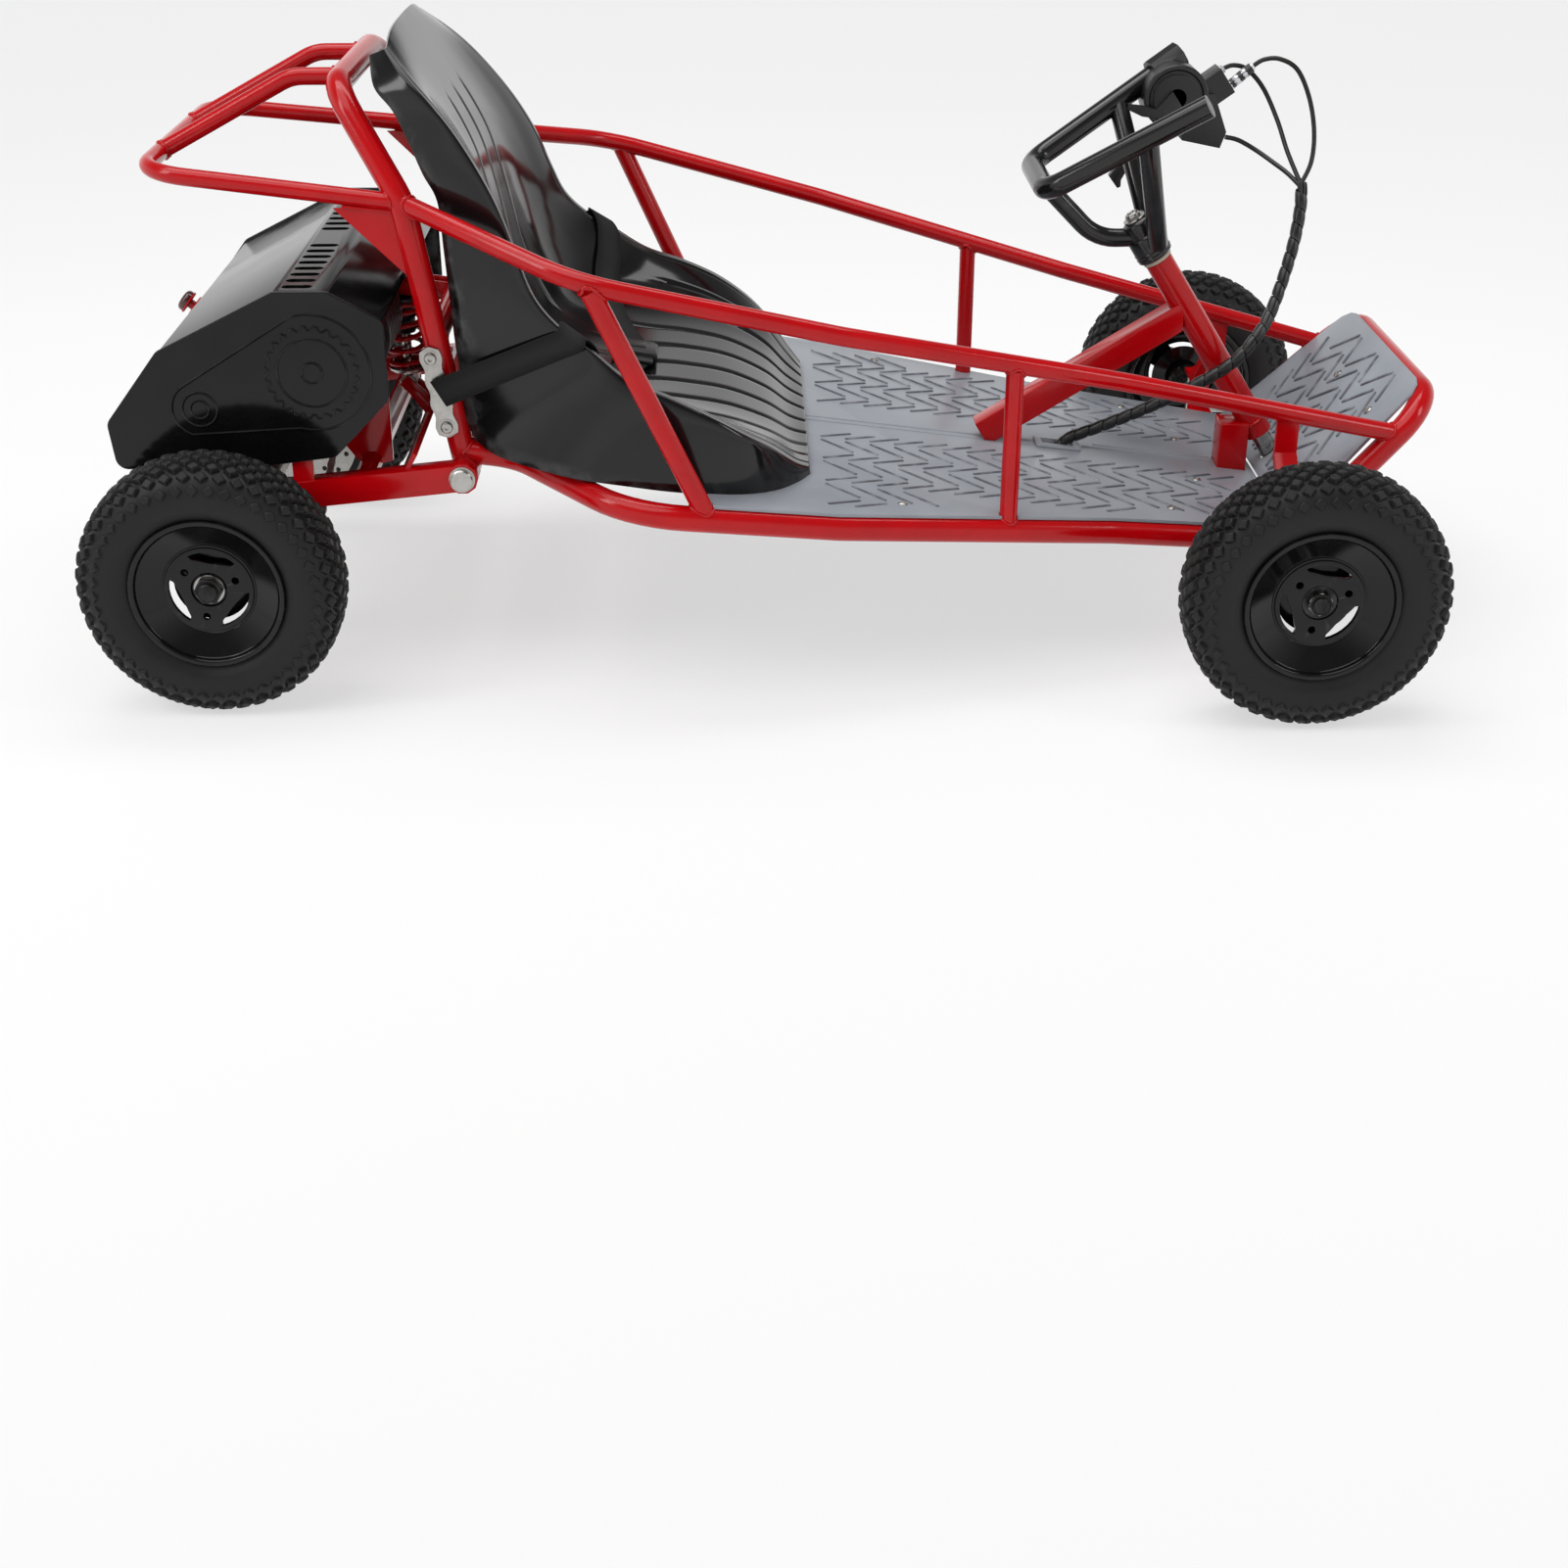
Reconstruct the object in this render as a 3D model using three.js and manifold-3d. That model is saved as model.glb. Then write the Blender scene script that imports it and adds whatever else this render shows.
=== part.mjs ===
// Child's ride-on kart with a red tube frame: millimetres, +X forward, +Y to the driver's left, +Z up.
// Lengths along X start halfway between the two wheel axles, heights start at the ground.
import * as THREE from 'three';
import { mergeVertices } from 'three/addons/utils/BufferGeometryUtils.js';
import Module from 'manifold-3d';

const wasm = await Module();
wasm.setup();

// Clearances that every piece shares
const gap = 0.3;
const overrun = 30;
const weldDepth = 1;

// Wheels and the places of their centres
const wheelbase = 951;
const frontTrack = 628;
const tyreRadius = 115;
const tyreWidth = 72;
const tyreWall = 6;
const beadRadius = 63.5;
const flangeHeight = 4;
const rimWidth = 63;
const rimWall = 2.5;
const rimWellRadius = 53;
const discRadius = 37;
const discDepth = 12;
const discThickness = 4.5;
const hubRadius = 19;
const hubLength = 28;
const hubRecessRadius = 16.5;
const wheelBoltCircle = 50;
const wheelBoltHole = 7;
const wheelBoltCount = 3;
const windowRadius = 29;
const windowWidth = 10;
const tyreSides = 24;
const rimSides = 16;

// Tubes of the frame, outside diameters
const mainTube = 22.4;
const railTube = 16.5;
const postTube = 16;
const braceTube = 18;
const rackTube = 15;
const crossTube = 19;
const mainSides = 10;
const thinSides = 8;
const mainBend = 45;
const railBend = 90;
const rackBend = 42;
const bendStep = Math.PI / 8;

// Plan of the frame: half widths at five stations
const hoopHalf = 165;
const bayX = -150;
const bayHalf = 287;
const waistX = 70;
const waistHalf = 258;
const neckX = 320;
const neckHalf = 190;
const kneeX = 490;
const kneeHalf = 160;
const noseX = 610;
const noseHalf = 139;
const noseZ = 230;

// Side view of the frame
const pivotX = -262;
const pivotZ = 184;
const sillRearZ = 198.3;
const sillFrontZ = 105.2;
const sillStraight = 45;
const sillFlare = 40;
const loopStartX = 425;
const hoopJointX = -301;
const hoopJointZ = 418;
const hoopTopX = -358;
const hoopTopZ = 505;
const hoopTopHalf = 115;
const railEndShare = 0.767;
const uprightX = 221;
const braceTopX = -139;
const braceFootX = -44;
const rackX = -524;
const rackZ = 442;
const rackHalf = 150;
const rackTubeHalf = 64;
const rackKneeX = -404;
const gussetLength = 60;
const gussetDrop = 76;
const gussetThickness = 3;
const upperCrossZ = 300;

// Cross tubes under the seat and the floor
const seatCrossRearX = -188;
const seatCrossFrontX = -25;

// Floor and foot plates
const plateThickness = 3;
const floorRearX = -45;
const floorOverhang = 4;
const footPlateTopZ = 241;
const footPlateInset = 3;
const footPlateCorner = 26;
const slotX = 293;
const slotLength = 30;
const slotWidth = 16;

// Steering column and head tube
const headTopX = 378;
const headTopZ = 325;
const headLean = 33.4 * Math.PI / 180;
const headTubeLength = 203;
const headTubeDiameter = 26;
const columnDiameter = 18;
const columnLength = 262;
const ringHeight = 4;
const clampDiameter = 34;
const clampHeight = 42;
const clampBoltDiameter = 14;
const clampBoltHeight = 7;
const footBoxLength = 28;
const footBoxWidth = 30;
const footBoxBack = 26.75;
const footBoxLap = 12.5;
const footBoxX = headTopX + headTubeLength * Math.sin(headLean) - footBoxBack;
const footBoxTop = headTopZ - headTubeLength * Math.cos(headLean) + footBoxLap;
const columnBrace = 25;
const braceHighZ = 277;
const braceLowX = 228;
const dropArmLength = 40;
const dropArmWidth = 14;
const dropArmThickness = 6;
const studSpread = 10;
const studDiameter = 6;

// Handlebar loop
const barTube = 20.4;
const barRearX = 261;
const barRearZ = 402;
const barRearHalf = 60;
const barTipX = 393;
const barTipZ = 484;
const barTipHalf = 104;
const barBend = 24;
const strutTube = 18.4;
const strutShare = 0.63;
const strutFootX = 373;
const strutFootZ = 344;
const strutFootHalf = 21;
const lowerTube = 17;
const lowerKneeX = 318;
const lowerKneeZ = 345;

// Front spindles
const kingpinInset = 74;
const kingpinHalf = frontTrack / 2 - kingpinInset;
const kingpinDiameter = 10;
const spindleBarrel = 22;
const spindleHeight = 46;
const stubDiameter = 15;
const stubStep = 2;
const nutStep = 3;
const earThickness = 5;
const earReach = 15;
const bracketWidth = 20;
const strapThickness = 6;
const tieRodDiameter = 8;
const rodEyeDiameter = 16;
const steerArmLength = 40;
const steerArmThickness = 6;
const steerArmDrop = 12;

// Swing arm, axle and drive
const armBarWidth = 20;
const armHoopGap = 3.8;
const armTyreGap = 29;
const armHalf = hoopHalf + mainTube / 2 + armHoopGap + armBarWidth / 2;
const rearTrack = 2 * (armHalf + armBarWidth / 2 + armTyreGap) + tyreWidth;
const armBarHeight = 24;
const armRearZ = 161;
const armEyeDiameter = 28;
const pivotBolt = 12;
const pivotHead = 20;
const pivotHeadHeight = 6;
const pivotTubeDiameter = 26;
const carrierDiameter = 48;
const axleDiameter = 20;
const axleSpacer = 28;
const nutHeight = 6;
const armCrossX = -352;
const armCrossZ = 177;
const armPlateX = -313;
const armPlateZ = 187;
const armPlateHeight = 38;
const armPlateThickness = 4;
const armPlateLean = 30 * Math.PI / 180;
const tabThickness = 4;
const tabLength = 18;
const tabTop = 232;
const tabFrontX = -402;
const tabRearX = -520;
const motorX = -374;
const motorZ = 291;
const motorDiameter = 92;
const motorLength = 92;
const motorPlateY = -127;
const motorPlateThickness = 5;
const motorBossDiameter = 34;
const motorBossLength = 6;
const driveY = -140;
const chainPitch = 9.525;
const axleTeeth = 45;
const motorTeeth = 11;
const toothDepth = 3;
const sprocketThickness = 3;
const chainWidth = 8;
const chainHeight = 7;
const discY = 128;
const brakeDiscDiameter = 130;
const brakeDiscThickness = 3;
const caliperLength = 48;
const caliperWidth = 30;
const caliperHeight = 34;
const padGap = 1;

// Spring and damper
const shockX = -332;
const shockTopZ = 308;
const shockFootZ = 212;
const shockEye = 16;
const shockBoltDiameter = 8;
const damperDiameter = 20;
const damperRod = 9;
const springDiameter = 36;
const springWire = 5;
const springTurns = 6;
const springSeat = 4;
const earGap = 16;
const shockEarThickness = 4;

// Rear cover, as places along X and Z of its side plate
const coverHalf = armHalf + armBarWidth / 2;
const coverWall = 2.5;
const coverBackX = -566;
const coverBackZ = 236;
const coverFootX = -562;
const coverFootZ = 196;
const coverShoulderX = -516;
const coverShoulderZ = 299;
const coverTopX = -412;
const coverTopZ = 350;
const coverBrowX = -367;
const coverNoseX = -322;
const coverNoseZ = 325;
const coverNoseFootZ = 257;
const coverChinX = -372;
const coverChinZ = 206;
const coverHemX = -428;
const coverHemZ = 199;
const ventLength = 26;
const ventWidth = 11;
const ventPitch = 20.7;
const ventCount = 8;
const ventFirstY = 32;
const ventX = -395;
const lampY = 60;
const lampDiameter = 22;
const lampDepth = 8;
const lampArm = 5;

// Seat, lap belt and battery
const seatWall = 4;
const seatOverHoop = 7;
const seatHalf = hoopHalf + seatOverHoop;
const seatTopZ = 548;
const beltWidth = 26;
const beltThickness = 2;
const beltLift = 1.5;
const beltPlateTopX = -285;
const beltPlateTopZ = 287;
const beltPlateFootX = -275;
const beltPlateFootZ = 225;
const beltPlateWidth = 20;
const beltPlateThickness = 2.5;
const beltBoltDiameter = 11;
const beltBoltHeight = 5;
const beltPlateY = hoopHalf + mainTube / 2 + 2 * gap;
const beltRearRowShare = 8.15;
const beltFrontRowShare = 8.93;
const beltEndRowShare = 11;
const beltEndRowsShare = 0.3;
const beltEndColumnShare = 6.66;
const buckleLength = 44;
const buckleThickness = 12;
const buckleLean = 0.17;
const batteryLength = 112;
const batteryHalf = 108;
const batteryDepth = 48;
const batteryRise = 22;
const seatBaseHalf = hoopHalf + mainTube / 2;

// Levers on the left handle
const housingX = 396;
const housingZ = 460;
const housingDiameter = 60;
const housingFromY = 66;
const housingToY = 104;
const collarDiameter = 30;
const collarBack = 18;
const collarAhead = 14;
const tailX = 440;
const tailZ = 415;
const tailWidth = 20;
const perchX = 436;
const perchY = 106;
const perchZ = 462;
const perchLength = 32;
const perchHeight = 26;
const perchWidth = 30;
const perchLean = 0.62;
const adjusterX = 449;
const adjusterZ = 460;
const adjusterLean = 0.71;
const adjusterDiameter = 10;
const adjusterLength = 32;
const leverPinX = 443;
const leverPinZ = 453;
const leverY = 122;
const leverThickness = 9;
const leverWidth = 10;
const leverKneeX = 366;
const leverKneeZ = 394;
const leverTipX = 353;
const leverTipZ = 374;
const leverPinDiameter = 7;
const dialDiameter = 44;
const dialThickness = 4;
const triggerThickness = 9;
const triggerWidth = 9;
const triggerRootX = 378;
const triggerRootZ = 447;
const triggerTipX = 351;
const triggerTipZ = 453;

// Cables and their spiral wrap
const cableDiameter = 4.4;
const wrapDiameter = 13;
const loomSplit = -40;
const loomReach = 600;

// A hole's flat sides stay clear of the bar in it.
const boreShare = 1 / Math.cos(Math.PI / thinSides);
const boreOf = (diameter) => (diameter + 2 * gap) * boreShare;

const axleHeight = tyreRadius;
const frontAxleX = wheelbase / 2;
const rearAxleX = -wheelbase / 2;
const frontWheelY = frontTrack / 2;
const rearWheelY = rearTrack / 2;
const mainRadius = mainTube / 2;
const railRadius = railTube / 2;

const kart = new THREE.Group();
kart.position.x = -(noseX + mainRadius + rearAxleX - tyreRadius) / 2;

const red = { color: 0xc4121c, roughness: 0.28, metalness: 0.1 };
const black = { color: 0x0b0b0c, roughness: 0.22, metalness: 0.1 };
const satin = { color: 0x161617, roughness: 0.5, metalness: 0.1 };
const rubber = { color: 0x1a1a1a, roughness: 0.85, metalness: 0 };
const steel = { color: 0x9d9fa2, roughness: 0.35, metalness: 0.9 };
const grey = { color: 0x868b94, roughness: 0.45, metalness: 0.5 };
const cloth = { color: 0x121212, roughness: 0.9, metalness: 0 };
const cream = { color: 0xd9cfb4, roughness: 0.5, metalness: 0.1 };
const lens = { color: 0x8c0f14, roughness: 0.2, metalness: 0 };

const at = (x, y, z) => new THREE.Vector3(x, y, z);

// Joins a closed surface's shared corners and makes a solid of it.
function solid(geometry) {
  const bare = geometry.clone();
  bare.deleteAttribute('normal');
  bare.deleteAttribute('uv');
  const merged = mergeVertices(bare, gap / 1000);
  const mesh = new wasm.Mesh({
    numProp: 3,
    vertProperties: new Float32Array(merged.attributes.position.array),
    triVerts: new Uint32Array(merged.index.array),
  });
  return new wasm.Manifold(mesh);
}

const join = (first, ...others) => others.reduce((sum, one) => sum.add(one), first);
const cut = (first, ...others) => others.reduce((rest, one) => rest.subtract(one), first);

// Puts a solid in the kart as a named piece, or in a group placed with position and rotation.
function piece(name, body, look, parent = kart) {
  const mesh = body.getMesh();
  const geometry = new THREE.BufferGeometry();
  geometry.setAttribute('position', new THREE.BufferAttribute(new Float32Array(mesh.vertProperties), 3));
  geometry.setIndex(new THREE.BufferAttribute(new Uint32Array(mesh.triVerts), 1));
  geometry.computeVertexNormals();
  const node = new THREE.Mesh(geometry, new THREE.MeshStandardMaterial(look));
  node.name = name;
  parent.add(node);
  return node;
}

// A path whose cross sections stand exactly at the given places.
class StationPath extends THREE.Curve {
  constructor(stations) {
    super();
    this.stations = stations;
  }
  getPointAt(share, target = new THREE.Vector3()) {
    return target.copy(this.stations[Math.round(share * (this.stations.length - 1))]);
  }
  getPoint(share, target) {
    return this.getPointAt(share, target);
  }
  getTangentAt(share, target = new THREE.Vector3()) {
    const last = this.stations.length - 1;
    const here = Math.round(share * last);
    const before = this.stations[Math.max(here - 1, 0)];
    const after = this.stations[Math.min(here + 1, last)];
    const middle = this.stations[here];
    target.set(0, 0, 0);
    if (here > 0) target.add(middle.clone().sub(before).normalize());
    if (here < last) target.add(after.clone().sub(middle).normalize());
    return target.normalize();
  }
}

// Rounds the corners of a route with arcs of one radius.
function rounded(points, radius) {
  const route = [points[0]];
  for (let i = 1; i < points.length - 1; i++) {
    const back = points[i].clone().sub(points[i - 1]);
    const ahead = points[i + 1].clone().sub(points[i]);
    const room = 0.48 * Math.min(back.length(), ahead.length());
    back.normalize();
    ahead.normalize();
    const turn = back.angleTo(ahead);
    if (turn < bendStep / 8) {
      route.push(points[i]);
      continue;
    }
    const reach = Math.min(radius * Math.tan(turn / 2), room);
    const bend = reach / Math.tan(turn / 2);
    const side = ahead.clone().addScaledVector(back, -ahead.dot(back)).normalize();
    const start = points[i].clone().addScaledVector(back, -reach);
    const steps = Math.ceil(turn / bendStep);
    for (let k = 0; k <= steps; k++) {
      const angle = turn * k / steps;
      const place = start.clone().addScaledVector(back, bend * Math.sin(angle));
      route.push(place.addScaledVector(side, bend * (1 - Math.cos(angle))));
    }
  }
  route.push(points[points.length - 1]);
  return route;
}

function ringShape(radius, sides) {
  const shape = new THREE.Shape();
  for (let i = 0; i < sides; i++) {
    const angle = 2 * Math.PI * (i + 0.5) / sides;
    const x = radius * Math.cos(angle);
    const y = radius * Math.sin(angle);
    if (i === 0) shape.moveTo(x, y);
    else shape.lineTo(x, y);
  }
  shape.closePath();
  return shape;
}

// A round tube along a route, filled.
function pipe(points, diameter, bend, sides = thinSides) {
  const stations = rounded(points, bend);
  const path = new StationPath(stations);
  const shape = ringShape(diameter / 2, sides);
  const options = { extrudePath: path, steps: stations.length - 1, bevelEnabled: false };
  return solid(new THREE.ExtrudeGeometry(shape, options));
}

const straight = (from, to, diameter, sides = thinSides) => pipe([from, to], diameter, diameter, sides);

// A straight tube between the centre lines of two others, each end held back by its own distance.
function strutBetween(from, to, diameter, backFrom, backTo) {
  const along = to.clone().sub(from).normalize();
  const start = from.clone().addScaledVector(along, backFrom);
  return straight(start, to.clone().addScaledVector(along, -backTo), diameter);
}

function outline(points) {
  const shape = new THREE.Shape();
  points.forEach(([x, y], i) => (i === 0 ? shape.moveTo(x, y) : shape.lineTo(x, y)));
  shape.closePath();
  return shape;
}

// A plate whose outline lies in the XZ plane, from one Y to another.
function sidePlate(points, fromY, toY, holes = []) {
  const shape = outline(points);
  holes.forEach((hole) => shape.holes.push(outline(hole)));
  const low = Math.min(fromY, toY);
  const depth = Math.abs(toY - fromY);
  const geometry = new THREE.ExtrudeGeometry(shape, { depth, bevelEnabled: false });
  geometry.rotateX(Math.PI / 2);
  geometry.translate(0, low + depth, 0);
  return solid(geometry);
}

// A plate whose outline lies in the YZ plane, from one X to another.
function frontPlate(points, fromX, toX) {
  const depth = toX - fromX;
  const geometry = new THREE.ExtrudeGeometry(outline(points), { depth, bevelEnabled: false });
  geometry.applyMatrix4(new THREE.Matrix4().set(0, 0, 1, 0, 1, 0, 0, 0, 0, 1, 0, 0, 0, 0, 0, 1));
  geometry.translate(fromX, 0, 0);
  return solid(geometry);
}

// A solid turned about the Y axis from pairs of radius and place along it.
function turned(profile, sides, turn = 0) {
  const points = profile.map(([radius, along]) => new THREE.Vector2(radius, along));
  const geometry = new THREE.LatheGeometry(points, sides);
  geometry.rotateY(turn);
  return geometry;
}

// A plain round bar or sleeve along Y between two places.
function barY(x, z, diameter, fromY, toY, sides = thinSides, bore = 0) {
  const outer = diameter / 2;
  const inner = bore / 2;
  const profile = [[inner, fromY], [outer, fromY], [outer, toY], [inner, toY]];
  if (bore > 0) profile.push([inner, fromY]);
  const geometry = turned(profile, sides, Math.PI / sides);
  geometry.translate(x, 0, z);
  return solid(geometry);
}

function block(x, y, z, length, width, height, lean = 0) {
  const geometry = new THREE.BoxGeometry(length, width, height);
  geometry.rotateY(lean);
  geometry.translate(x, y, z);
  return solid(geometry);
}

// The same solid on the other side of the kart's middle plane.
function mirrored(body) {
  return body.mirror([0, 1, 0]);
}

// Half width of the frame at a place along X.
function planHalf(x) {
  const stations = [
    [hoopJointX, hoopHalf], [bayX, bayHalf], [waistX, waistHalf], [neckX, neckHalf], [kneeX, kneeHalf],
    [noseX, noseHalf],
  ];
  for (let i = 1; i < stations.length; i++) {
    const [x0, y0] = stations[i - 1];
    const [x1, y1] = stations[i];
    if (x <= x1 || i === stations.length - 1) return y0 + (y1 - y0) * (x - x0) / (x1 - x0);
  }
  return noseHalf;
}

const sillZ = (x) => sillRearZ + (sillFrontZ - sillRearZ) * (x - pivotX) / (kneeX - pivotX);
const deckTop = (x) => sillZ(x) + mainRadius + gap + plateThickness;
const legX = (z) => pivotX + (hoopJointX - pivotX) * (z - pivotZ) / (hoopJointZ - pivotZ);
const railEnd = at(kneeX, kneeHalf, sillFrontZ).lerp(at(noseX, noseHalf, noseZ), railEndShare);
const railZ = (x) => hoopJointZ + (railEnd.z - hoopJointZ) * (x - hoopJointX) / (railEnd.x - hoopJointX);
const railAt = (x) => at(x, planHalf(x), railZ(x));
const sillAt = (x) => at(x, planHalf(x), sillZ(x));
const flip = (point) => at(point.x, -point.y, point.z);

// Main frame. Each route is drawn for the left side and mirrored where a piece crosses the middle.
const hoopRoute = [
  at(pivotX, hoopHalf, pivotZ), at(hoopJointX, hoopHalf, hoopJointZ), at(hoopTopX, hoopTopHalf, hoopTopZ),
];
const hoopWhole = [...hoopRoute, ...hoopRoute.map(flip).reverse()];
const sillRoute = [
  at(pivotX, hoopHalf, sillZ(pivotX)),
  at(pivotX + sillStraight, hoopHalf, sillZ(pivotX + sillStraight)),
  at(bayX + sillFlare, planHalf(bayX + sillFlare), sillZ(bayX + sillFlare)),
  at(waistX, waistHalf, sillZ(waistX)),
  at(neckX, neckHalf, sillZ(neckX)),
  at(loopStartX - gap, planHalf(loopStartX), sillZ(loopStartX)),
];
const loopRoute = [
  at(loopStartX, planHalf(loopStartX), sillZ(loopStartX)), at(kneeX, kneeHalf, sillFrontZ),
  at(noseX, noseHalf, noseZ),
];
const loopWhole = [...loopRoute, ...loopRoute.map(flip).reverse()];
const railRoute = [railAt(hoopJointX), railAt(bayX), railAt(waistX), railAt(neckX), railEnd];
const rackRoute = [at(hoopJointX, hoopHalf, hoopJointZ), at(rackX, rackHalf, rackZ)];
const rackWhole = [...rackRoute, ...rackRoute.map(flip).reverse()];

const tool = (points, diameter, bend, sides) => pipe(points, diameter + 2 * gap, bend, sides);
const hoopTool = tool(hoopWhole, mainTube, mainBend, mainSides);
const loopTool = tool(loopWhole, mainTube, mainBend, mainSides);
const sillTool = tool(sillRoute, mainTube, railBend, mainSides);
const railTool = tool(railRoute, railTube, railBend, thinSides);
const uprightTool = straight(sillAt(uprightX), railAt(uprightX), boreOf(postTube));
const braceTool = straight(sillAt(braceFootX), railAt(braceTopX), boreOf(braceTube));
const rackLoopTool = tool(rackWhole, rackTube, rackBend, thinSides);
const pivotTool = barY(pivotX, pivotZ, pivotTubeDiameter + 2 * gap, -armHalf, armHalf, mainSides);

// Cross tube between the hoop's legs, with the two ears and the pin that carry the damper.
function shockTower() {
  const upperX = legX(upperCrossZ);
  const upperCross = straight(
    at(upperX, -hoopHalf, upperCrossZ), at(upperX, hoopHalf, upperCrossZ), crossTube,
  );
  const earRadius = shockEye / 2;
  const ear = (fromY) => {
    return sidePlate(
      [
        [upperX, upperCrossZ + crossTube / 2 - weldDepth], [shockX - earRadius, shockTopZ + earRadius],
        [shockX - earRadius, shockTopZ - earRadius], [upperX, upperCrossZ - crossTube / 2 + weldDepth],
      ],
      fromY, fromY + shockEarThickness,
    );
  };
  const shockPin = barY(
    shockX, shockTopZ, shockBoltDiameter, -earGap / 2 - shockEarThickness, earGap / 2 + shockEarThickness, 8,
  );
  return join(upperCross, ear(earGap / 2), ear(-earGap / 2 - shockEarThickness), shockPin);
}

function buildFrame() {
  const gussetCorner = at(hoopJointX - gussetLength, hoopHalf, hoopJointZ);
  const gussetFootZ = hoopJointZ - gussetDrop;
  const gusset = sidePlate(
    [[hoopJointX, hoopJointZ], [gussetCorner.x, gussetCorner.z], [legX(gussetFootZ), gussetFootZ]],
    hoopHalf - gussetThickness / 2, hoopHalf + gussetThickness / 2,
  );
  const hoop = pipe(hoopWhole, mainTube, mainBend, mainSides);
  const welded = join(hoop, gusset, mirrored(gusset), shockTower());
  piece('main_hoop', cut(welded, rackLoopTool, pivotTool), red);

  const sill = cut(pipe(sillRoute, mainTube, railBend, mainSides), hoopTool, pivotTool);
  const rail = cut(pipe(railRoute, railTube, railBend, thinSides), hoopTool, loopTool);
  const between = (footX, topX, diameter) => cut(
    strutBetween(sillAt(footX), railAt(topX), diameter, mainRadius / 2, railRadius * 0.6), railTool, sillTool,
  );
  const upright = between(uprightX, uprightX, postTube);
  const brace = between(braceFootX, braceTopX, braceTube);
  for (const [side, body] of [['left', (one) => one], ['right', mirrored]]) {
    piece(`lower_tube_${side}`, body(sill), red);
    piece(`side_rail_${side}`, body(rail), red);
    piece(`upright_${side}`, body(upright), red);
    piece(`slant_brace_${side}`, body(brace), red);
  }
  piece('front_loop', pipe(loopWhole, mainTube, mainBend, mainSides), red);

  const rackLoop = pipe(rackWhole, rackTube, rackBend, thinSides);
  const rackTubeRoute = [
    at(hoopTopX, rackTubeHalf, hoopTopZ), at(rackKneeX, rackTubeHalf, hoopTopZ),
    at(rackX, rackTubeHalf, rackZ),
  ];
  const rackRail = pipe(rackTubeRoute, rackTube, rackBend, thinSides);
  piece('rear_rack', cut(join(rackLoop, rackRail, mirrored(rackRail)), hoopTool), red);

  const pivot = barY(
    pivotX, pivotZ, pivotTubeDiameter, -(armHalf - armBarWidth / 2 - 2 * weldDepth),
    armHalf - armBarWidth / 2 - 2 * weldDepth, mainSides, boreOf(pivotBolt),
  );
  piece('pivot_tube', pivot, red);

  const cross = (x, z) => straight(at(x, -planHalf(x), z), at(x, planHalf(x), z), crossTube);
  const bothSills = (body) => cut(body, sillTool, mirrored(sillTool));
  const narrow = (x, z, half) => straight(at(x, -half, z), at(x, half, z), crossTube);
  const flareHalf = (x) => {
    const from = pivotX + sillStraight;
    const to = bayX + sillFlare;
    if (x <= from) return hoopHalf;
    return x >= to ? planHalf(x) : hoopHalf + (planHalf(to) - hoopHalf) * (x - from) / (to - from);
  };
  const rearCross = narrow(seatCrossRearX, sillZ(seatCrossRearX), flareHalf(seatCrossRearX));
  piece('seat_cross_rear', bothSills(rearCross), red);
  piece('seat_cross_front', bothSills(cross(seatCrossFrontX, sillZ(seatCrossFrontX))), red);
}

// The steering axis: distances along it start at the top of the head tube and grow upwards.
const axisDirection = at(-Math.sin(headLean), 0, Math.cos(headLean));
const axisSide = at(Math.cos(headLean), 0, Math.sin(headLean));
function onAxis(along, forward = 0, left = 0) {
  const place = at(headTopX, left, headTopZ).addScaledVector(axisDirection, along);
  return place.addScaledVector(axisSide, forward);
}
function turnedOnAxis(profile, sides) {
  const geometry = turned(profile, sides);
  geometry.rotateX(Math.PI / 2);
  geometry.rotateY(-headLean);
  geometry.translate(headTopX, 0, headTopZ);
  return solid(geometry);
}
const axisBar = (diameter, low, high, sides = mainSides) => turnedOnAxis(
  [[0, low], [diameter / 2, low], [diameter / 2, high], [0, high]], sides,
);

function buildHead() {
  const bore = axisBar(boreOf(columnDiameter), -headTubeLength - overrun, overrun);
  const tube = axisBar(headTubeDiameter, -headTubeLength, 0);
  const boxFoot = sillZ(footBoxX);
  const box = block(
    footBoxX, 0, (boxFoot + footBoxTop) / 2, footBoxLength, footBoxWidth, footBoxTop - boxFoot,
  );
  const cross = straight(flip(sillAt(footBoxX)), sillAt(footBoxX), crossTube);
  piece('head_tube', cut(join(tube, box, cross), bore, loopTool), red);

  const high = onAxis((braceHighZ - headTopZ) / Math.cos(headLean));
  const low = at(braceLowX, 0, deckTop(braceLowX) + gap + columnBrace / 2);
  const lean = Math.atan2(high.z - low.z, high.x - low.x);
  const length = high.distanceTo(low);
  const middle = high.clone().add(low).multiplyScalar(0.5);
  const bar = block(middle.x, 0, middle.z, length + columnBrace, columnBrace, columnBrace, -lean);
  const under = floorSlab(gap, -overrun);
  const headTool = axisBar(headTubeDiameter + 2 * gap, -headTubeLength - overrun, overrun);
  const ahead = frontPlate(
    [[-overrun, 0], [overrun, 0], [overrun, 2 * headTopZ], [-overrun, 2 * headTopZ]],
    high.x - headTubeDiameter / 5, 2 * headTopX,
  );
  piece('column_brace', cut(bar, under, headTool, ahead), red);

  const ringBore = boreOf(columnDiameter) / 2;
  const ring = turnedOnAxis(
    [
      [ringBore, gap], [headTubeDiameter / 2 + weldDepth, gap],
      [headTubeDiameter / 2 + weldDepth, ringHeight],
      [ringBore, ringHeight], [ringBore, gap],
    ],
    mainSides,
  );
  piece('headset_ring', ring, cream);
}

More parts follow.
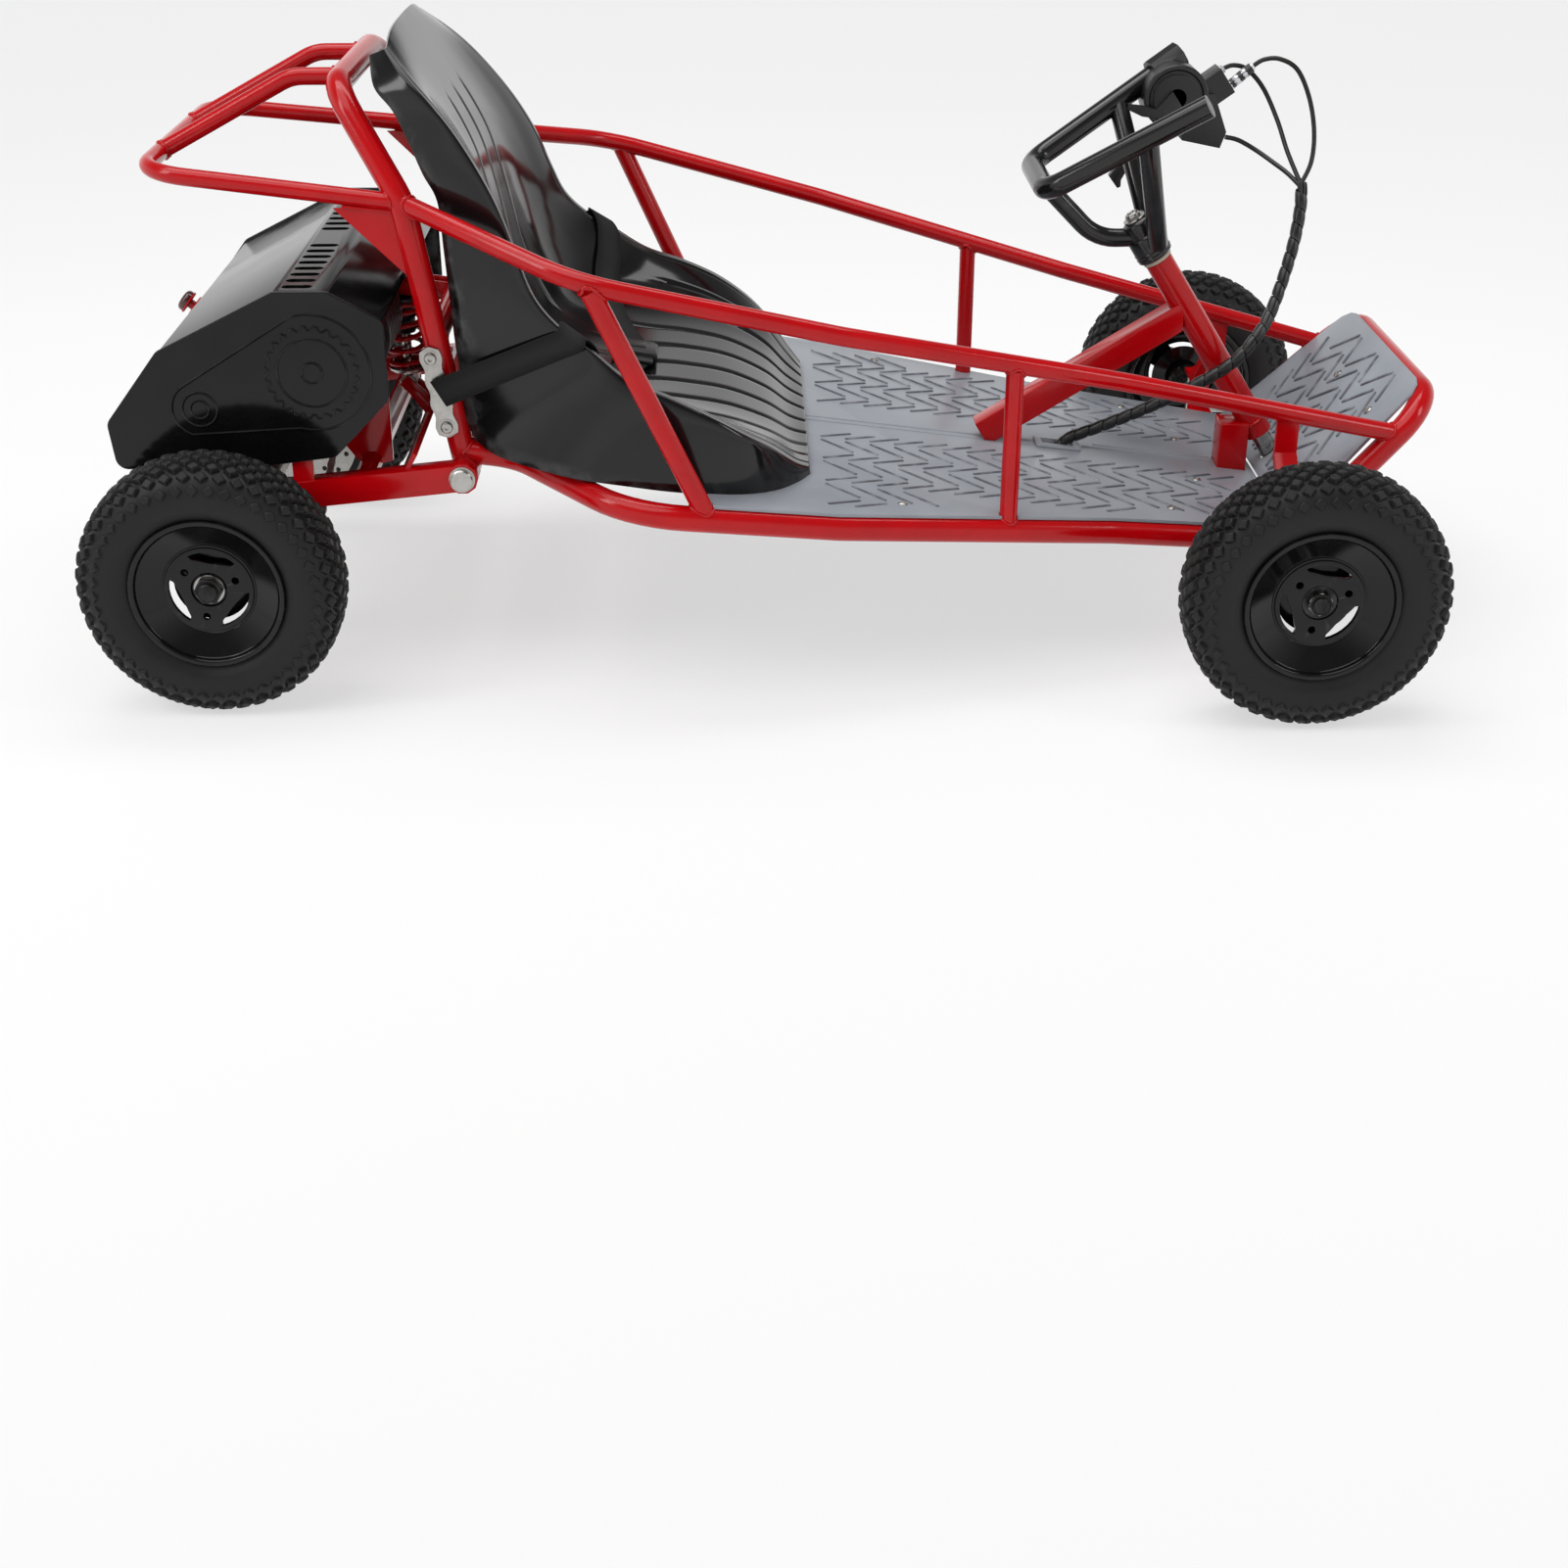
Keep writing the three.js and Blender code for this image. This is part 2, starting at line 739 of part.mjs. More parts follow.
// A slab that follows the sloping deck, from one height above its top face to another.
function floorSlab(high, low) {
  const geometry = new THREE.BoxGeometry(1, 1, 1);
  geometry.scale(noseX - pivotX, 2 * bayHalf, high - low);
  geometry.translate((noseX + pivotX) / 2, 0, (high + low) / 2);
  return solid(onDeck(geometry));
}

// Leans a flat piece along the sloping deck: height zero becomes the deck's top face.
function onDeck(geometry) {
  const slope = (deckTop(noseX) - deckTop(0)) / noseX;
  const lean = new THREE.Matrix4().set(1, 0, 0, 0, 0, 1, 0, 0, slope, 0, 1, deckTop(0), 0, 0, 0, 1);
  return geometry.applyMatrix4(lean);
}

function flatPlate(points, low, high) {
  const geometry = new THREE.ExtrudeGeometry(outline(points), { depth: high - low, bevelEnabled: false });
  geometry.translate(0, 0, low);
  return geometry;
}

function buildFloor() {
  const half = (x) => planHalf(x) + floorOverhang;
  const slope = Math.atan2(noseZ - sillFrontZ, noseX - kneeX);
  const legTop = (mainRadius + gap) / Math.cos(slope);
  const foldX = kneeX - (legTop - mainRadius) / Math.tan(slope);
  const left = [floorRearX, waistX, neckX, loopStartX, foldX].map((x) => [x, half(x)]);
  const right = left.map(([x, y]) => [x, -y]).reverse();
  const panel = solid(onDeck(flatPlate([...left, ...right], -plateThickness, 0)));
  const slot = block(slotX, 0, deckTop(slotX), slotLength, slotWidth, overrun);
  const boxHole = block(
    footBoxX, 0, deckTop(footBoxX), footBoxLength + 2 * gap, footBoxWidth + 2 * gap, overrun,
  );
  const notches = [uprightTool, mirrored(uprightTool), braceTool, mirrored(braceTool)];
  piece('floor_panel', cut(panel, slot, boxHole, loopTool, ...notches), grey);

  // The foot plate stands on the fold and lies on the legs of the front loop.
  const plateFootX = foldX + plateThickness;
  const plateFootZ = sillFrontZ + legTop + (plateFootX - kneeX) * Math.tan(slope);
  const legLength = (footPlateTopZ - plateFootZ) / Math.sin(slope);
  const topHalf = noseHalf - mainRadius + footPlateInset;
  const footHalf = kneeHalf - footPlateInset;
  const cornerAngles = [0, 1, 2, 3].map((i) => Math.PI / 2 * i / 3);
  const corner = cornerAngles.map((angle) => [
    legLength - footPlateCorner * (1 - Math.cos(angle)), topHalf - footPlateCorner * (1 - Math.sin(angle)),
  ]);
  const leftEdge = [[0, footHalf], ...corner.reverse()];
  const rightEdge = leftEdge.map(([x, y]) => [x, -y]).reverse();
  const geometry = flatPlate([...leftEdge, ...rightEdge], 0, plateThickness);
  geometry.rotateY(-slope);
  geometry.translate(plateFootX, 0, plateFootZ);
  const columnHole = axisBar(columnDiameter + 4 * weldDepth, -columnLength, 0);
  piece('foot_plate', cut(solid(geometry), columnHole, loopTool), grey);
}

const adjusterAt = (along) => at(
  adjusterX + along * Math.cos(adjusterLean), perchY, adjusterZ + along * Math.sin(adjusterLean),
);

// Steering column, handlebar and the levers on its left handle.
function buildSteering() {
  const shaft = axisBar(columnDiameter, -columnLength, clampHeight - ringHeight);
  const arm = new THREE.BoxGeometry(
    dropArmLength + dropArmWidth, dropArmWidth + 2 * studSpread, dropArmThickness,
  );
  arm.translate(dropArmLength / 2, 0, -columnLength + dropArmThickness / 2);
  arm.rotateY(-headLean);
  arm.translate(headTopX, 0, headTopZ);
  const studHole = (left) => straight(
    onAxis(-columnLength - overrun, dropArmLength, left), onAxis(overrun - columnLength, dropArmLength, left),
    boreOf(studDiameter), 8,
  );
  const column = cut(join(shaft, solid(arm)), studHole(studSpread), studHole(-studSpread));
  piece('steering_column', column, steel);

  const clampLow = ringHeight + gap;
  const clampHigh = clampLow + clampHeight;
  const clamp = axisBar(clampDiameter, clampLow, clampHigh);
  const rear = at(barRearX, barRearHalf, barRearZ);
  const tip = at(barTipX, barTipHalf, barTipZ);
  const loop = pipe([tip, rear, flip(rear), flip(tip)], barTube, barBend, mainSides);
  const strutTop = rear.clone().lerp(tip, strutShare);
  const strut = straight(at(strutFootX, strutFootHalf, strutFootZ), strutTop, strutTube);
  const knee = at(lowerKneeX, 0, lowerKneeZ);
  const lowerEnd = onAxis((clampLow + clampHigh) / 2);
  const lower = pipe([at(barRearX, 0, barRearZ), knee, lowerEnd], lowerTube, mainBend);
  const socket = axisBar(boreOf(columnDiameter), -overrun, clampHeight - ringHeight + gap);
  const boltLow = clampHigh - weldDepth;
  const bolt = turnedOnAxis(
    [
      [0, boltLow], [clampBoltDiameter / 2, boltLow], [clampBoltDiameter / 2, boltLow + clampBoltHeight / 2],
      [clampBoltDiameter / 4, boltLow + clampBoltHeight], [0, boltLow + clampBoltHeight],
    ],
    8,
  );
  piece('handlebar', cut(join(clamp, loop, strut, mirrored(strut), lower, bolt), socket), black);
  buildLevers(tip, rear);
}

// A lever in a plane of constant Y: a chain of places with a half width at each.
function leverArm(places, fromY, toY) {
  const left = [];
  const right = [];
  places.forEach(([x, z, half], i) => {
    const before = places[Math.max(i - 1, 0)];
    const after = places[Math.min(i + 1, places.length - 1)];
    const length = Math.hypot(after[0] - before[0], after[1] - before[1]);
    const normal = [-(after[1] - before[1]) / length, (after[0] - before[0]) / length];
    left.push([x + normal[0] * half, z + normal[1] * half]);
    right.push([x - normal[0] * half, z - normal[1] * half]);
  });
  return sidePlate([...left, ...right.reverse()], fromY, toY);
}

function buildLevers(tip, rear) {
  const barTool = tool([tip, rear], barTube, barBend, mainSides);
  const back = rear.clone().sub(tip).normalize();
  const collar = straight(
    tip.clone().addScaledVector(back, collarBack), tip.clone().addScaledVector(back, -collarAhead),
    collarDiameter, mainSides,
  );
  const drum = barY(housingX, housingZ, housingDiameter, housingFromY, housingToY, 16);
  const perch = block(perchX, perchY, perchZ, perchLength, perchWidth, perchHeight, -perchLean);
  const tail = sidePlate(
    [
      [housingX + housingDiameter / 4, housingZ], [perchX, housingZ],
      [tailX + tailWidth / 2, tailZ + tailWidth / 2],
      [tailX + tailWidth / 4, tailZ - tailWidth / 4], [tailX - tailWidth * 1.6, tailZ + tailWidth / 8],
    ].reverse(),
    housingToY - tailWidth, housingToY,
  );
  const adjuster = pipe([adjusterAt(0), adjusterAt(adjusterLength)], adjusterDiameter, adjusterDiameter, 8);
  const leverPin = barY(leverPinX, leverPinZ, leverPinDiameter, perchY, leverY + leverWidth, 8);
  piece('lever_housing', cut(join(drum, collar, perch, tail, adjuster, leverPin), barTool), satin);

  const lever = leverArm(
    [
      [leverPinX + leverThickness, leverPinZ + leverThickness, leverThickness / 2],
      [leverPinX - leverThickness, leverPinZ - leverThickness, leverThickness * 0.8],
      [leverKneeX + 2 * leverThickness, leverKneeZ + leverThickness, leverThickness / 2],
      [leverKneeX, leverKneeZ, leverThickness / 2], [leverTipX, leverTipZ, leverThickness * 0.7],
      [leverTipX + leverThickness / 2, leverTipZ - leverThickness, leverThickness * 0.2],
    ],
    leverY, leverY + leverWidth - weldDepth,
  );
  const pinHole = barY(leverPinX, leverPinZ, boreOf(leverPinDiameter), perchY, leverY + 2 * leverWidth, 8);
  piece('brake_lever', cut(lever, pinHole), satin);

  const triggerTo = housingFromY - gap;
  const dial = barY(housingX, housingZ, dialDiameter, triggerTo - dialThickness, triggerTo, 12);
  const paddle = leverArm(
    [
      [housingX, housingZ, triggerThickness], [triggerRootX, triggerRootZ, triggerThickness / 2],
      [(triggerRootX + triggerTipX) / 2, triggerRootZ + triggerThickness / 4, triggerThickness / 2],
      [triggerTipX, triggerTipZ, triggerThickness / 4],
    ],
    triggerTo - triggerWidth, triggerTo,
  );
  piece('throttle_trigger', join(dial, paddle), satin);
}

// Front axle brackets, spindles and tie rods, drawn for the left side.
function buildFrontAxle() {
  const barrelTop = axleHeight + spindleHeight / 2;
  const barrelFoot = axleHeight - spindleHeight / 2;
  const earTop = barrelTop + gap + earThickness;
  const earFoot = barrelFoot - gap - earThickness;
  const webOut = kingpinHalf - spindleBarrel / 2 - 3 * weldDepth;
  const webIn = webOut - strapThickness;
  const strapIn = planHalf(frontAxleX) - strapThickness / 2;
  const strapOut = strapIn + strapThickness;
  const railFoot = railZ(frontAxleX);
  const sillSide = planHalf(frontAxleX);
  const earEnd = kingpinHalf + earReach;
  const bendZ = (railFoot + earTop) / 2;
  const shape = [
    [strapIn, railFoot], [strapIn, bendZ], [webIn, earTop - strapThickness],
    [webIn, sillZ(frontAxleX) + strapThickness],
    [sillSide, sillZ(frontAxleX) + strapThickness / 2], [sillSide, sillZ(frontAxleX) - strapThickness],
    [webOut, earFoot], [earEnd, earFoot], [earEnd, earFoot + earThickness],
    [webOut, earFoot + earThickness],
    [webOut, earTop - earThickness], [earEnd, earTop - earThickness], [earEnd, earTop],
    [webOut - weldDepth, earTop],
    [strapOut, bendZ + strapThickness], [strapOut, railFoot],
  ];
  const plate = frontPlate(shape, frontAxleX - bracketWidth / 2, frontAxleX + bracketWidth / 2);
  const kingpin = straight(
    at(frontAxleX, kingpinHalf, earFoot - kingpinDiameter / 2),
    at(frontAxleX, kingpinHalf, earTop + kingpinDiameter / 2), kingpinDiameter,
  );
  const bracket = cut(join(plate, kingpin), railTool, loopTool, sillTool);

  const barrel = straight(
    at(frontAxleX, kingpinHalf, barrelFoot), at(frontAxleX, kingpinHalf, barrelTop), spindleBarrel, mainSides,
  );
  const kingBore = straight(
    at(frontAxleX, kingpinHalf, barrelFoot - overrun), at(frontAxleX, kingpinHalf, barrelTop + overrun),
    boreOf(kingpinDiameter),
  );
  const hubInner = frontWheelY - hubLength / 2 - discDepth / 2;
  const nutFrom = frontWheelY + rimWidth / 2 - discDepth - discThickness / 2;
  const stubProfile = [
    [0, kingpinHalf], [stubDiameter / 2 + stubStep, kingpinHalf],
    [stubDiameter / 2 + stubStep, hubInner - gap],
    [stubDiameter / 2, hubInner - gap], [stubDiameter / 2, nutFrom + gap],
    [stubDiameter / 2 + nutStep, nutFrom + gap], [stubDiameter / 2 + nutStep, nutFrom + nutHeight],
    [0, nutFrom + nutHeight],
  ];
  const stubGeometry = turned(stubProfile, mainSides);
  stubGeometry.translate(frontAxleX, 0, axleHeight);
  const armZ = axleHeight - steerArmDrop;
  const arm = block(
    frontAxleX + steerArmLength / 2, kingpinHalf, armZ, steerArmLength + rodEyeDiameter, rodEyeDiameter,
    steerArmThickness,
  );
  const eyeHole = straight(
    at(frontAxleX + steerArmLength, kingpinHalf, armZ - overrun),
    at(frontAxleX + steerArmLength, kingpinHalf, armZ + overrun),
    studDiameter + 5 * weldDepth, 8,
  );
  const spindle = cut(join(barrel, solid(stubGeometry), arm), kingBore, eyeHole);

  const innerEye = onAxis(-columnLength - gap - tieRodDiameter / 2, dropArmLength, studSpread);
  const rodZ = armZ - steerArmThickness / 2 - 2 * weldDepth - tieRodDiameter / 2;
  const outerEye = at(frontAxleX + steerArmLength, kingpinHalf, rodZ);
  const rod = straight(innerEye, outerEye, tieRodDiameter, 8);
  const innerStud = straight(
    innerEye.clone().addScaledVector(axisDirection, -tieRodDiameter / 2),
    innerEye.clone().addScaledVector(axisDirection, tieRodDiameter / 2 + gap + dropArmThickness),
    studDiameter, 8,
  );
  const outerStud = straight(
    outerEye.clone().add(at(0, 0, -tieRodDiameter / 2)),
    outerEye.clone().add(at(0, 0, tieRodDiameter / 2 + 2 * weldDepth + steerArmThickness)), studDiameter, 8,
  );
  const tieRod = join(rod, innerStud, outerStud);
  for (const [side, body] of [['left', (one) => one], ['right', mirrored]]) {
    piece(`axle_bracket_${side}`, body(bracket), red);
    piece(`spindle_${side}`, body(spindle), steel);
    piece(`tie_rod_${side}`, body(tieRod), steel);
  }
}

// One rim and one tyre about the Y axis at the origin, with the outer face towards +Y.
function rimSolid(bore) {
  const half = rimWidth / 2;
  const flange = beadRadius + flangeHeight;
  const shoulder = half - rimWall - tyreWidth / 7;
  const wellHalf = rimWidth / 5;
  const face = half - discDepth;
  const back = face - discThickness;
  const hubBack = -hubLength / 2 - discDepth / 2;
  const nutSeat = face - discThickness / 2;
  const profile = [
    [flange, half], [flange, half - rimWall], [beadRadius, half - rimWall], [beadRadius, shoulder],
    [rimWellRadius, wellHalf], [rimWellRadius, -wellHalf], [beadRadius, -shoulder],
    [beadRadius, rimWall - half], [flange, rimWall - half], [flange, -half], [beadRadius - rimWall, -half],
    [rimWellRadius - rimWall, -wellHalf], [rimWellRadius - rimWall, back], [hubRadius, back],
    [hubRadius, hubBack],
    [bore / 2, hubBack], [bore / 2, nutSeat], [hubRecessRadius, nutSeat], [hubRecessRadius, face],
    [discRadius, face], [rimWellRadius - rimWall, wellHalf], [beadRadius - rimWall, half], [flange, half],
  ].reverse();
  let rim = solid(turned(profile, rimSides));
  for (let i = 0; i < wheelBoltCount; i++) {
    const angle = 2 * Math.PI * i / wheelBoltCount + Math.PI / 2;
    const hole = straight(at(0, -overrun, 0), at(0, overrun, 0), wheelBoltHole, 6);
    rim = rim.subtract(hole.translate([
      wheelBoltCircle / 2 * Math.cos(angle), 0, wheelBoltCircle / 2 * Math.sin(angle),
    ]));
    const middle = angle + Math.PI / wheelBoltCount;
    const span = Math.PI / wheelBoltCount * 0.5;
    const inner = windowRadius - windowWidth / 2;
    const outer = windowRadius + windowWidth / 2;
    const shares = [-1, 0, 1];
    const arc = (radius) => shares.map((share) => [
      radius * Math.cos(middle + span * share), radius * Math.sin(middle + span * share),
    ]);
    const window = [...arc(outer), ...arc(inner).reverse()];
    rim = rim.subtract(sidePlate(window, back - overrun, face + overrun));
  }
  return rim;
}

function tyreSolid() {
  const beadHalf = rimWidth / 2 - rimWall - gap;
  const bead = (beadRadius + gap) / Math.cos(Math.PI / tyreSides);
  const flange = bead + flangeHeight;
  const tread = tyreRadius / Math.cos(Math.PI / tyreSides);
  const half = tyreWidth / 2;
  const height = tread - bead;
  const sideShares = [[1, 0.4], [0.93, 0.7], [0.72, 0.89], [0.28, 1]];
  const innerShares = [[0.2, 1], [0.72, 0.72], [0.6, 0]];
  const outer = [
    [bead, beadHalf], [flange, beadHalf],
    ...sideShares.map(([across, up]) => [bead + height * up, half * across]),
  ];
  const inner = innerShares.map(([across, up]) => [
    bead + (height - tyreWall) * up, Math.min(half * across, beadHalf - tyreWall / 2),
  ]);
  const other = (points) => points.map(([r, y]) => [r, -y]);
  const profile = [
    ...outer, ...other(outer).reverse(), ...other(inner), ...inner.reverse(), outer[0],
  ].reverse();
  return turned(profile, tyreSides, Math.PI / 2 + Math.PI / tyreSides);
}

function buildWheels() {
  const frontRim = rimSolid(boreOf(stubDiameter));
  const rearRim = rimSolid(boreOf(axleDiameter));
  const tyre = solid(tyreSolid());
  for (const [end, x, y, rim] of [
    ['front', frontAxleX, frontWheelY, frontRim], ['rear', rearAxleX, rearWheelY, rearRim],
  ]) {
    for (const [side, sign, body] of [['left', 1, (one) => one], ['right', -1, mirrored]]) {
      const wheel = new THREE.Group();
      wheel.position.set(x, sign * y, axleHeight);
      kart.add(wheel);
      piece(`rim_${end}_${side}`, body(rim), black, wheel);
      piece(`tyre_${end}_${side}`, tyre, rubber, wheel);
    }
  }
}

// Swing arm with its eyes, bearing carriers, cross tube, shock plate, motor plate and cover tabs.
function buildSwingArm() {
  const inner = armHalf - armBarWidth / 2;
  const outer = armHalf + armBarWidth / 2;
  const rise = armBarHeight / 2;
  const bar = sidePlate(
    [
      [pivotX, pivotZ + rise], [rearAxleX - rise, armRearZ + rise], [rearAxleX - rise, armRearZ - rise],
      [pivotX, pivotZ - rise],
    ],
    inner, outer,
  );
  const eye = barY(pivotX, pivotZ, armEyeDiameter, inner - weldDepth, outer + weldDepth, mainSides);
  const hanger = sidePlate(
    [
      [rearAxleX + carrierDiameter * 0.7, armRearZ], [rearAxleX - rise, armRearZ],
      [rearAxleX - carrierDiameter * 0.42, axleHeight], [rearAxleX + carrierDiameter * 0.42, axleHeight],
    ],
    armHalf - armBarWidth / 4, armHalf + armBarWidth / 4,
  );
  const boss = barY(rearAxleX, axleHeight, carrierDiameter, inner, outer, 16);
  const tab = (x) => sidePlate(
    [
      [x - tabLength / 2, armRearZ], [x + tabLength / 2, armRearZ], [x + tabLength / 2, tabTop],
      [x - tabLength / 2, tabTop],
    ],
    coverHalf - coverWall - gap - tabThickness, coverHalf - coverWall - gap,
  );
  let half = join(bar, eye, hanger, boss, tab(tabFrontX), tab(tabRearX + 2 * tabLength));
  half = cut(
    half,
    barY(pivotX, pivotZ, boreOf(pivotBolt), 0, 2 * armHalf),
    barY(rearAxleX, axleHeight, boreOf(axleDiameter), 0, 2 * armHalf, 16),
  );
  const crossBar = straight(at(armCrossX, -armHalf, armCrossZ), at(armCrossX, armHalf, armCrossZ), crossTube);
  const plate = block(armPlateX, 0, armPlateZ, armPlateThickness, 2 * armHalf, armPlateHeight, armPlateLean);
  const earRadius = shockEye / 2;
  const ear = (fromY) => sidePlate(
    [
      [armPlateX + armPlateThickness / 2, armPlateZ + armPlateHeight / 3],
      [shockX, shockFootZ + earRadius], [shockX - earRadius, shockFootZ],
      [shockX, shockFootZ - earRadius], [armPlateX, armPlateZ - armPlateHeight / 4],
    ],
    fromY, fromY + shockEarThickness,
  );
  const shockPin = barY(
    shockX, shockFootZ, shockBoltDiameter, -earGap / 2 - shockEarThickness, earGap / 2 + shockEarThickness, 8,
  );
  const motorPlate = sidePlate(
    [
      [motorX - motorDiameter * 0.45, motorZ + motorDiameter * 0.3], [motorX, motorZ + motorDiameter * 0.48],
      [motorX + motorDiameter * 0.45, motorZ + motorDiameter * 0.25], [motorX + motorDiameter * 0.45, motorZ],
      [armCrossX + crossTube, armCrossZ], [armCrossX - crossTube * 0.4, armCrossZ - crossTube / 3],
      [motorX - motorDiameter * 0.45, motorZ - motorDiameter * 0.45],
    ].reverse(),
    motorPlateY - motorPlateThickness / 2, motorPlateY + motorPlateThickness / 2,
  );
  const bossHole = barY(motorX, motorZ, boreOf(motorBossDiameter), -2 * armHalf, 0, 16);
  const arm = join(
    half, mirrored(half), crossBar, plate, ear(earGap / 2), ear(-earGap / 2 - shockEarThickness), shockPin,
    cut(motorPlate, bossHole), caliperBridge(),
  );
  piece('swing_arm', arm, red);

  const headFrom = outer + weldDepth + gap;
  const boltProfile = [
    [0, -headFrom - pivotHeadHeight], [pivotHead / 2, -headFrom - pivotHeadHeight],
    [pivotHead / 2, -headFrom],
    [pivotBolt / 2, -headFrom], [pivotBolt / 2, headFrom], [pivotHead / 2, headFrom],
    [pivotHead / 2, headFrom + pivotHeadHeight], [0, headFrom + pivotHeadHeight],
  ];
  const bolt = turned(boltProfile, 8);
  bolt.translate(pivotX, 0, pivotZ);
  piece('pivot_bolt', solid(bolt), steel);
}

// The arm's bar that carries the brake caliper, beside the disc.
function caliperBridge() {
  const y = discY + caliperWidth / 2 + gap;
  const top = armCrossZ + crossTube / 3;
  return sidePlate(
    [
      [armCrossX, top], [armCrossX, top - crossTube / 2],
      [caliperX() - caliperLength / 2, armRearZ - crossTube / 2],
      [caliperX() - caliperLength / 2, armRearZ + crossTube / 4],
    ],
    y, y + tabThickness,
  );
}

const caliperX = () => rearAxleX + brakeDiscDiameter / 2 - caliperHeight / 4;

function buildAxle() {
  const hubBack = hubLength / 2 + discDepth / 2;
  const spacerIn = armHalf + armBarWidth / 2 + gap;
  const spacerOut = rearWheelY - hubBack - gap;
  const nutFrom = rearWheelY + rimWidth / 2 - discDepth - discThickness / 2 + gap;
  const nutTo = nutFrom + nutHeight;
  const shaft = axleDiameter / 2;
  const spacer = axleSpacer / 2;
  const side = [
    [shaft, spacerIn], [spacer, spacerIn], [spacer, spacerOut], [shaft, spacerOut], [shaft, nutFrom],
    [spacer, nutFrom], [spacer, nutTo], [0, nutTo],
  ];
  const profile = [...side.map(([r, y]) => [r, -y]).reverse(), ...side];
  const geometry = turned(profile, mainSides);
  geometry.translate(rearAxleX, 0, axleHeight);
  piece('rear_axle', solid(geometry), steel);

  piece('axle_sprocket', sprocket(axleTeeth, rearAxleX, axleHeight, boreOf(axleDiameter)), steel);
  const rotor = sprocket(motorTeeth, motorX, motorZ, 0);
  const shaftLength = motorPlateThickness / 2 + motorBossLength;
  const motorShaft = barY(
    motorX, motorZ, pivotBolt, driveY - sprocketThickness,
    motorPlateY - motorPlateThickness / 2 - motorBossLength + shaftLength, mainSides,
  );
  piece('motor_sprocket', join(rotor, motorShaft), steel);

  const discBore = boreOf(axleDiameter) / 2;
  const discOuter = brakeDiscDiameter / 2;
  const low = discY - brakeDiscThickness / 2;
  const high = discY + brakeDiscThickness / 2;
  const carrier = [
    [discBore, low], [discOuter, low], [discOuter, high], [axleSpacer, high], [axleSpacer, high + nutHeight],
    [discBore, high + nutHeight], [discBore, low],
  ];
  const disc = turned(carrier, 28);
  disc.translate(rearAxleX, 0, axleHeight);
  piece('brake_disc', solid(disc), steel);
}

function pitchRadius(teeth) {
  return chainPitch / (2 * Math.sin(Math.PI / teeth));
}

// A toothed wheel in the drive's plane, with one straight-sided tooth for each link.
function sprocket(teeth, x, z, bore) {
  const points = [];
  const tip = pitchRadius(teeth) + toothDepth / 2;
  const root = pitchRadius(teeth) - toothDepth;
  const step = 2 * Math.PI / teeth;
  for (let i = 0; i < teeth; i++) {
    for (const [radius, share] of [[root, 0], [tip, 0.36], [tip, 0.64]]) {
      const angle = step * (i + share);
      points.push([x + radius * Math.cos(angle), z + radius * Math.sin(angle)]);
    }
  }
  const wheel = sidePlate(points, driveY - sprocketThickness / 2, driveY + sprocketThickness / 2);
  if (bore === 0) return wheel;
  const hub = barY(x, z, axleSpacer * 1.6, driveY - nutHeight, driveY + sprocketThickness / 2, 16);
  return cut(join(wheel, hub), barY(x, z, bore, driveY - overrun, driveY + overrun, 16));
}

// Outline of a belt-like loop round both sprockets at a distance from their pitch circles.
function chainOutline(offset) {
  const big = pitchRadius(axleTeeth) + offset;
  const small = pitchRadius(motorTeeth) + offset;
  const span = Math.hypot(motorX - rearAxleX, motorZ - axleHeight);
  const heading = Math.atan2(motorZ - axleHeight, motorX - rearAxleX);
  const wrap = Math.acos((big - small) / span);
  const points = [];
  const arc = (x, z, radius, from, to, steps) => {
    for (let i = 0; i <= steps; i++) {
      const angle = from + (to - from) * i / steps;
      points.push([x + radius * Math.cos(angle), z + radius * Math.sin(angle)]);
    }
  };
  arc(rearAxleX, axleHeight, big, heading + wrap, heading + 2 * Math.PI - wrap, 20);
  arc(motorX, motorZ, small, heading - wrap, heading + wrap, 8);
  return points;
}

function buildDrive() {
  const low = toothDepth / 2 + gap + weldDepth;
  const chain = sidePlate(
    chainOutline(low + chainHeight), driveY - chainWidth / 2, driveY + chainWidth / 2, [chainOutline(low)],
  );
  piece('drive_chain', chain, steel);

  const face = motorPlateY + motorPlateThickness / 2 + gap;
  const radius = motorDiameter / 2;
  const bossTo = motorPlateY - motorPlateThickness / 2 - motorBossLength / 2;
  const boreRadius = boreOf(pivotBolt) / 2;
  const motorProfile = [
    [boreRadius, bossTo], [motorBossDiameter / 2, bossTo], [motorBossDiameter / 2, face], [radius, face],
    [radius, face + motorLength], [radius * 0.5, face + motorLength],
    [radius * 0.5, face + motorLength + motorBossLength], [0, face + motorLength + motorBossLength],
    [0, face + motorLength / 4], [boreRadius, face + motorLength / 4],
    [boreRadius, bossTo],
  ];
  const motor = turned(motorProfile, 20);
  motor.translate(motorX, 0, motorZ);
  piece('drive_motor', solid(motor), satin);

  const caliper = block(
    caliperX(), discY, axleHeight + brakeDiscDiameter * 0.28, caliperHeight, caliperWidth, caliperLength,
  );
  const slot = barY(
    rearAxleX, axleHeight, brakeDiscDiameter + 2 * padGap, discY - brakeDiscThickness / 2 - padGap,
    discY + brakeDiscThickness / 2 + padGap, 28,
  );
  piece('brake_caliper', cut(caliper, slot), satin);
}

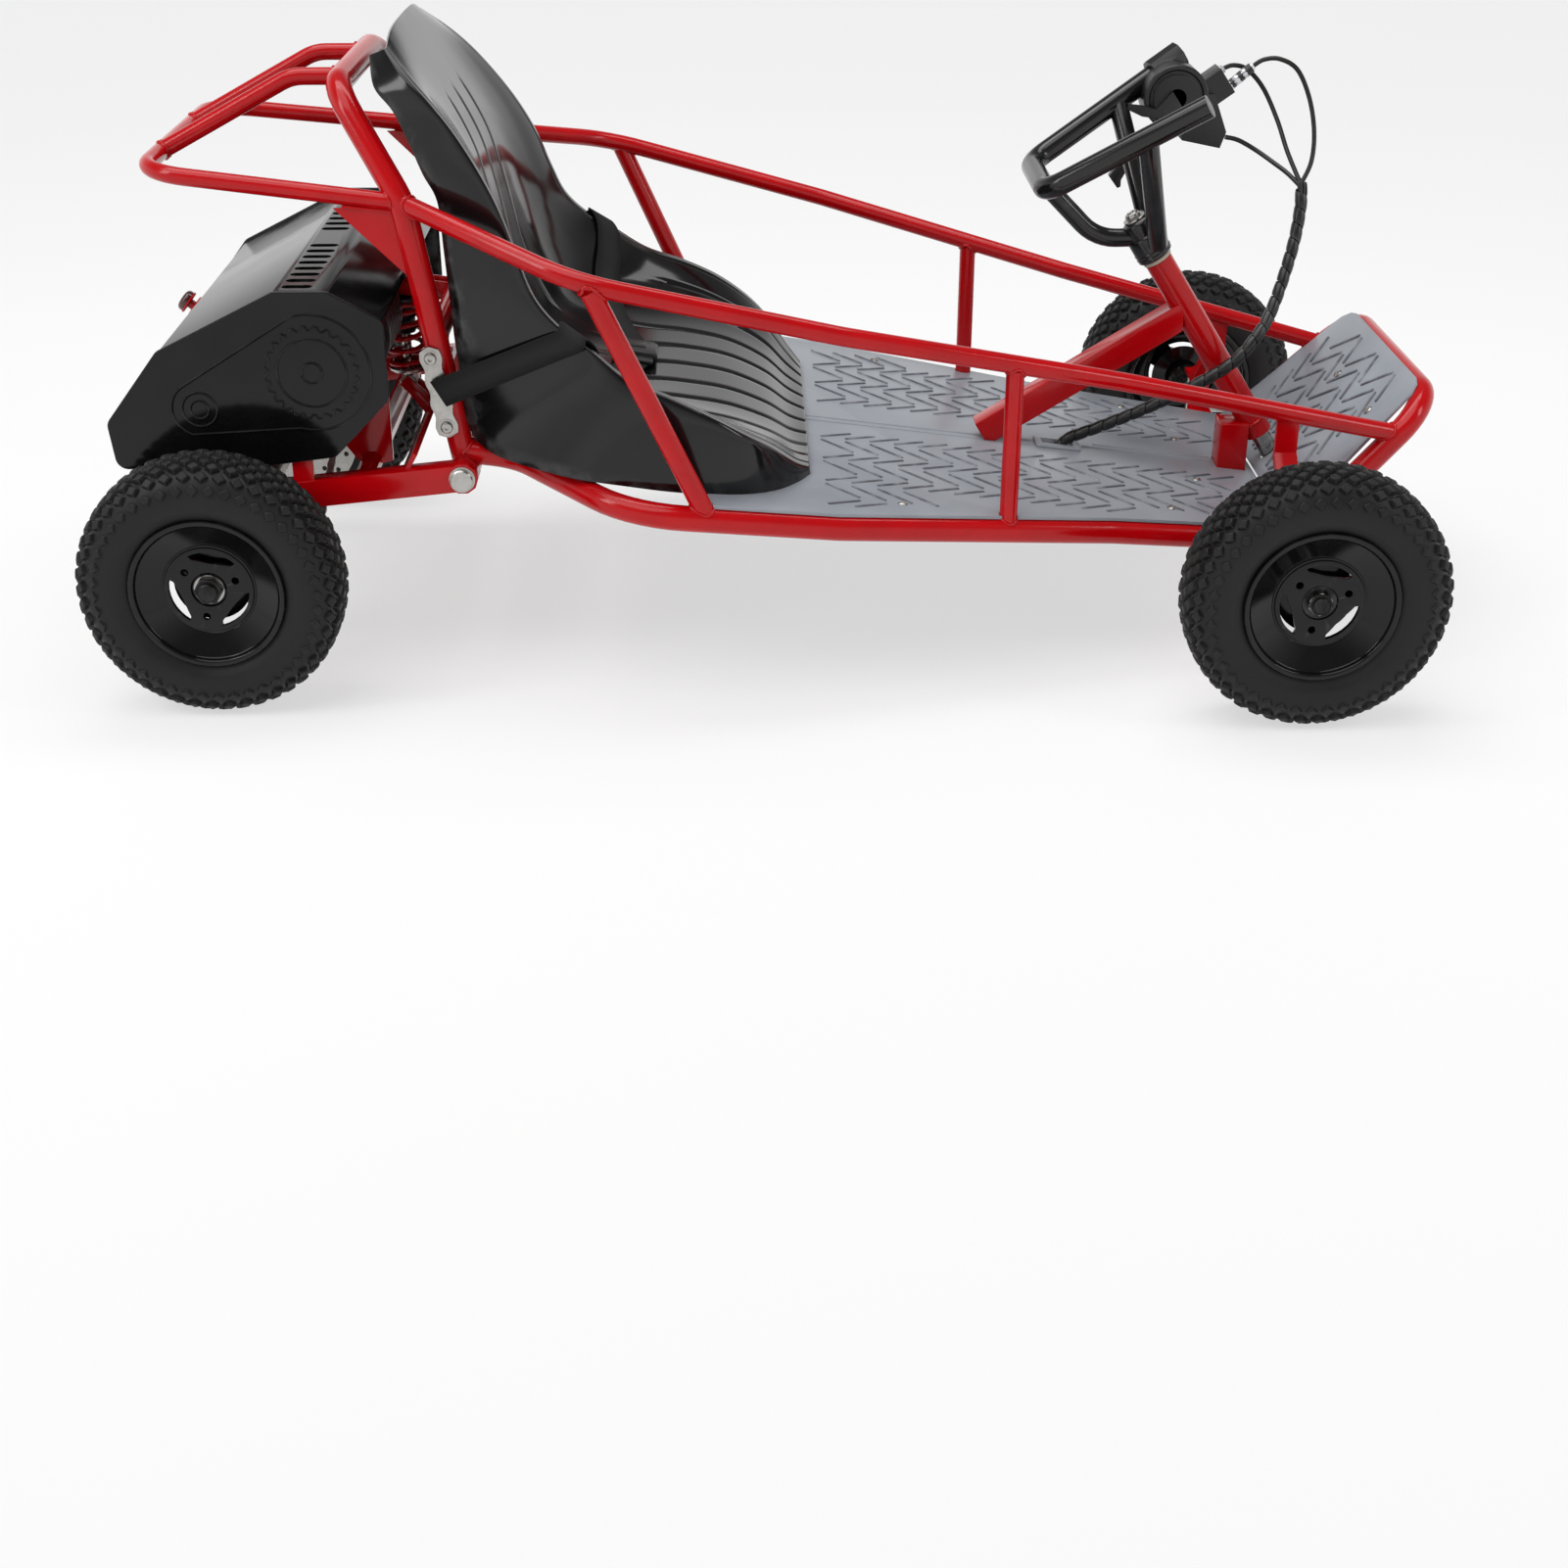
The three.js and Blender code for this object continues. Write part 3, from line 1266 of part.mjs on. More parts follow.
// Rear cover: a folded skin between two side plates, open below and in front.
function offsetOutline(points, distances) {
  const count = points.length;
  const lines = points.map(([x, z], i) => {
    const [nx, nz] = points[(i + 1) % count];
    const length = Math.hypot(nx - x, nz - z);
    const side = [(nz - z) / length, -(nx - x) / length];
    return { x: x - side[0] * distances[i], z: z - side[1] * distances[i], dx: nx - x, dz: nz - z };
  });
  return lines.map((line, i) => {
    const before = lines[(i + count - 1) % count];
    const cross = before.dx * line.dz - before.dz * line.dx;
    const share = ((line.x - before.x) * line.dz - (line.z - before.z) * line.dx) / cross;
    return [before.x + before.dx * share, before.z + before.dz * share];
  });
}

function buildCover() {
  const side = [
    [coverFootX, coverFootZ], [coverHemX, coverHemZ], [coverChinX, coverChinZ], [coverNoseX, coverNoseFootZ],
    [coverNoseX, coverNoseZ], [coverBrowX, coverTopZ], [coverTopX, coverTopZ],
    [coverShoulderX, coverShoulderZ],
    [coverBackX, coverBackZ],
  ];
  const shares = [-1, -1, -1, -1, 0, 0, 0, 0, 0];
  const inner = offsetOutline(side, shares.map((share) => (share < 0 ? share * overrun / 2 : coverWall)));
  const shell = sidePlate(side, -coverHalf, coverHalf);
  const room = sidePlate(inner, coverWall - coverHalf, coverHalf - coverWall);
  let cover = cut(shell, room);
  for (let i = 0; i < ventCount; i++) {
    for (const sign of [-1, 1]) {
      const y = sign * (ventFirstY + ventPitch * i);
      cover = cover.subtract(block(ventX, y, coverTopZ, ventLength, ventWidth, overrun));
    }
  }
  piece('rear_cover', cover, black);

  // Small lamp on an arm that stands off the sloping back.
  const slope = Math.atan2(coverShoulderX - coverBackX, coverShoulderZ - coverBackZ);
  const seat = [
    (coverBackX + coverShoulderX) / 2, (coverBackZ + coverShoulderZ) / 2,
  ];
  const out = [-Math.cos(slope), Math.sin(slope)];
  const from = at(seat[0] + out[0] * gap, lampY, seat[1] + out[1] * gap);
  const knee = at(seat[0] + out[0] * lampDepth, lampY, seat[1] + out[1] * lampDepth);
  const arm = straight(from, knee, lampArm * 2, 8);
  const onward = (start, length) => start.clone().add(at(out[0] * length, 0, out[1] * length));
  const foot = straight(from, onward(from, lampArm / 2), lampDiameter, 12);
  const face = straight(knee, onward(knee, lampDepth), lampDiameter, 12);
  piece('rear_lamp', join(arm, foot, face), lens);
}

// Spring and damper between the upper cross tube and the swing arm.
function turnedZ(profile, sides, x) {
  const geometry = turned(profile, sides);
  geometry.rotateX(Math.PI / 2);
  geometry.translate(x, 0, 0);
  return solid(geometry);
}

function buildShock() {
  const eyeHalf = earGap / 2 - gap;
  const bore = boreOf(shockBoltDiameter);
  const springTop = shockTopZ - shockEye / 2 - 2 * springSeat;
  const springFoot = shockFootZ + shockEye / 2 + 2 * springSeat;
  const seatRadius = springDiameter / 2;
  const boreZ = damperRod / 2 + gap;
  const bodyFoot = (springTop + springFoot) / 2;
  const body = turnedZ(
    [
      [0, shockTopZ - shockEye / 3], [damperRod / 2, shockTopZ - shockEye / 3],
      [damperRod / 2, springTop + springSeat], [seatRadius, springTop + springSeat],
      [seatRadius, springTop], [damperDiameter / 2, springTop],
      [damperDiameter / 2, bodyFoot], [boreZ, bodyFoot], [boreZ, springTop - springSeat],
      [0, springTop - springSeat],
    ].reverse(),
    mainSides, shockX,
  );
  const upperEye = barY(shockX, shockTopZ, shockEye, -eyeHalf, eyeHalf, mainSides);
  const hole = (z) => barY(shockX, z, bore, -overrun, overrun, 8);
  piece('shock_body', cut(join(body, upperEye), hole(shockTopZ)), satin);

  const rodTop = springTop - 3 * springSeat;
  const rod = turnedZ(
    [
      [0, rodTop], [damperRod / 2, rodTop], [damperRod / 2, springFoot], [seatRadius, springFoot],
      [seatRadius, springFoot - springSeat], [damperRod / 2, springFoot - springSeat],
      [damperRod / 2, shockFootZ + shockEye / 3], [0, shockFootZ + shockEye / 3],
    ].reverse(),
    mainSides, shockX,
  );
  const lowerEye = barY(shockX, shockFootZ, shockEye, -eyeHalf, eyeHalf, mainSides);
  piece('shock_rod', cut(join(rod, lowerEye), hole(shockFootZ)), steel);
  piece('shock_spring', spring(springFoot + gap, springTop - gap), red);
}

// An open coil of round wire about the damper's upright axis.
function spring(low, high) {
  const steps = springTurns * 8;
  const radius = springDiameter / 2 - springWire / 2;
  const stations = [];
  for (let i = 0; i <= steps; i++) {
    const angle = 2 * Math.PI * i / 8;
    const z = low + springWire / 2 + (high - low - springWire) * i / steps;
    stations.push(at(shockX + radius * Math.cos(angle), radius * Math.sin(angle), z));
  }
  const first = stations[0].clone().add(stations[0].clone().sub(stations[1]).setZ(0).setLength(springWire));
  const last = stations[steps].clone().add(
    stations[steps].clone().sub(stations[steps - 1]).setZ(0).setLength(springWire),
  );
  const path = new StationPath([first, ...stations, last]);
  const shape = ringShape(springWire / 2, 5);
  const pitch = (high - low - springWire) / springTurns;
  console.log(`shock spring: least gap between turns ${(pitch - springWire).toFixed(2)} mm`);
  return solid(new THREE.ExtrudeGeometry(shape, {
    extrudePath: path, steps: steps + 2, bevelEnabled: false,
  }));
}

// Seat shell. Each row holds shares of the seat's rise, its half width and the depth of its side walls.
function seatRows() {
  const length = waistX - pivotX;
  const shares = [
    // crest x, crest z, half width, wall foot x, wall foot z, wall foot width, middle x, middle z
    [-0.151, 0.964, 0.686, -0.196, 0.945, 0.64, -0.151, 1.0],
    [-0.09, 0.906, 0.843, -0.181, 0.878, 0.773, -0.108, 0.94],
    [-0.03, 0.847, 0.919, -0.133, 0.825, 0.843, -0.057, 0.856],
    [0.03, 0.776, 0.971, -0.096, 0.753, 0.884, -0.003, 0.768],
    [0.09, 0.69, 1.041, -0.063, 0.676, 0.913, 0.039, 0.68],
    [0.139, 0.6, 1.099, -0.03, 0.612, 0.936, 0.066, 0.587],
    [0.178, 0.5, 1.151, -0.021, 0.499, 0.959, 0.09, 0.482],
    [0.214, 0.418, 1.203, -0.012, 0.366, 0.983, 0.114, 0.375],
    [0.271, 0.359, 1.256, 0.0, 0.203, 1.0, 0.151, 0.27],
    [0.355, 0.31, 1.302, 0.036, 0.0, 1.017, 0.211, 0.171],
    [0.452, 0.252, 1.372, 0.247, 0.0, 1.378, 0.307, 0.126],
    [0.563, 0.221, 1.413, 0.473, 0.0, 1.453, 0.443, 0.111],
    [0.669, 0.185, 1.43, 0.623, 0.0, 1.448, 0.578, 0.111],
    [0.759, 0.143, 1.384, 0.744, 0.0, 1.395, 0.705, 0.102],
    [0.825, 0.103, 1.273, 0.834, 0.0, 1.279, 0.813, 0.072],
    [0.886, 0.05, 1.11, 0.895, 0.0, 1.116, 0.88, 0.037],
    [0.928, 0.02, 0.965, 0.931, 0.0, 0.965, 0.928, 0.022],
  ];
  return shares.map((row) => {
    const x = (share) => pivotX + length * share;
    const z = (share, place) => {
      const foot = deckTop(place) - weldDepth;
      return foot + (seatTopZ - foot) * share;
    };
    return {
      crest: [x(row[0]), z(row[1], x(row[0]))], half: seatHalf * row[2], footHalf: seatHalf * row[5],
      foot: [x(row[3]), z(row[4], x(row[3]))], middle: [x(row[6]), z(row[7], x(row[6]))],
    };
  });
}

// Points across one row, from the foot of the right wall over both bolsters to the left one.
function seatRowPoints(row) {
  const across = [0, 0.3, 0.56, 0.75, 0.88, 0.96];
  const bolster = [0, 0.02, 0.14, 0.46, 0.85, 1.0];
  const right = across.map((share, i) => at(
    row.middle[0] + (row.crest[0] - row.middle[0]) * bolster[i], row.half * share,
    row.middle[1] + (row.crest[1] - row.middle[1]) * bolster[i],
  ));
  const lipShare = 0.12;
  const lip = at(
    row.crest[0] + (row.foot[0] - row.crest[0]) * lipShare, row.half + (row.footHalf - row.half) * lipShare,
    row.crest[1] + (row.foot[1] - row.crest[1]) * lipShare,
  );
  const wall = at(row.foot[0], row.footHalf, row.foot[1]);
  const half = [...right, lip, wall];
  return [...half.slice(1).map(flip).reverse(), ...half];
}

function shellSolid(grid, thickness) {
  const rows = grid.length;
  const columns = grid[0].length;
  const normals = grid.map((row, i) => row.map((_, j) => {
    const along = grid[Math.min(i + 1, rows - 1)][j].clone().sub(grid[Math.max(i - 1, 0)][j]);
    const over = row[Math.min(j + 1, columns - 1)].clone().sub(row[Math.max(j - 1, 0)]);
    return along.cross(over).normalize();
  }));
  const positions = [];
  grid.forEach((row) => row.forEach((p) => positions.push(p.x, p.y, p.z)));
  grid.forEach((row, i) => row.forEach((p, j) => {
    const q = p.clone().addScaledVector(normals[i][j], -thickness);
    positions.push(q.x, q.y, q.z);
  }));
  const back = rows * columns;
  const index = [];
  const quad = (a, b, c, d) => index.push(a, b, c, a, c, d);
  for (let i = 0; i < rows - 1; i++) {
    for (let j = 0; j < columns - 1; j++) {
      const a = i * columns + j;
      quad(a, a + columns, a + columns + 1, a + 1);
      quad(back + a, back + a + 1, back + a + columns + 1, back + a + columns);
    }
  }
  for (let j = 0; j < columns - 1; j++) {
    const end = (rows - 1) * columns + j;
    quad(j, j + 1, back + j + 1, back + j);
    quad(end + 1, end, back + end, back + end + 1);
  }
  for (let i = 0; i < rows - 1; i++) {
    const a = i * columns;
    const b = a + columns - 1;
    quad(a + columns, a, back + a, back + a + columns);
    quad(b, b + columns, back + b + columns, back + b);
  }
  const geometry = new THREE.BufferGeometry();
  geometry.setAttribute('position', new THREE.BufferAttribute(new Float32Array(positions), 3));
  geometry.setIndex(index);
  return solid(geometry);
}

// A place over the seat's surface: rows and columns may fall between those of the grid.
function overSeat(grid, row, column, lift) {
  const i = Math.min(Math.floor(row), grid.length - 2);
  const j = Math.min(Math.floor(column), grid[0].length - 2);
  const near = grid[i][j].clone().lerp(grid[i][j + 1], column - j);
  const far = grid[i + 1][j].clone().lerp(grid[i + 1][j + 1], column - j);
  const along = far.clone().sub(near);
  const over = grid[i][j + 1].clone().sub(grid[i][j]);
  return near.lerp(far, row - i).addScaledVector(along.cross(over).normalize(), lift);
}

function buildSeat() {
  const grid = seatRows().map(seatRowPoints);
  piece('seat_shell', cut(shellSolid(grid, seatWall), floorSlab(gap, -overrun)), black);

  // Each half of the lap belt runs from its bracket over the bolster into the pan.
  const middle = (grid[0].length - 1) / 2;
  const outer = at(-(beltWidth / 2) * 0.5, 0, (beltWidth / 2) * 0.87);
  const lift = beltLift + beltThickness;
  const bracket = at(
    (beltPlateTopX + beltPlateFootX) / 2, -(beltPlateY + beltPlateThickness + beltThickness + beltLift),
    (beltPlateTopZ + beltPlateFootZ) / 2,
  );
  const edge = (start, row, endRow) => {
    const outside = overSeat(grid, row, 1.3, lift + beltThickness);
    const places = [0, 0.45, 0.85, 1].map((share) => start.clone().lerp(outside, share));
    places.push(overSeat(grid, row, 2, 0).add(at(0, -beltThickness, lift + beltLift)));
    for (const share of [0.06, 0.16, 0.3, 0.5, 0.75, 1]) {
      places.push(overSeat(grid, row + (endRow - row) * share, 2 + (beltEndColumnShare - 2) * share, lift));
    }
    return places;
  };
  const rear = edge(bracket.clone().add(outer), beltRearRowShare, beltEndRowShare - beltEndRowsShare);
  const front = edge(bracket.clone().sub(outer), beltFrontRowShare, beltEndRowShare + beltEndRowsShare);
  const ribbon = rear.map((place, i) => [front[i], front[i].clone().lerp(place, 0.5), place]);
  const strap = shellSolid(ribbon, beltThickness);
  piece('belt_right', strap, cloth);

  const buckleAt = overSeat(grid, beltEndRowShare, middle, beltLift);
  const strapEnd = -rear[rear.length - 1].y;
  const buckle = block(
    buckleAt.x, 1.5 * weldDepth, buckleAt.z + buckleThickness / 2 + weldDepth, buckleLength, 2 * strapEnd,
    buckleThickness, buckleLean,
  );
  piece('belt_left', join(mirrored(strap), buckle), cloth);

  // Steel brackets on the hoop's legs hold the belt's ends.
  const down = Math.atan2(beltPlateTopX - beltPlateFootX, beltPlateTopZ - beltPlateFootZ);
  const length = Math.hypot(beltPlateTopX - beltPlateFootX, beltPlateTopZ - beltPlateFootZ) + beltPlateWidth;
  const plate = block(
    (beltPlateTopX + beltPlateFootX) / 2, -(beltPlateY + beltPlateThickness / 2),
    (beltPlateTopZ + beltPlateFootZ) / 2,
    beltPlateWidth, beltPlateThickness, length, down,
  );
  const bolt = (x, z) => barY(
    x, z, beltBoltDiameter, -(beltPlateY + beltPlateThickness + beltBoltHeight), -beltPlateY, 8,
  );
  const held = join(plate, bolt(beltPlateTopX, beltPlateTopZ), bolt(beltPlateFootX, beltPlateFootZ));
  piece('belt_bracket_right', held, steel);
  piece('belt_bracket_left', mirrored(held), steel);
}

function buildBattery() {
  const tubeTop = crossTube / 2 - (mainRadius + plateThickness);
  const from = seatCrossRearX + (seatCrossFrontX - seatCrossRearX - batteryLength) / 2;
  const box = flatPlate(
    [
      [from, -batteryHalf], [from + batteryLength, -batteryHalf], [from + batteryLength, batteryHalf],
      [from, batteryHalf],
    ],
    tubeTop - batteryDepth, tubeTop + batteryRise,
  );
  const reach = crossTube / 2;
  const low = seatCrossRearX - reach;
  const high = floorRearX - gap;
  const base = flatPlate(
    [[low, -seatBaseHalf], [high, -seatBaseHalf], [high, seatBaseHalf], [low, seatBaseHalf]], tubeTop, 0,
  );
  piece('battery_box', cut(
    join(solid(onDeck(box)), solid(onDeck(base))), hoopTool, pivotTool, sillTool, mirrored(sillTool),
  ), satin);
}

// Three control cables run from the levers into one spiral wrap, which ends in the floor's slot.
function buildCables() {
  const wrap = [
    [517, 46, 386], [517, 38, 364], [509, 22, 327], [489, -6, 278], [470, -24, 253], [448, -31, 232],
    [409, -33, 209], [369, -24, 186], [330, -9, 164], [302, 0, 149], [291, 0, 132],
  ];
  const brake = [
    [473.6, 106, 481.2], [484, 105, 488], [499, 102, 489], [515, 95, 480], [526, 83, 456], [530, 68, 428],
    [527, 55, 403], [517, 46, 384],
  ];
  const switchLead = [
    [447, 114, 478], [458, 117, 481], [472, 117, 477], [487, 108, 461], [499, 90, 435], [507, 69, 409],
    [517, 46, 384],
  ];
  const throttle = [
    [452, 97, 418], [465, 97, 415], [481, 91, 407], [496, 77, 398], [507, 62, 391], [517, 46, 382],
  ];
  const route = (points) => points.map(([x, y, z]) => at(x, y, z));
  const cable = (points) => pipe(route(points), cableDiameter, wrapDiameter, 8);
  const loom = join(
    pipe(route(wrap), wrapDiameter, wrapDiameter * 2, 8), cable(brake), cable(switchLead), cable(throttle),
  );
  // The upper stretch turns with the levers and the lower one stays with the frame.
  piece('control_cables', cut(loom, axisBar(loomReach, loomSplit - gap / 2, loomReach)), rubber);
  piece('lever_cables', cut(loom, axisBar(loomReach, -loomReach, loomSplit + gap / 2)), rubber);
}

buildFrame();
buildHead();
buildFloor();
buildSteering();
buildFrontAxle();
buildWheels();
buildSwingArm();
buildAxle();
buildDrive();
buildCover();
buildShock();
buildSeat();
buildBattery();
buildCables();
export default kart;
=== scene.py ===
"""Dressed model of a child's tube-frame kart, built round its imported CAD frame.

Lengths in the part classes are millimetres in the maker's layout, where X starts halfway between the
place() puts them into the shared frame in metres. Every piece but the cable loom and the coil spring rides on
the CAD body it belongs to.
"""

from __future__ import annotations

import logging
import math
from dataclasses import dataclass, field
from enum import Enum
from typing import Callable, Iterable, Optional, Sequence

import bpy
from mathutils import Matrix, Vector


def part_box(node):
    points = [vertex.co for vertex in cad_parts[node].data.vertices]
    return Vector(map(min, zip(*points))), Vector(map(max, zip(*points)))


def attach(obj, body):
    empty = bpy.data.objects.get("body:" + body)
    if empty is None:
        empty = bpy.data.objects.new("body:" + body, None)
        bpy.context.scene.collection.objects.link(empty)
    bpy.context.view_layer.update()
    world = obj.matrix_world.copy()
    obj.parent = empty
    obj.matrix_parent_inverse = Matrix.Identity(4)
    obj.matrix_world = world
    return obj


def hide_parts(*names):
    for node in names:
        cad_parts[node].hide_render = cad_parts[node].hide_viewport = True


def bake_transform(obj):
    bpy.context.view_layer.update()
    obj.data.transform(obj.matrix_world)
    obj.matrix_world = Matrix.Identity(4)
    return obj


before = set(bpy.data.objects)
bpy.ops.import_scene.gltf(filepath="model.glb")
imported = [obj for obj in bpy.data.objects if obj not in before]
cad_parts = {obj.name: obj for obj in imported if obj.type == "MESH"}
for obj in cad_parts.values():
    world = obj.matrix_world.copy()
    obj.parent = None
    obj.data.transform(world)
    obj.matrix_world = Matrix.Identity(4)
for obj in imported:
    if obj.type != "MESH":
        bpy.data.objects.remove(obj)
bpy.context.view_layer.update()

log = logging.getLogger("kart")
logging.basicConfig(level=logging.INFO, format="%(name)s: %(message)s")

Point = tuple[float, float, float]
Object = bpy.types.Object
ORIGIN_SHIFT = -15.35
MM = 0.001


class Slot(Enum):
    """Material slots of the record that the finishes belong to."""

    RED = "red_paint"
    DECK = "deck_paint"
    BLACK = "black_paint"
    SEAT = "seat_plastic"
    TYRE = "tyre_rubber"
    STEEL = "plated_steel"
    DARK = "dark_metal"
    SATIN = "satin_plastic"
    WEB = "webbing"
    CABLE = "cable_rubber"
    CREAM = "cream_plastic"
    LAMP = "lamp_plastic"


class Texture(Enum):
    """Fine relief that a finish carries."""

    PEEL = "peel"
    GRAIN = "grain"
    BRUSHED = "brushed"
    WEAVE = "weave"


class Side(Enum):
    """The two sides of the kart, as the sign of Y."""

    LEFT = 1
    RIGHT = -1

    @property
    def word(self) -> str:
        """Name used in node names."""
        return self.name.lower()


# Geometry helpers.


def place(x: float, y: float, z: float) -> Vector:
    """Returns a point of the maker's layout in the shared frame, in metres."""
    return Vector((x + ORIGIN_SHIFT, y, z)) * MM


def spot(point: Sequence[float]) -> Vector:
    """Returns place() of a point given as one sequence."""
    return place(*point)


def flip(points: Iterable[Point]) -> list[Point]:
    """Returns the points mirrored to the kart's other side."""
    return [(x, -y, z) for x, y, z in points]


def sided(points: Iterable[Point], side: Side) -> list[Point]:
    """Returns left-hand points for the side asked for."""
    return list(points) if side is Side.LEFT else flip(points)


def rounded(points: Sequence[Point], radius: float, step: float = 9.0) -> list[Vector]:
    """Rounds the corners of a route with arcs.

    Args:
        points: Corners of the route in millimetres.
        radius: Bend radius in millimetres.
        step: Largest turn between two stations, in degrees.

    Returns:
        Stations of the rounded route in millimetres.
    """
    corners = [Vector(p) for p in points]
    route = [corners[0]]
    for before, corner, after in zip(corners, corners[1:], corners[2:]):
        back, ahead = corner - before, after - corner
        room = 0.48 * min(back.length, ahead.length)
        back.normalize()
        ahead.normalize()
        turn = back.angle(ahead)
        if turn < math.radians(1.5) or radius <= 0:
            route.append(corner)
            continue
        reach = min(radius * math.tan(turn / 2), room)
        bend = reach / math.tan(turn / 2)
        over = (ahead - back * ahead.dot(back)).normalized()
        start = corner - back * reach
        steps = max(2, math.ceil(math.degrees(turn) / step))
        for k in range(steps + 1):
            angle = turn * k / steps
            route.append(start + back * (bend * math.sin(angle)) + over * (bend * (1 - math.cos(angle))))
    route.append(corners[-1])
    return route


def on_span(points: Sequence[Vector], i: int, t: float) -> Vector:
    """Returns the place at share t of the span after point i, on a Catmull-Rom line.

    Args:
        points: Points that the line goes through.
        i: Number of the span.
        t: Share of the span, from 0 to 1.

    Returns:
        The place on the line.
    """
    last = len(points) - 1
    a, b = points[max(i - 1, 0)], points[i]
    c, d = points[i + 1], points[min(i + 2, last)]
    square = (2 * a - 5 * b + 4 * c - d) * t * t
    cube = (3 * b - a - 3 * c + d) * t ** 3
    return 0.5 * ((2 * b) + (c - a) * t + square + cube)


def smooth_line(points: Sequence[Vector], steps: int) -> list[Vector]:
    """Returns a Catmull-Rom line through the points with the given steps in each span.

    Args:
        points: Points that the line goes through.
        steps: Steps in each span.

    Returns:
        Stations along the line.
    """
    last = len(points) - 1
    line = [on_span(points, i, k / steps) for i in range(last) for k in range(steps)]
    line.append(points[last].copy())
    return line


def catmull(points: Sequence[Vector], share: float) -> Vector:
    """Returns the place at a fractional index of a Catmull-Rom line.

    Args:
        points: Points that the line goes through.
        share: Number of a point, or a place between two.

    Returns:
        The place on the line.
    """
    i = min(int(share), len(points) - 2)
    return on_span(points, i, share - i)


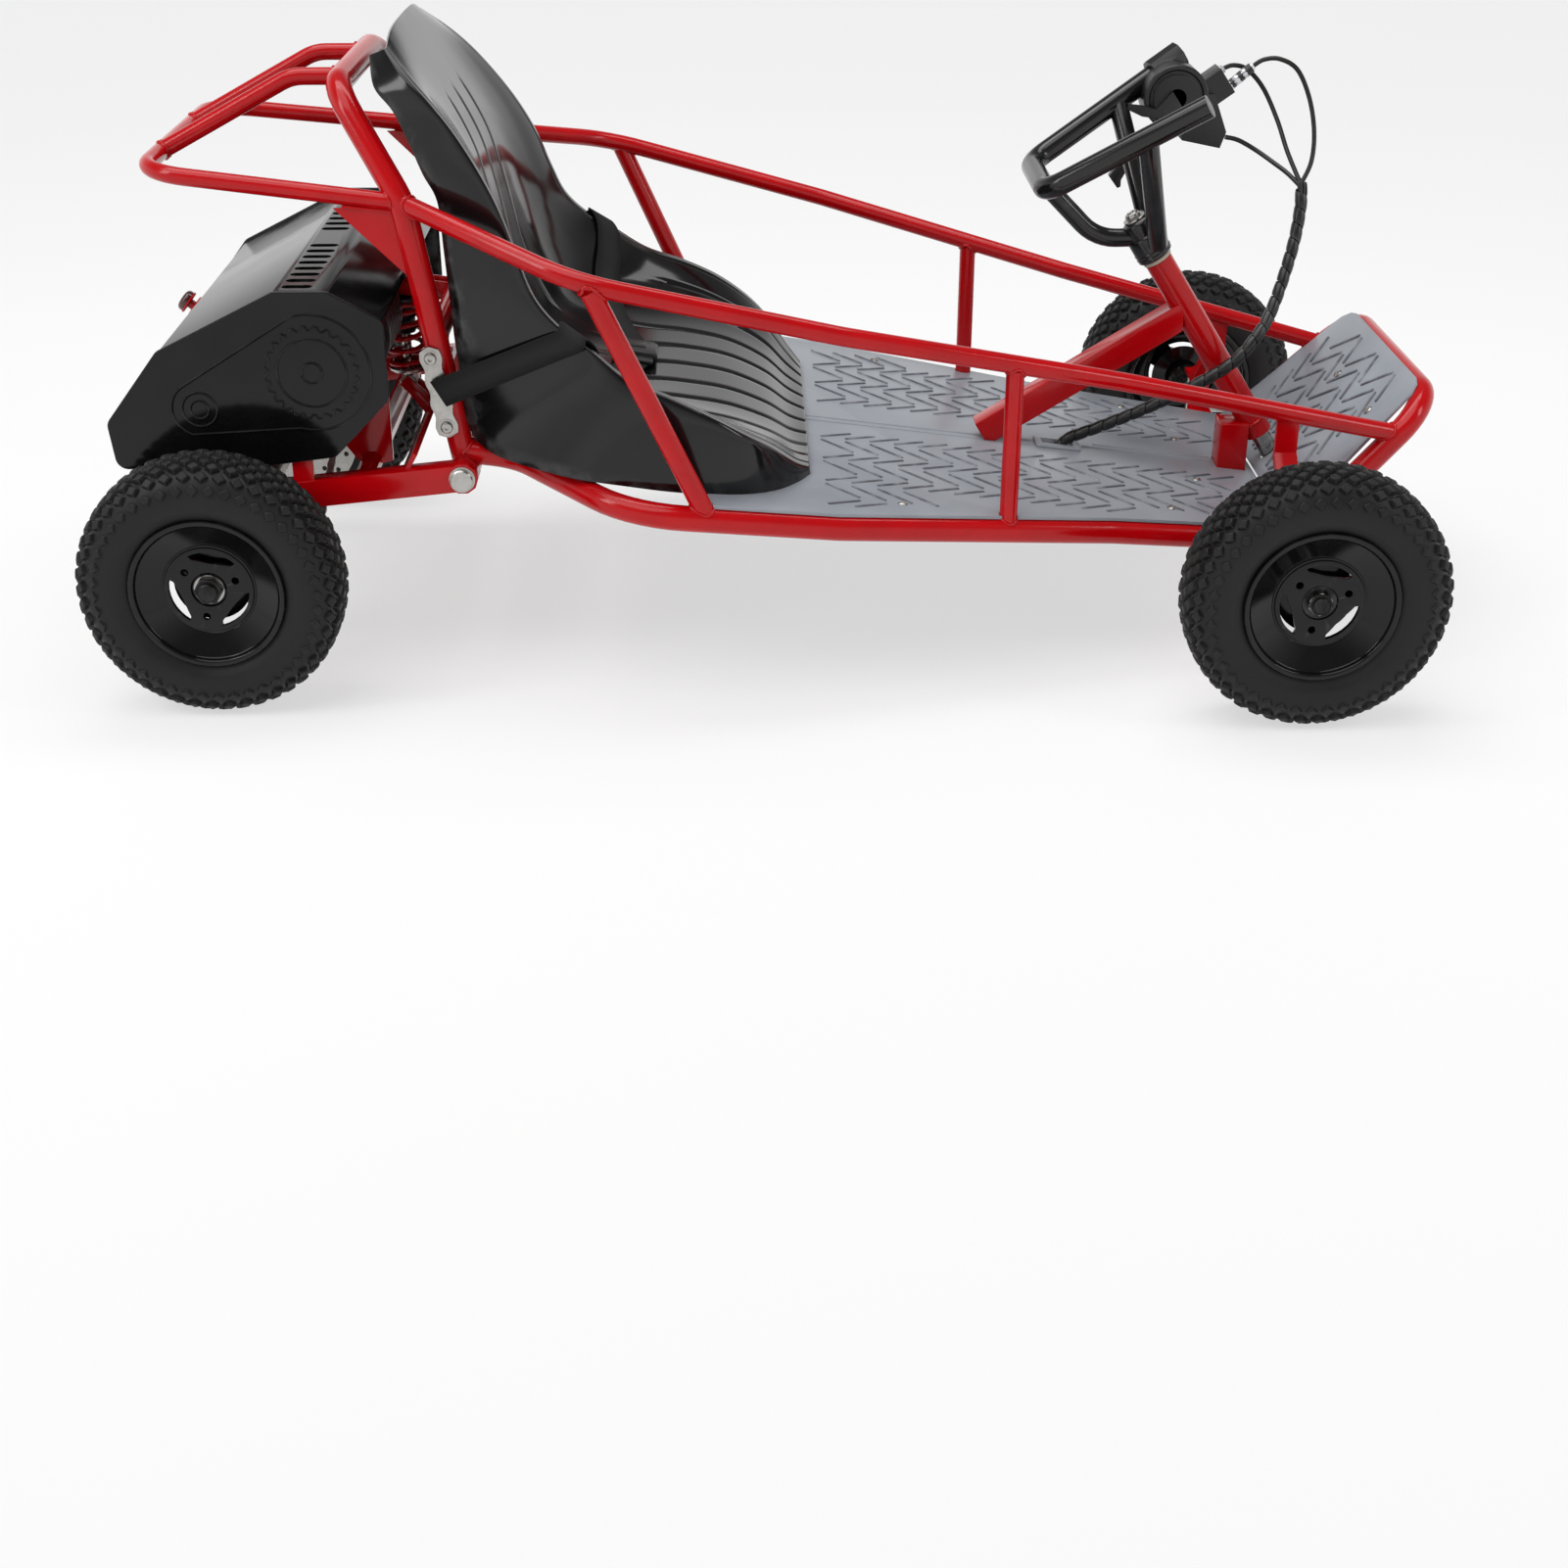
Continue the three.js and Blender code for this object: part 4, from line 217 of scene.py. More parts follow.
class Bench:
    """Workbench: makes, shapes and finishes meshes with Blender's own operators."""

    @staticmethod
    def clear() -> None:
        """Leaves edit mode and deselects everything."""
        active = bpy.context.view_layer.objects.active
        if active and active.mode != "OBJECT":
            bpy.ops.object.mode_set(mode="OBJECT")
        bpy.ops.object.select_all(action="DESELECT")

    @staticmethod
    def only(obj: Object) -> Object:
        """Selects one object and makes it active."""
        Bench.clear()
        obj.select_set(True)
        bpy.context.view_layer.objects.active = obj
        return obj

    @staticmethod
    def taken(name: str) -> Object:
        """Names the object that an operator just made."""
        obj = bpy.context.view_layer.objects.active
        obj.name = name
        obj.data.name = name
        return obj

    @staticmethod
    def apply(obj: Object) -> Object:
        """Applies all modifiers of an object."""
        Bench.only(obj)
        for modifier in list(obj.modifiers):
            bpy.ops.object.modifier_apply(modifier=modifier.name)
        return obj

    @staticmethod
    def set_places(obj: Object, places: Sequence[Vector]) -> None:
        """Moves the mesh's points to the given places in metres."""
        flat = [c for p in places for c in p]
        obj.data.vertices.foreach_set("co", flat)
        obj.data.update()

    @staticmethod
    def tidy(obj: Object, distance: float = 0.01) -> Object:
        """Merges doubles and turns the faces outwards.

        Args:
            obj: Mesh to tidy.
            distance: Merge distance in millimetres.

        Returns:
            The same object.
        """
        Bench.only(obj)
        bpy.ops.object.mode_set(mode="EDIT")
        bpy.ops.mesh.select_all(action="SELECT")
        bpy.ops.mesh.remove_doubles(threshold=distance * MM)
        bpy.ops.mesh.normals_make_consistent(inside=False)
        bpy.ops.object.mode_set(mode="OBJECT")
        return obj

    @staticmethod
    def bevel(obj: Object, width: float, segments: int = 2, angle: float = 30) -> Object:
        """Rounds the sharp edges with a Bevel modifier and applies it.

        Args:
            obj: Mesh to round.
            width: Width of the rounding in millimetres.
            segments: Steps of the rounding.
            angle: Edges sharper than this many degrees are rounded.

        Returns:
            The same object.
        """
        modifier = obj.modifiers.new("Edges", "BEVEL")
        modifier.width = width * MM
        modifier.segments = segments
        modifier.limit_method = "ANGLE"
        modifier.angle_limit = math.radians(angle)
        modifier.use_clamp_overlap = True
        return Bench.apply(obj)

    @staticmethod
    def tube(
        name: str,
        stations: Sequence[Vector],
        diameter: float,
        sides: int = 24,
        closed: bool = False,
        swell: Optional[Sequence[float]] = None,
        ends: float = 0.0,
    ) -> Object:
        """Makes a round bar along a route.

        Args:
            name: Name of the piece.
            stations: Places along the route in millimetres.
            diameter: Outside diameter in millimetres.
            sides: Sides of the section.
            closed: True for a ring.
            swell: Share of the radius at each station.
            ends: Size of the rounding at the end caps in millimetres.

        Returns:
            The mesh object.
        """
        Bench.clear()
        bpy.ops.curve.primitive_nurbs_path_add(radius=1, location=(0, 0, 0))
        path = Bench.taken(name)
        data = path.data
        data.splines.clear()
        data.dimensions = "3D"
        spline = data.splines.new("POLY")
        spline.points.add(len(stations) - 1)
        for i, station in enumerate(stations):
            spline.points[i].co = (*spot(station), 1.0)
            spline.points[i].radius = swell[i] if swell else 1.0
        spline.use_cyclic_u = closed
        data.bevel_depth = diameter / 2 * MM
        data.bevel_resolution = max(0, (sides - 4) // 2)
        data.use_fill_caps = not closed
        bpy.ops.object.convert(target="MESH")
        obj = Bench.taken(name)
        Bench.tidy(obj, 0.002)
        if ends:
            Bench.bevel(obj, ends, 3, 60)
        return obj

    @staticmethod
    def pipe(
        name: str, points: Sequence[Point], diameter: float, bend: float = 0, sides: int = 24, ends: float = 0
    ) -> Object:
        """Makes a bent tube from the corners of its route."""
        return Bench.tube(name, rounded(points, bend), diameter, sides, ends=ends)

    @staticmethod
    def plate(
        name: str, points: Sequence[tuple[float, float]], low: float, high: float, edge: float = 0.5,
        segments: int = 2
    ) -> Object:
        """Makes a plate whose outline lies in the XZ plane.

        Args:
            name: Name of the piece.
            points: Outline as pairs of X and Z in millimetres.
            low: Lower Y in millimetres.
            high: Upper Y in millimetres.
            edge: Rounding of the edges in millimetres.
            segments: Steps of the rounding.

        Returns:
            The mesh object.
        """
        Bench.clear()
        bpy.ops.mesh.primitive_circle_add(
            vertices=len(points), radius=1, fill_type="NGON", location=(0, 0, 0)
        )
        obj = Bench.taken(name)
        Bench.set_places(obj, [place(x, low, z) for x, z in points])
        bpy.ops.object.mode_set(mode="EDIT")
        bpy.ops.mesh.select_all(action="SELECT")
        bpy.ops.mesh.extrude_region_move(TRANSFORM_OT_translate={"value": (0, (high - low) * MM, 0)})
        bpy.ops.object.mode_set(mode="OBJECT")
        Bench.tidy(obj)
        return Bench.bevel(obj, edge, segments) if edge else obj

    @staticmethod
    def turned(
        name: str, profile: Sequence[tuple[float, float]], centre: Point, steps: int = 48,
        axis: Point = (0, 1, 0)
    ) -> Object:
        """Spins a profile about an axis, as on a lathe.

        Args:
            name: Name of the piece.
            profile: Pairs of radius and place along the axis in millimetres.
            centre: Point on the axis in millimetres.
            steps: Steps of the full turn.
            axis: Direction of the axis.

        Returns:
            The mesh object.
        """
        Bench.clear()
        bpy.ops.mesh.primitive_plane_add(size=0.001, location=(0, 0, 0))
        obj = Bench.taken(name)
        bpy.ops.object.mode_set(mode="EDIT")
        bpy.ops.mesh.select_all(action="SELECT")
        bpy.ops.mesh.merge(type="CENTER")
        bpy.ops.mesh.select_all(action="SELECT")
        first = profile[0]
        bpy.ops.transform.translate(value=(first[0] * MM, 0, first[1] * MM))
        for (r0, a0), (r1, a1) in zip(profile, profile[1:]):
            bpy.ops.mesh.extrude_region_move(
                TRANSFORM_OT_translate={"value": ((r1 - r0) * MM, 0, (a1 - a0) * MM)}
            )
        bpy.ops.mesh.select_all(action="SELECT")
        bpy.ops.mesh.spin(steps=steps, angle=2 * math.pi, center=(0, 0, 0), axis=(0, 0, 1))
        bpy.ops.object.mode_set(mode="OBJECT")
        turn = Vector((0, 0, 1)).rotation_difference(Vector(axis)).to_matrix().to_4x4()
        obj.data.transform(Matrix.Translation(spot(centre)) @ turn)
        return Bench.tidy(obj, 0.02)

    @staticmethod
    def block(
        name: str, centre: Point, size: Point, lean: float = 0.0, edge: float = 0.8, segments: int = 2,
        about: str = "Y"
    ) -> Object:
        """Makes a box with rounded edges.

        Args:
            name: Name of the piece.
            centre: Centre in millimetres.
            size: Lengths along X, Y and Z in millimetres.
            lean: Turn in radians.
            edge: Rounding of the edges in millimetres.
            segments: Steps of the rounding.
            about: Axis of the turn.

        Returns:
            The mesh object.
        """
        Bench.clear()
        bpy.ops.mesh.primitive_cube_add(size=1, location=(0, 0, 0))
        obj = Bench.taken(name)
        scale = Matrix.Diagonal((*[s * MM for s in size], 1))
        obj.data.transform(Matrix.Translation(spot(centre)) @ Matrix.Rotation(lean, 4, about) @ scale)
        return Bench.bevel(obj, edge, segments) if edge else obj

    @staticmethod
    def copy(obj: Object, name: str, matrix: Matrix = Matrix.Identity(4)) -> Object:
        """Copies an object with its own mesh.

        Args:
            obj: Object to copy.
            name: Name of the copy.
            matrix: Move of the copy, in metres.

        Returns:
            The copy.
        """
        twin = obj.copy()
        twin.parent = None
        twin.data = obj.data.copy()
        twin.matrix_world = Matrix.Identity(4)
        twin.name = name
        twin.data.name = name
        for key in [k for k in twin.keys() if k.startswith("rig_")]:
            del twin[key]
        bpy.context.scene.collection.objects.link(twin)
        twin.data.transform(matrix)
        if matrix.determinant() < 0:
            twin.data.flip_normals()
        return twin

    @staticmethod
    def joined(name: str, pieces: Sequence[Object]) -> Object:
        """Joins objects into one."""
        Bench.clear()
        for piece in pieces:
            piece.select_set(True)
        bpy.context.view_layer.objects.active = pieces[0]
        if len(pieces) > 1:
            bpy.ops.object.join()
        return Bench.taken(name)

    @staticmethod
    def mirrored(obj: Object, name: str) -> Object:
        """Copies an object to the kart's other side."""
        return Bench.copy(obj, name, Matrix.Scale(-1, 4, (0, 1, 0)))

    @staticmethod
    def carved(obj: Object, cutters: Sequence[Object]) -> Object:
        """Cuts the cutters out of an object and removes them."""
        tool = Bench.joined("cutters", list(cutters)) if len(cutters) > 1 else cutters[0]
        modifier = obj.modifiers.new("Cut", "BOOLEAN")
        modifier.operation = "DIFFERENCE"
        modifier.solver = "EXACT"
        modifier.use_self = True
        modifier.object = tool
        Bench.apply(obj)
        bpy.data.objects.remove(tool, do_unlink=True)
        return obj

    @staticmethod
    def from_cad(node: str, name: str, edge: float = 0.5, segments: int = 2, angle: float = 28) -> Object:
        """Copies a CAD node, merges it and softens its edges.

        Args:
            node: Name of the CAD node.
            name: Name of the new piece.
            edge: Rounding of the edges in millimetres.
            segments: Steps of the rounding.
            angle: Edges sharper than this many degrees are rounded.

        Returns:
            The mesh object.
        """
        obj = Bench.copy(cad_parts[node], name)
        obj.parent = None
        obj.matrix_world = Matrix.Identity(4)
        obj.hide_render = obj.hide_viewport = False
        Bench.only(obj)
        bpy.ops.object.mode_set(mode="EDIT")
        bpy.ops.mesh.select_all(action="SELECT")
        bpy.ops.mesh.remove_doubles(threshold=0.01 * MM)
        bpy.ops.mesh.dissolve_limited(angle_limit=math.radians(0.8))
        bpy.ops.object.mode_set(mode="OBJECT")
        return Bench.bevel(obj, edge, segments, angle) if edge else obj

    @staticmethod
    def smooth(obj: Object, angle: float = 38) -> Object:
        """Shades an object smooth, with sharp edges past an angle in degrees."""
        Bench.only(obj)
        bpy.ops.object.shade_smooth_by_angle(angle=math.radians(angle))
        return obj

    @staticmethod
    def finish(
        obj: Object, body: str, look: "Finish", replaces: Sequence[str] = (), angle: float = 38
    ) -> Object:
        """Applies the object's place, shades it, dresses it and lets it ride.

        Args:
            obj: The finished mesh.
            body: CAD body it moves with.
            look: Its finish.
            replaces: CAD nodes that it stands for.
            angle: Smoothing angle in degrees.

        Returns:
            The same object.
        """
        Bench.dress(obj, look, replaces, angle)
        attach(obj, body)
        log.info("%s rides on %s, %d faces", obj.name, body, len(obj.data.polygons))
        return obj

    @staticmethod
    def dress(obj: Object, look: "Finish", replaces: Sequence[str] = (), angle: float = 38) -> Object:
        """Applies the object's place, shades it and gives it its finish.

        Args:
            obj: The finished mesh.
            look: Its finish.
            replaces: CAD nodes that it stands for.
            angle: Smoothing angle in degrees.

        Returns:
            The same object.
        """
        Bench.only(obj)
        bpy.ops.object.transform_apply(location=True, rotation=True, scale=True)
        Bench.smooth(obj, angle)
        obj.data.materials.clear()
        obj.data.materials.append(look.material())
        if replaces:
            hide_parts(*replaces)
        return obj


# Finishes.


class Tree:
    """Puts nodes into a material or a node group."""

    def __init__(self, tree: bpy.types.NodeTree) -> None:
        """Keeps the tree that nodes go into."""
        self.tree = tree

    def node(self, kind: str, inputs: Optional[dict] = None, **settings: object) -> bpy.types.Node:
        """Adds a node.

        Args:
            kind: Node type without its ShaderNode prefix.
            inputs: Values or sockets for the node's inputs, by name or number.
            **settings: Properties of the node.

        Returns:
            The new node.
        """
        prefix = "Node" if kind in ("GroupInput", "GroupOutput") else "ShaderNode"
        made = self.tree.nodes.new(prefix + kind)
        for key, value in settings.items():
            setattr(made, key, value)
        for key, value in (inputs or {}).items():
            if isinstance(value, bpy.types.NodeSocket):
                self.tree.links.new(value, made.inputs[key])
            else:
                made.inputs[key].default_value = value
        return made

    def maths(self, operation: str, *values: object) -> bpy.types.NodeSocket:
        """Adds a Math node and returns its result."""
        return self.node("Math", dict(enumerate(values)), operation=operation).outputs[0]

    def span(
        self, value: object, low: float, high: float, to_low: float = 0.0, to_high: float = 1.0
    ) -> bpy.types.NodeSocket:
        """Maps a value from one span to another, clamped."""
        inputs = {"Value": value, "From Min": low, "From Max": high, "To Min": to_low, "To Max": to_high}
        return self.node("MapRange", inputs, clamp=True).outputs[0]

    def mix(self, share: object, first: object, second: object) -> bpy.types.NodeSocket:
        """Mixes two colours by a share."""
        made = self.node("Mix", {0: share, 6: first, 7: second}, data_type="RGBA")
        return made.outputs[2]


class Effects:
    """Shader node groups that several finishes use, each built once."""

    @staticmethod
    def _start(
        name: str, inputs: dict[str, float], outputs: Sequence[str]
    ) -> Optional[tuple[bpy.types.NodeTree, Tree]]:
        """Starts a node group, unless it is there.

        Args:
            name: Name of the group.
            inputs: Its inputs with their values.
            outputs: Its outputs.

        Returns:
            The group and the helper that fills it, or None if it is there.
        """
        if name in bpy.data.node_groups:
            return None
        group = bpy.data.node_groups.new(name, "ShaderNodeTree")
        for label, value in inputs.items():
            kind = "NodeSocketVector" if label == "Vector" else "NodeSocketFloat"
            made = group.interface.new_socket(name=label, in_out="INPUT", socket_type=kind)
            if kind == "NodeSocketFloat":
                made.default_value = value
        for label in outputs:
            group.interface.new_socket(name=label, in_out="OUTPUT", socket_type="NodeSocketFloat")
        return group, Tree(group)

    @staticmethod
    def wear() -> bpy.types.NodeTree:
        """Edge wear: a mask that is high where a convex edge is rubbed; on the deck ribs it places a painted
        highlight.
        """
        started = Effects._start("edge_wear", {"Amount": 0.3, "Scale": 60.0}, ["Mask"])
        if started:
            _, tree = started
            source = tree.node("GroupInput")
            sharp = tree.span(tree.node("NewGeometry").outputs["Pointiness"], 0.53, 0.62)
            place_at = tree.node("TexCoord").outputs["Object"]
            rub = tree.node("TexNoise", {"Vector": place_at, "Scale": source.outputs["Scale"], "Detail": 5.0})
            patchy = tree.span(rub.outputs["Fac"], 0.45, 0.7)
            mask = tree.maths("MULTIPLY", tree.maths("MULTIPLY", sharp, patchy), source.outputs["Amount"])
            tree.node("GroupOutput", {"Mask": mask})
        return bpy.data.node_groups["edge_wear"]

    @staticmethod
    def dust() -> bpy.types.NodeTree:
        """Settled dust: a mask that is high on upward faces, in soft patches."""
        started = Effects._start("settled_dust", {"Amount": 0.2, "Scale": 14.0}, ["Mask"])
        if started:
            _, tree = started
            source = tree.node("GroupInput")
            normal = tree.node("SeparateXYZ", {0: tree.node("NewGeometry").outputs["Normal"]})
            up = tree.span(normal.outputs["Z"], -0.1, 0.9)
            place_at = tree.node("TexCoord").outputs["Object"]
            soft = tree.node(
                "TexNoise", {"Vector": place_at, "Scale": source.outputs["Scale"], "Detail": 6.0}
            )
            fine = tree.node("TexNoise", {"Vector": place_at, "Scale": 900.0, "Detail": 2.0})
            patch = tree.maths(
                "MULTIPLY", tree.span(soft.outputs["Fac"], 0.4, 0.75),
                tree.span(fine.outputs["Fac"], 0.3, 0.8)
            )
            mask = tree.maths("MULTIPLY", tree.maths("MULTIPLY", up, patch), source.outputs["Amount"])
            tree.node("GroupOutput", {"Mask": mask})
        return bpy.data.node_groups["settled_dust"]

    @staticmethod
    def relief() -> bpy.types.NodeTree:
        """Fine relief: a soft swell and a fine grain, as a height in metres and a tone."""
        started = Effects._start(
            "fine_relief", {"Scale": 300.0, "Height": 0.00005, "Swell": 30.0}, ["Height", "Tone"]
        )
        if started:
            _, tree = started
            source = tree.node("GroupInput")
            place_at = tree.node("TexCoord").outputs["Object"]
            fine = tree.node(
                "TexNoise", {"Vector": place_at, "Scale": source.outputs["Scale"], "Detail": 3.0}
            )
            broad = tree.node(
                "TexNoise", {"Vector": place_at, "Scale": source.outputs["Swell"], "Detail": 4.0}
            )
            height = tree.maths("MULTIPLY", fine.outputs["Fac"], source.outputs["Height"])
            tree.node("GroupOutput", {"Height": height, "Tone": broad.outputs["Fac"]})
        return bpy.data.node_groups["fine_relief"]

    @staticmethod
    def brushed() -> bpy.types.NodeTree:
        """Brushed metal: fine lines along Y, as a height and a tone."""
        started = Effects._start("brushed_lines", {"Scale": 900.0, "Height": 0.00002}, ["Height", "Tone"])
        if started:
            _, tree = started
            source = tree.node("GroupInput")
            place_at = tree.node("TexCoord").outputs["Object"]
            drawn = tree.node("Mapping", {"Vector": place_at, "Scale": (1.0, 0.06, 1.0)})
            fine = tree.node(
                "TexNoise", {"Vector": drawn.outputs[0], "Scale": source.outputs["Scale"], "Detail": 4.0}
            )
            cloud = tree.node("TexNoise", {"Vector": place_at, "Scale": 70.0, "Detail": 5.0})
            height = tree.maths("MULTIPLY", fine.outputs["Fac"], source.outputs["Height"])
            tone = tree.maths(
                "ADD", tree.maths("MULTIPLY", fine.outputs["Fac"], 0.4),
                tree.maths("MULTIPLY", cloud.outputs["Fac"], 0.6)
            )
            tree.node("GroupOutput", {"Height": height, "Tone": tone})
        return bpy.data.node_groups["brushed_lines"]

    @staticmethod
    def weave() -> bpy.types.NodeTree:
        """Webbing weave on a piece's own UV map, in units of threads."""
        started = Effects._start("webbing_weave", {"Vector": 0.0, "Height": 0.0002}, ["Height", "Tone"])
        if started:
            _, tree = started
            source = tree.node("GroupInput")
            split = tree.node("SeparateXYZ", {0: source.outputs["Vector"]})
            across = tree.maths("SINE", tree.maths("MULTIPLY", split.outputs["X"], math.pi))
            half = tree.maths("FLOOR", split.outputs["X"])
            along = tree.maths(
                "ADD", tree.maths("MULTIPLY", split.outputs["Y"], math.pi),
                tree.maths("MULTIPLY", half, math.pi / 2)
            )
            over = tree.maths("SINE", along)
            bump = tree.maths("MULTIPLY", tree.maths("ABSOLUTE", across), tree.span(over, -1.0, 1.0))
            fuzz = tree.node("TexNoise", {"Vector": source.outputs["Vector"], "Scale": 6.0, "Detail": 3.0})
            tone = tree.maths(
                "ADD", tree.maths("MULTIPLY", bump, 0.7), tree.maths("MULTIPLY", fuzz.outputs["Fac"], 0.3)
            )
            tree.node(
                "GroupOutput",
                {"Height": tree.maths("MULTIPLY", bump, source.outputs["Height"]), "Tone": tone}
            )
        return bpy.data.node_groups["webbing_weave"]


@dataclass(frozen=True)
class Finish:
    """A surface finish: its colours, gloss, relief, dust and wear; on the deck ribs the colour is painted
    shade and the wear a painted highlight.
    """

    name: str
    slot: Slot
    colour: Point
    shade: Point
    rough: float
    spread: float = 0.08
    metal: float = 0.0
    coat: float = 0.0
    texture: Texture = Texture.PEEL
    scale: float = 260.0
    height: float = 0.00004
    swell: float = 25.0
    worn: Point = (0.5, 0.5, 0.5)
    wear: float = 0.1
    dust: float = 0.1
    dust_colour: Point = (0.32, 0.3, 0.27)
    specular: float = 0.5
    sheen: float = 0.0

    def material(self) -> bpy.types.Material:
        """Returns this finish's material, built on first use."""
        if self.name in bpy.data.materials:
            return bpy.data.materials[self.name]
        made = bpy.data.materials.new(self.name)
        made.use_nodes = True
        made.node_tree.nodes.clear()
        tree = Tree(made.node_tree)
        relief = self._relief(tree)
        tone = tree.span(relief.outputs["Tone"], 0.3, 0.7)
        colour = tree.mix(tone, (*self.colour, 1), (*self.shade, 1))
        # Edge wear; on the deck ribs this mix paints a highlight along the edges.
        wear = tree.node("Group", node_tree=Effects.wear())
        wear.inputs["Amount"].default_value = self.wear
        colour = tree.mix(wear.outputs["Mask"], colour, (*self.worn, 1))
        dust = tree.node("Group", node_tree=Effects.dust())
        dust.inputs["Amount"].default_value = self.dust
        colour = tree.mix(dust.outputs["Mask"], colour, (*self.dust_colour, 1))
        gloss = tree.maths(
            "ADD", tree.span(tone, 0.0, 1.0, self.rough, self.rough + self.spread),
            tree.maths("MULTIPLY", dust.outputs["Mask"], 0.35)
        )
        bump = tree.node("Bump", {"Height": relief.outputs["Height"], "Distance": 1.0, "Strength": 1.0})
        shader = tree.node(
            "BsdfPrincipled",
            {
                "Base Color": colour,
                "Roughness": gloss,
                "Metallic": self.metal,
                "Coat Weight": self.coat,
                "Coat Roughness": 0.06,
                "Specular IOR Level": self.specular,
                "Sheen Weight": self.sheen,
                "Normal": bump.outputs["Normal"],
            },
        )
        tree.node("OutputMaterial", {"Surface": shader.outputs[0]})
        return made

    def _relief(self, tree: Tree) -> bpy.types.Node:
        """Adds the node group that gives the finish its relief."""
        if self.texture is Texture.WEAVE:
            made = tree.node("Group", {}, node_tree=Effects.weave())
            tree.tree.links.new(tree.node("TexCoord").outputs["UV"], made.inputs["Vector"])
        elif self.texture is Texture.BRUSHED:
            made = tree.node("Group", node_tree=Effects.brushed())
            made.inputs["Scale"].default_value = self.scale
        else:
            made = tree.node("Group", node_tree=Effects.relief())
            made.inputs["Scale"].default_value = self.scale
            made.inputs["Swell"].default_value = self.swell
        made.inputs["Height"].default_value = self.height
        return made


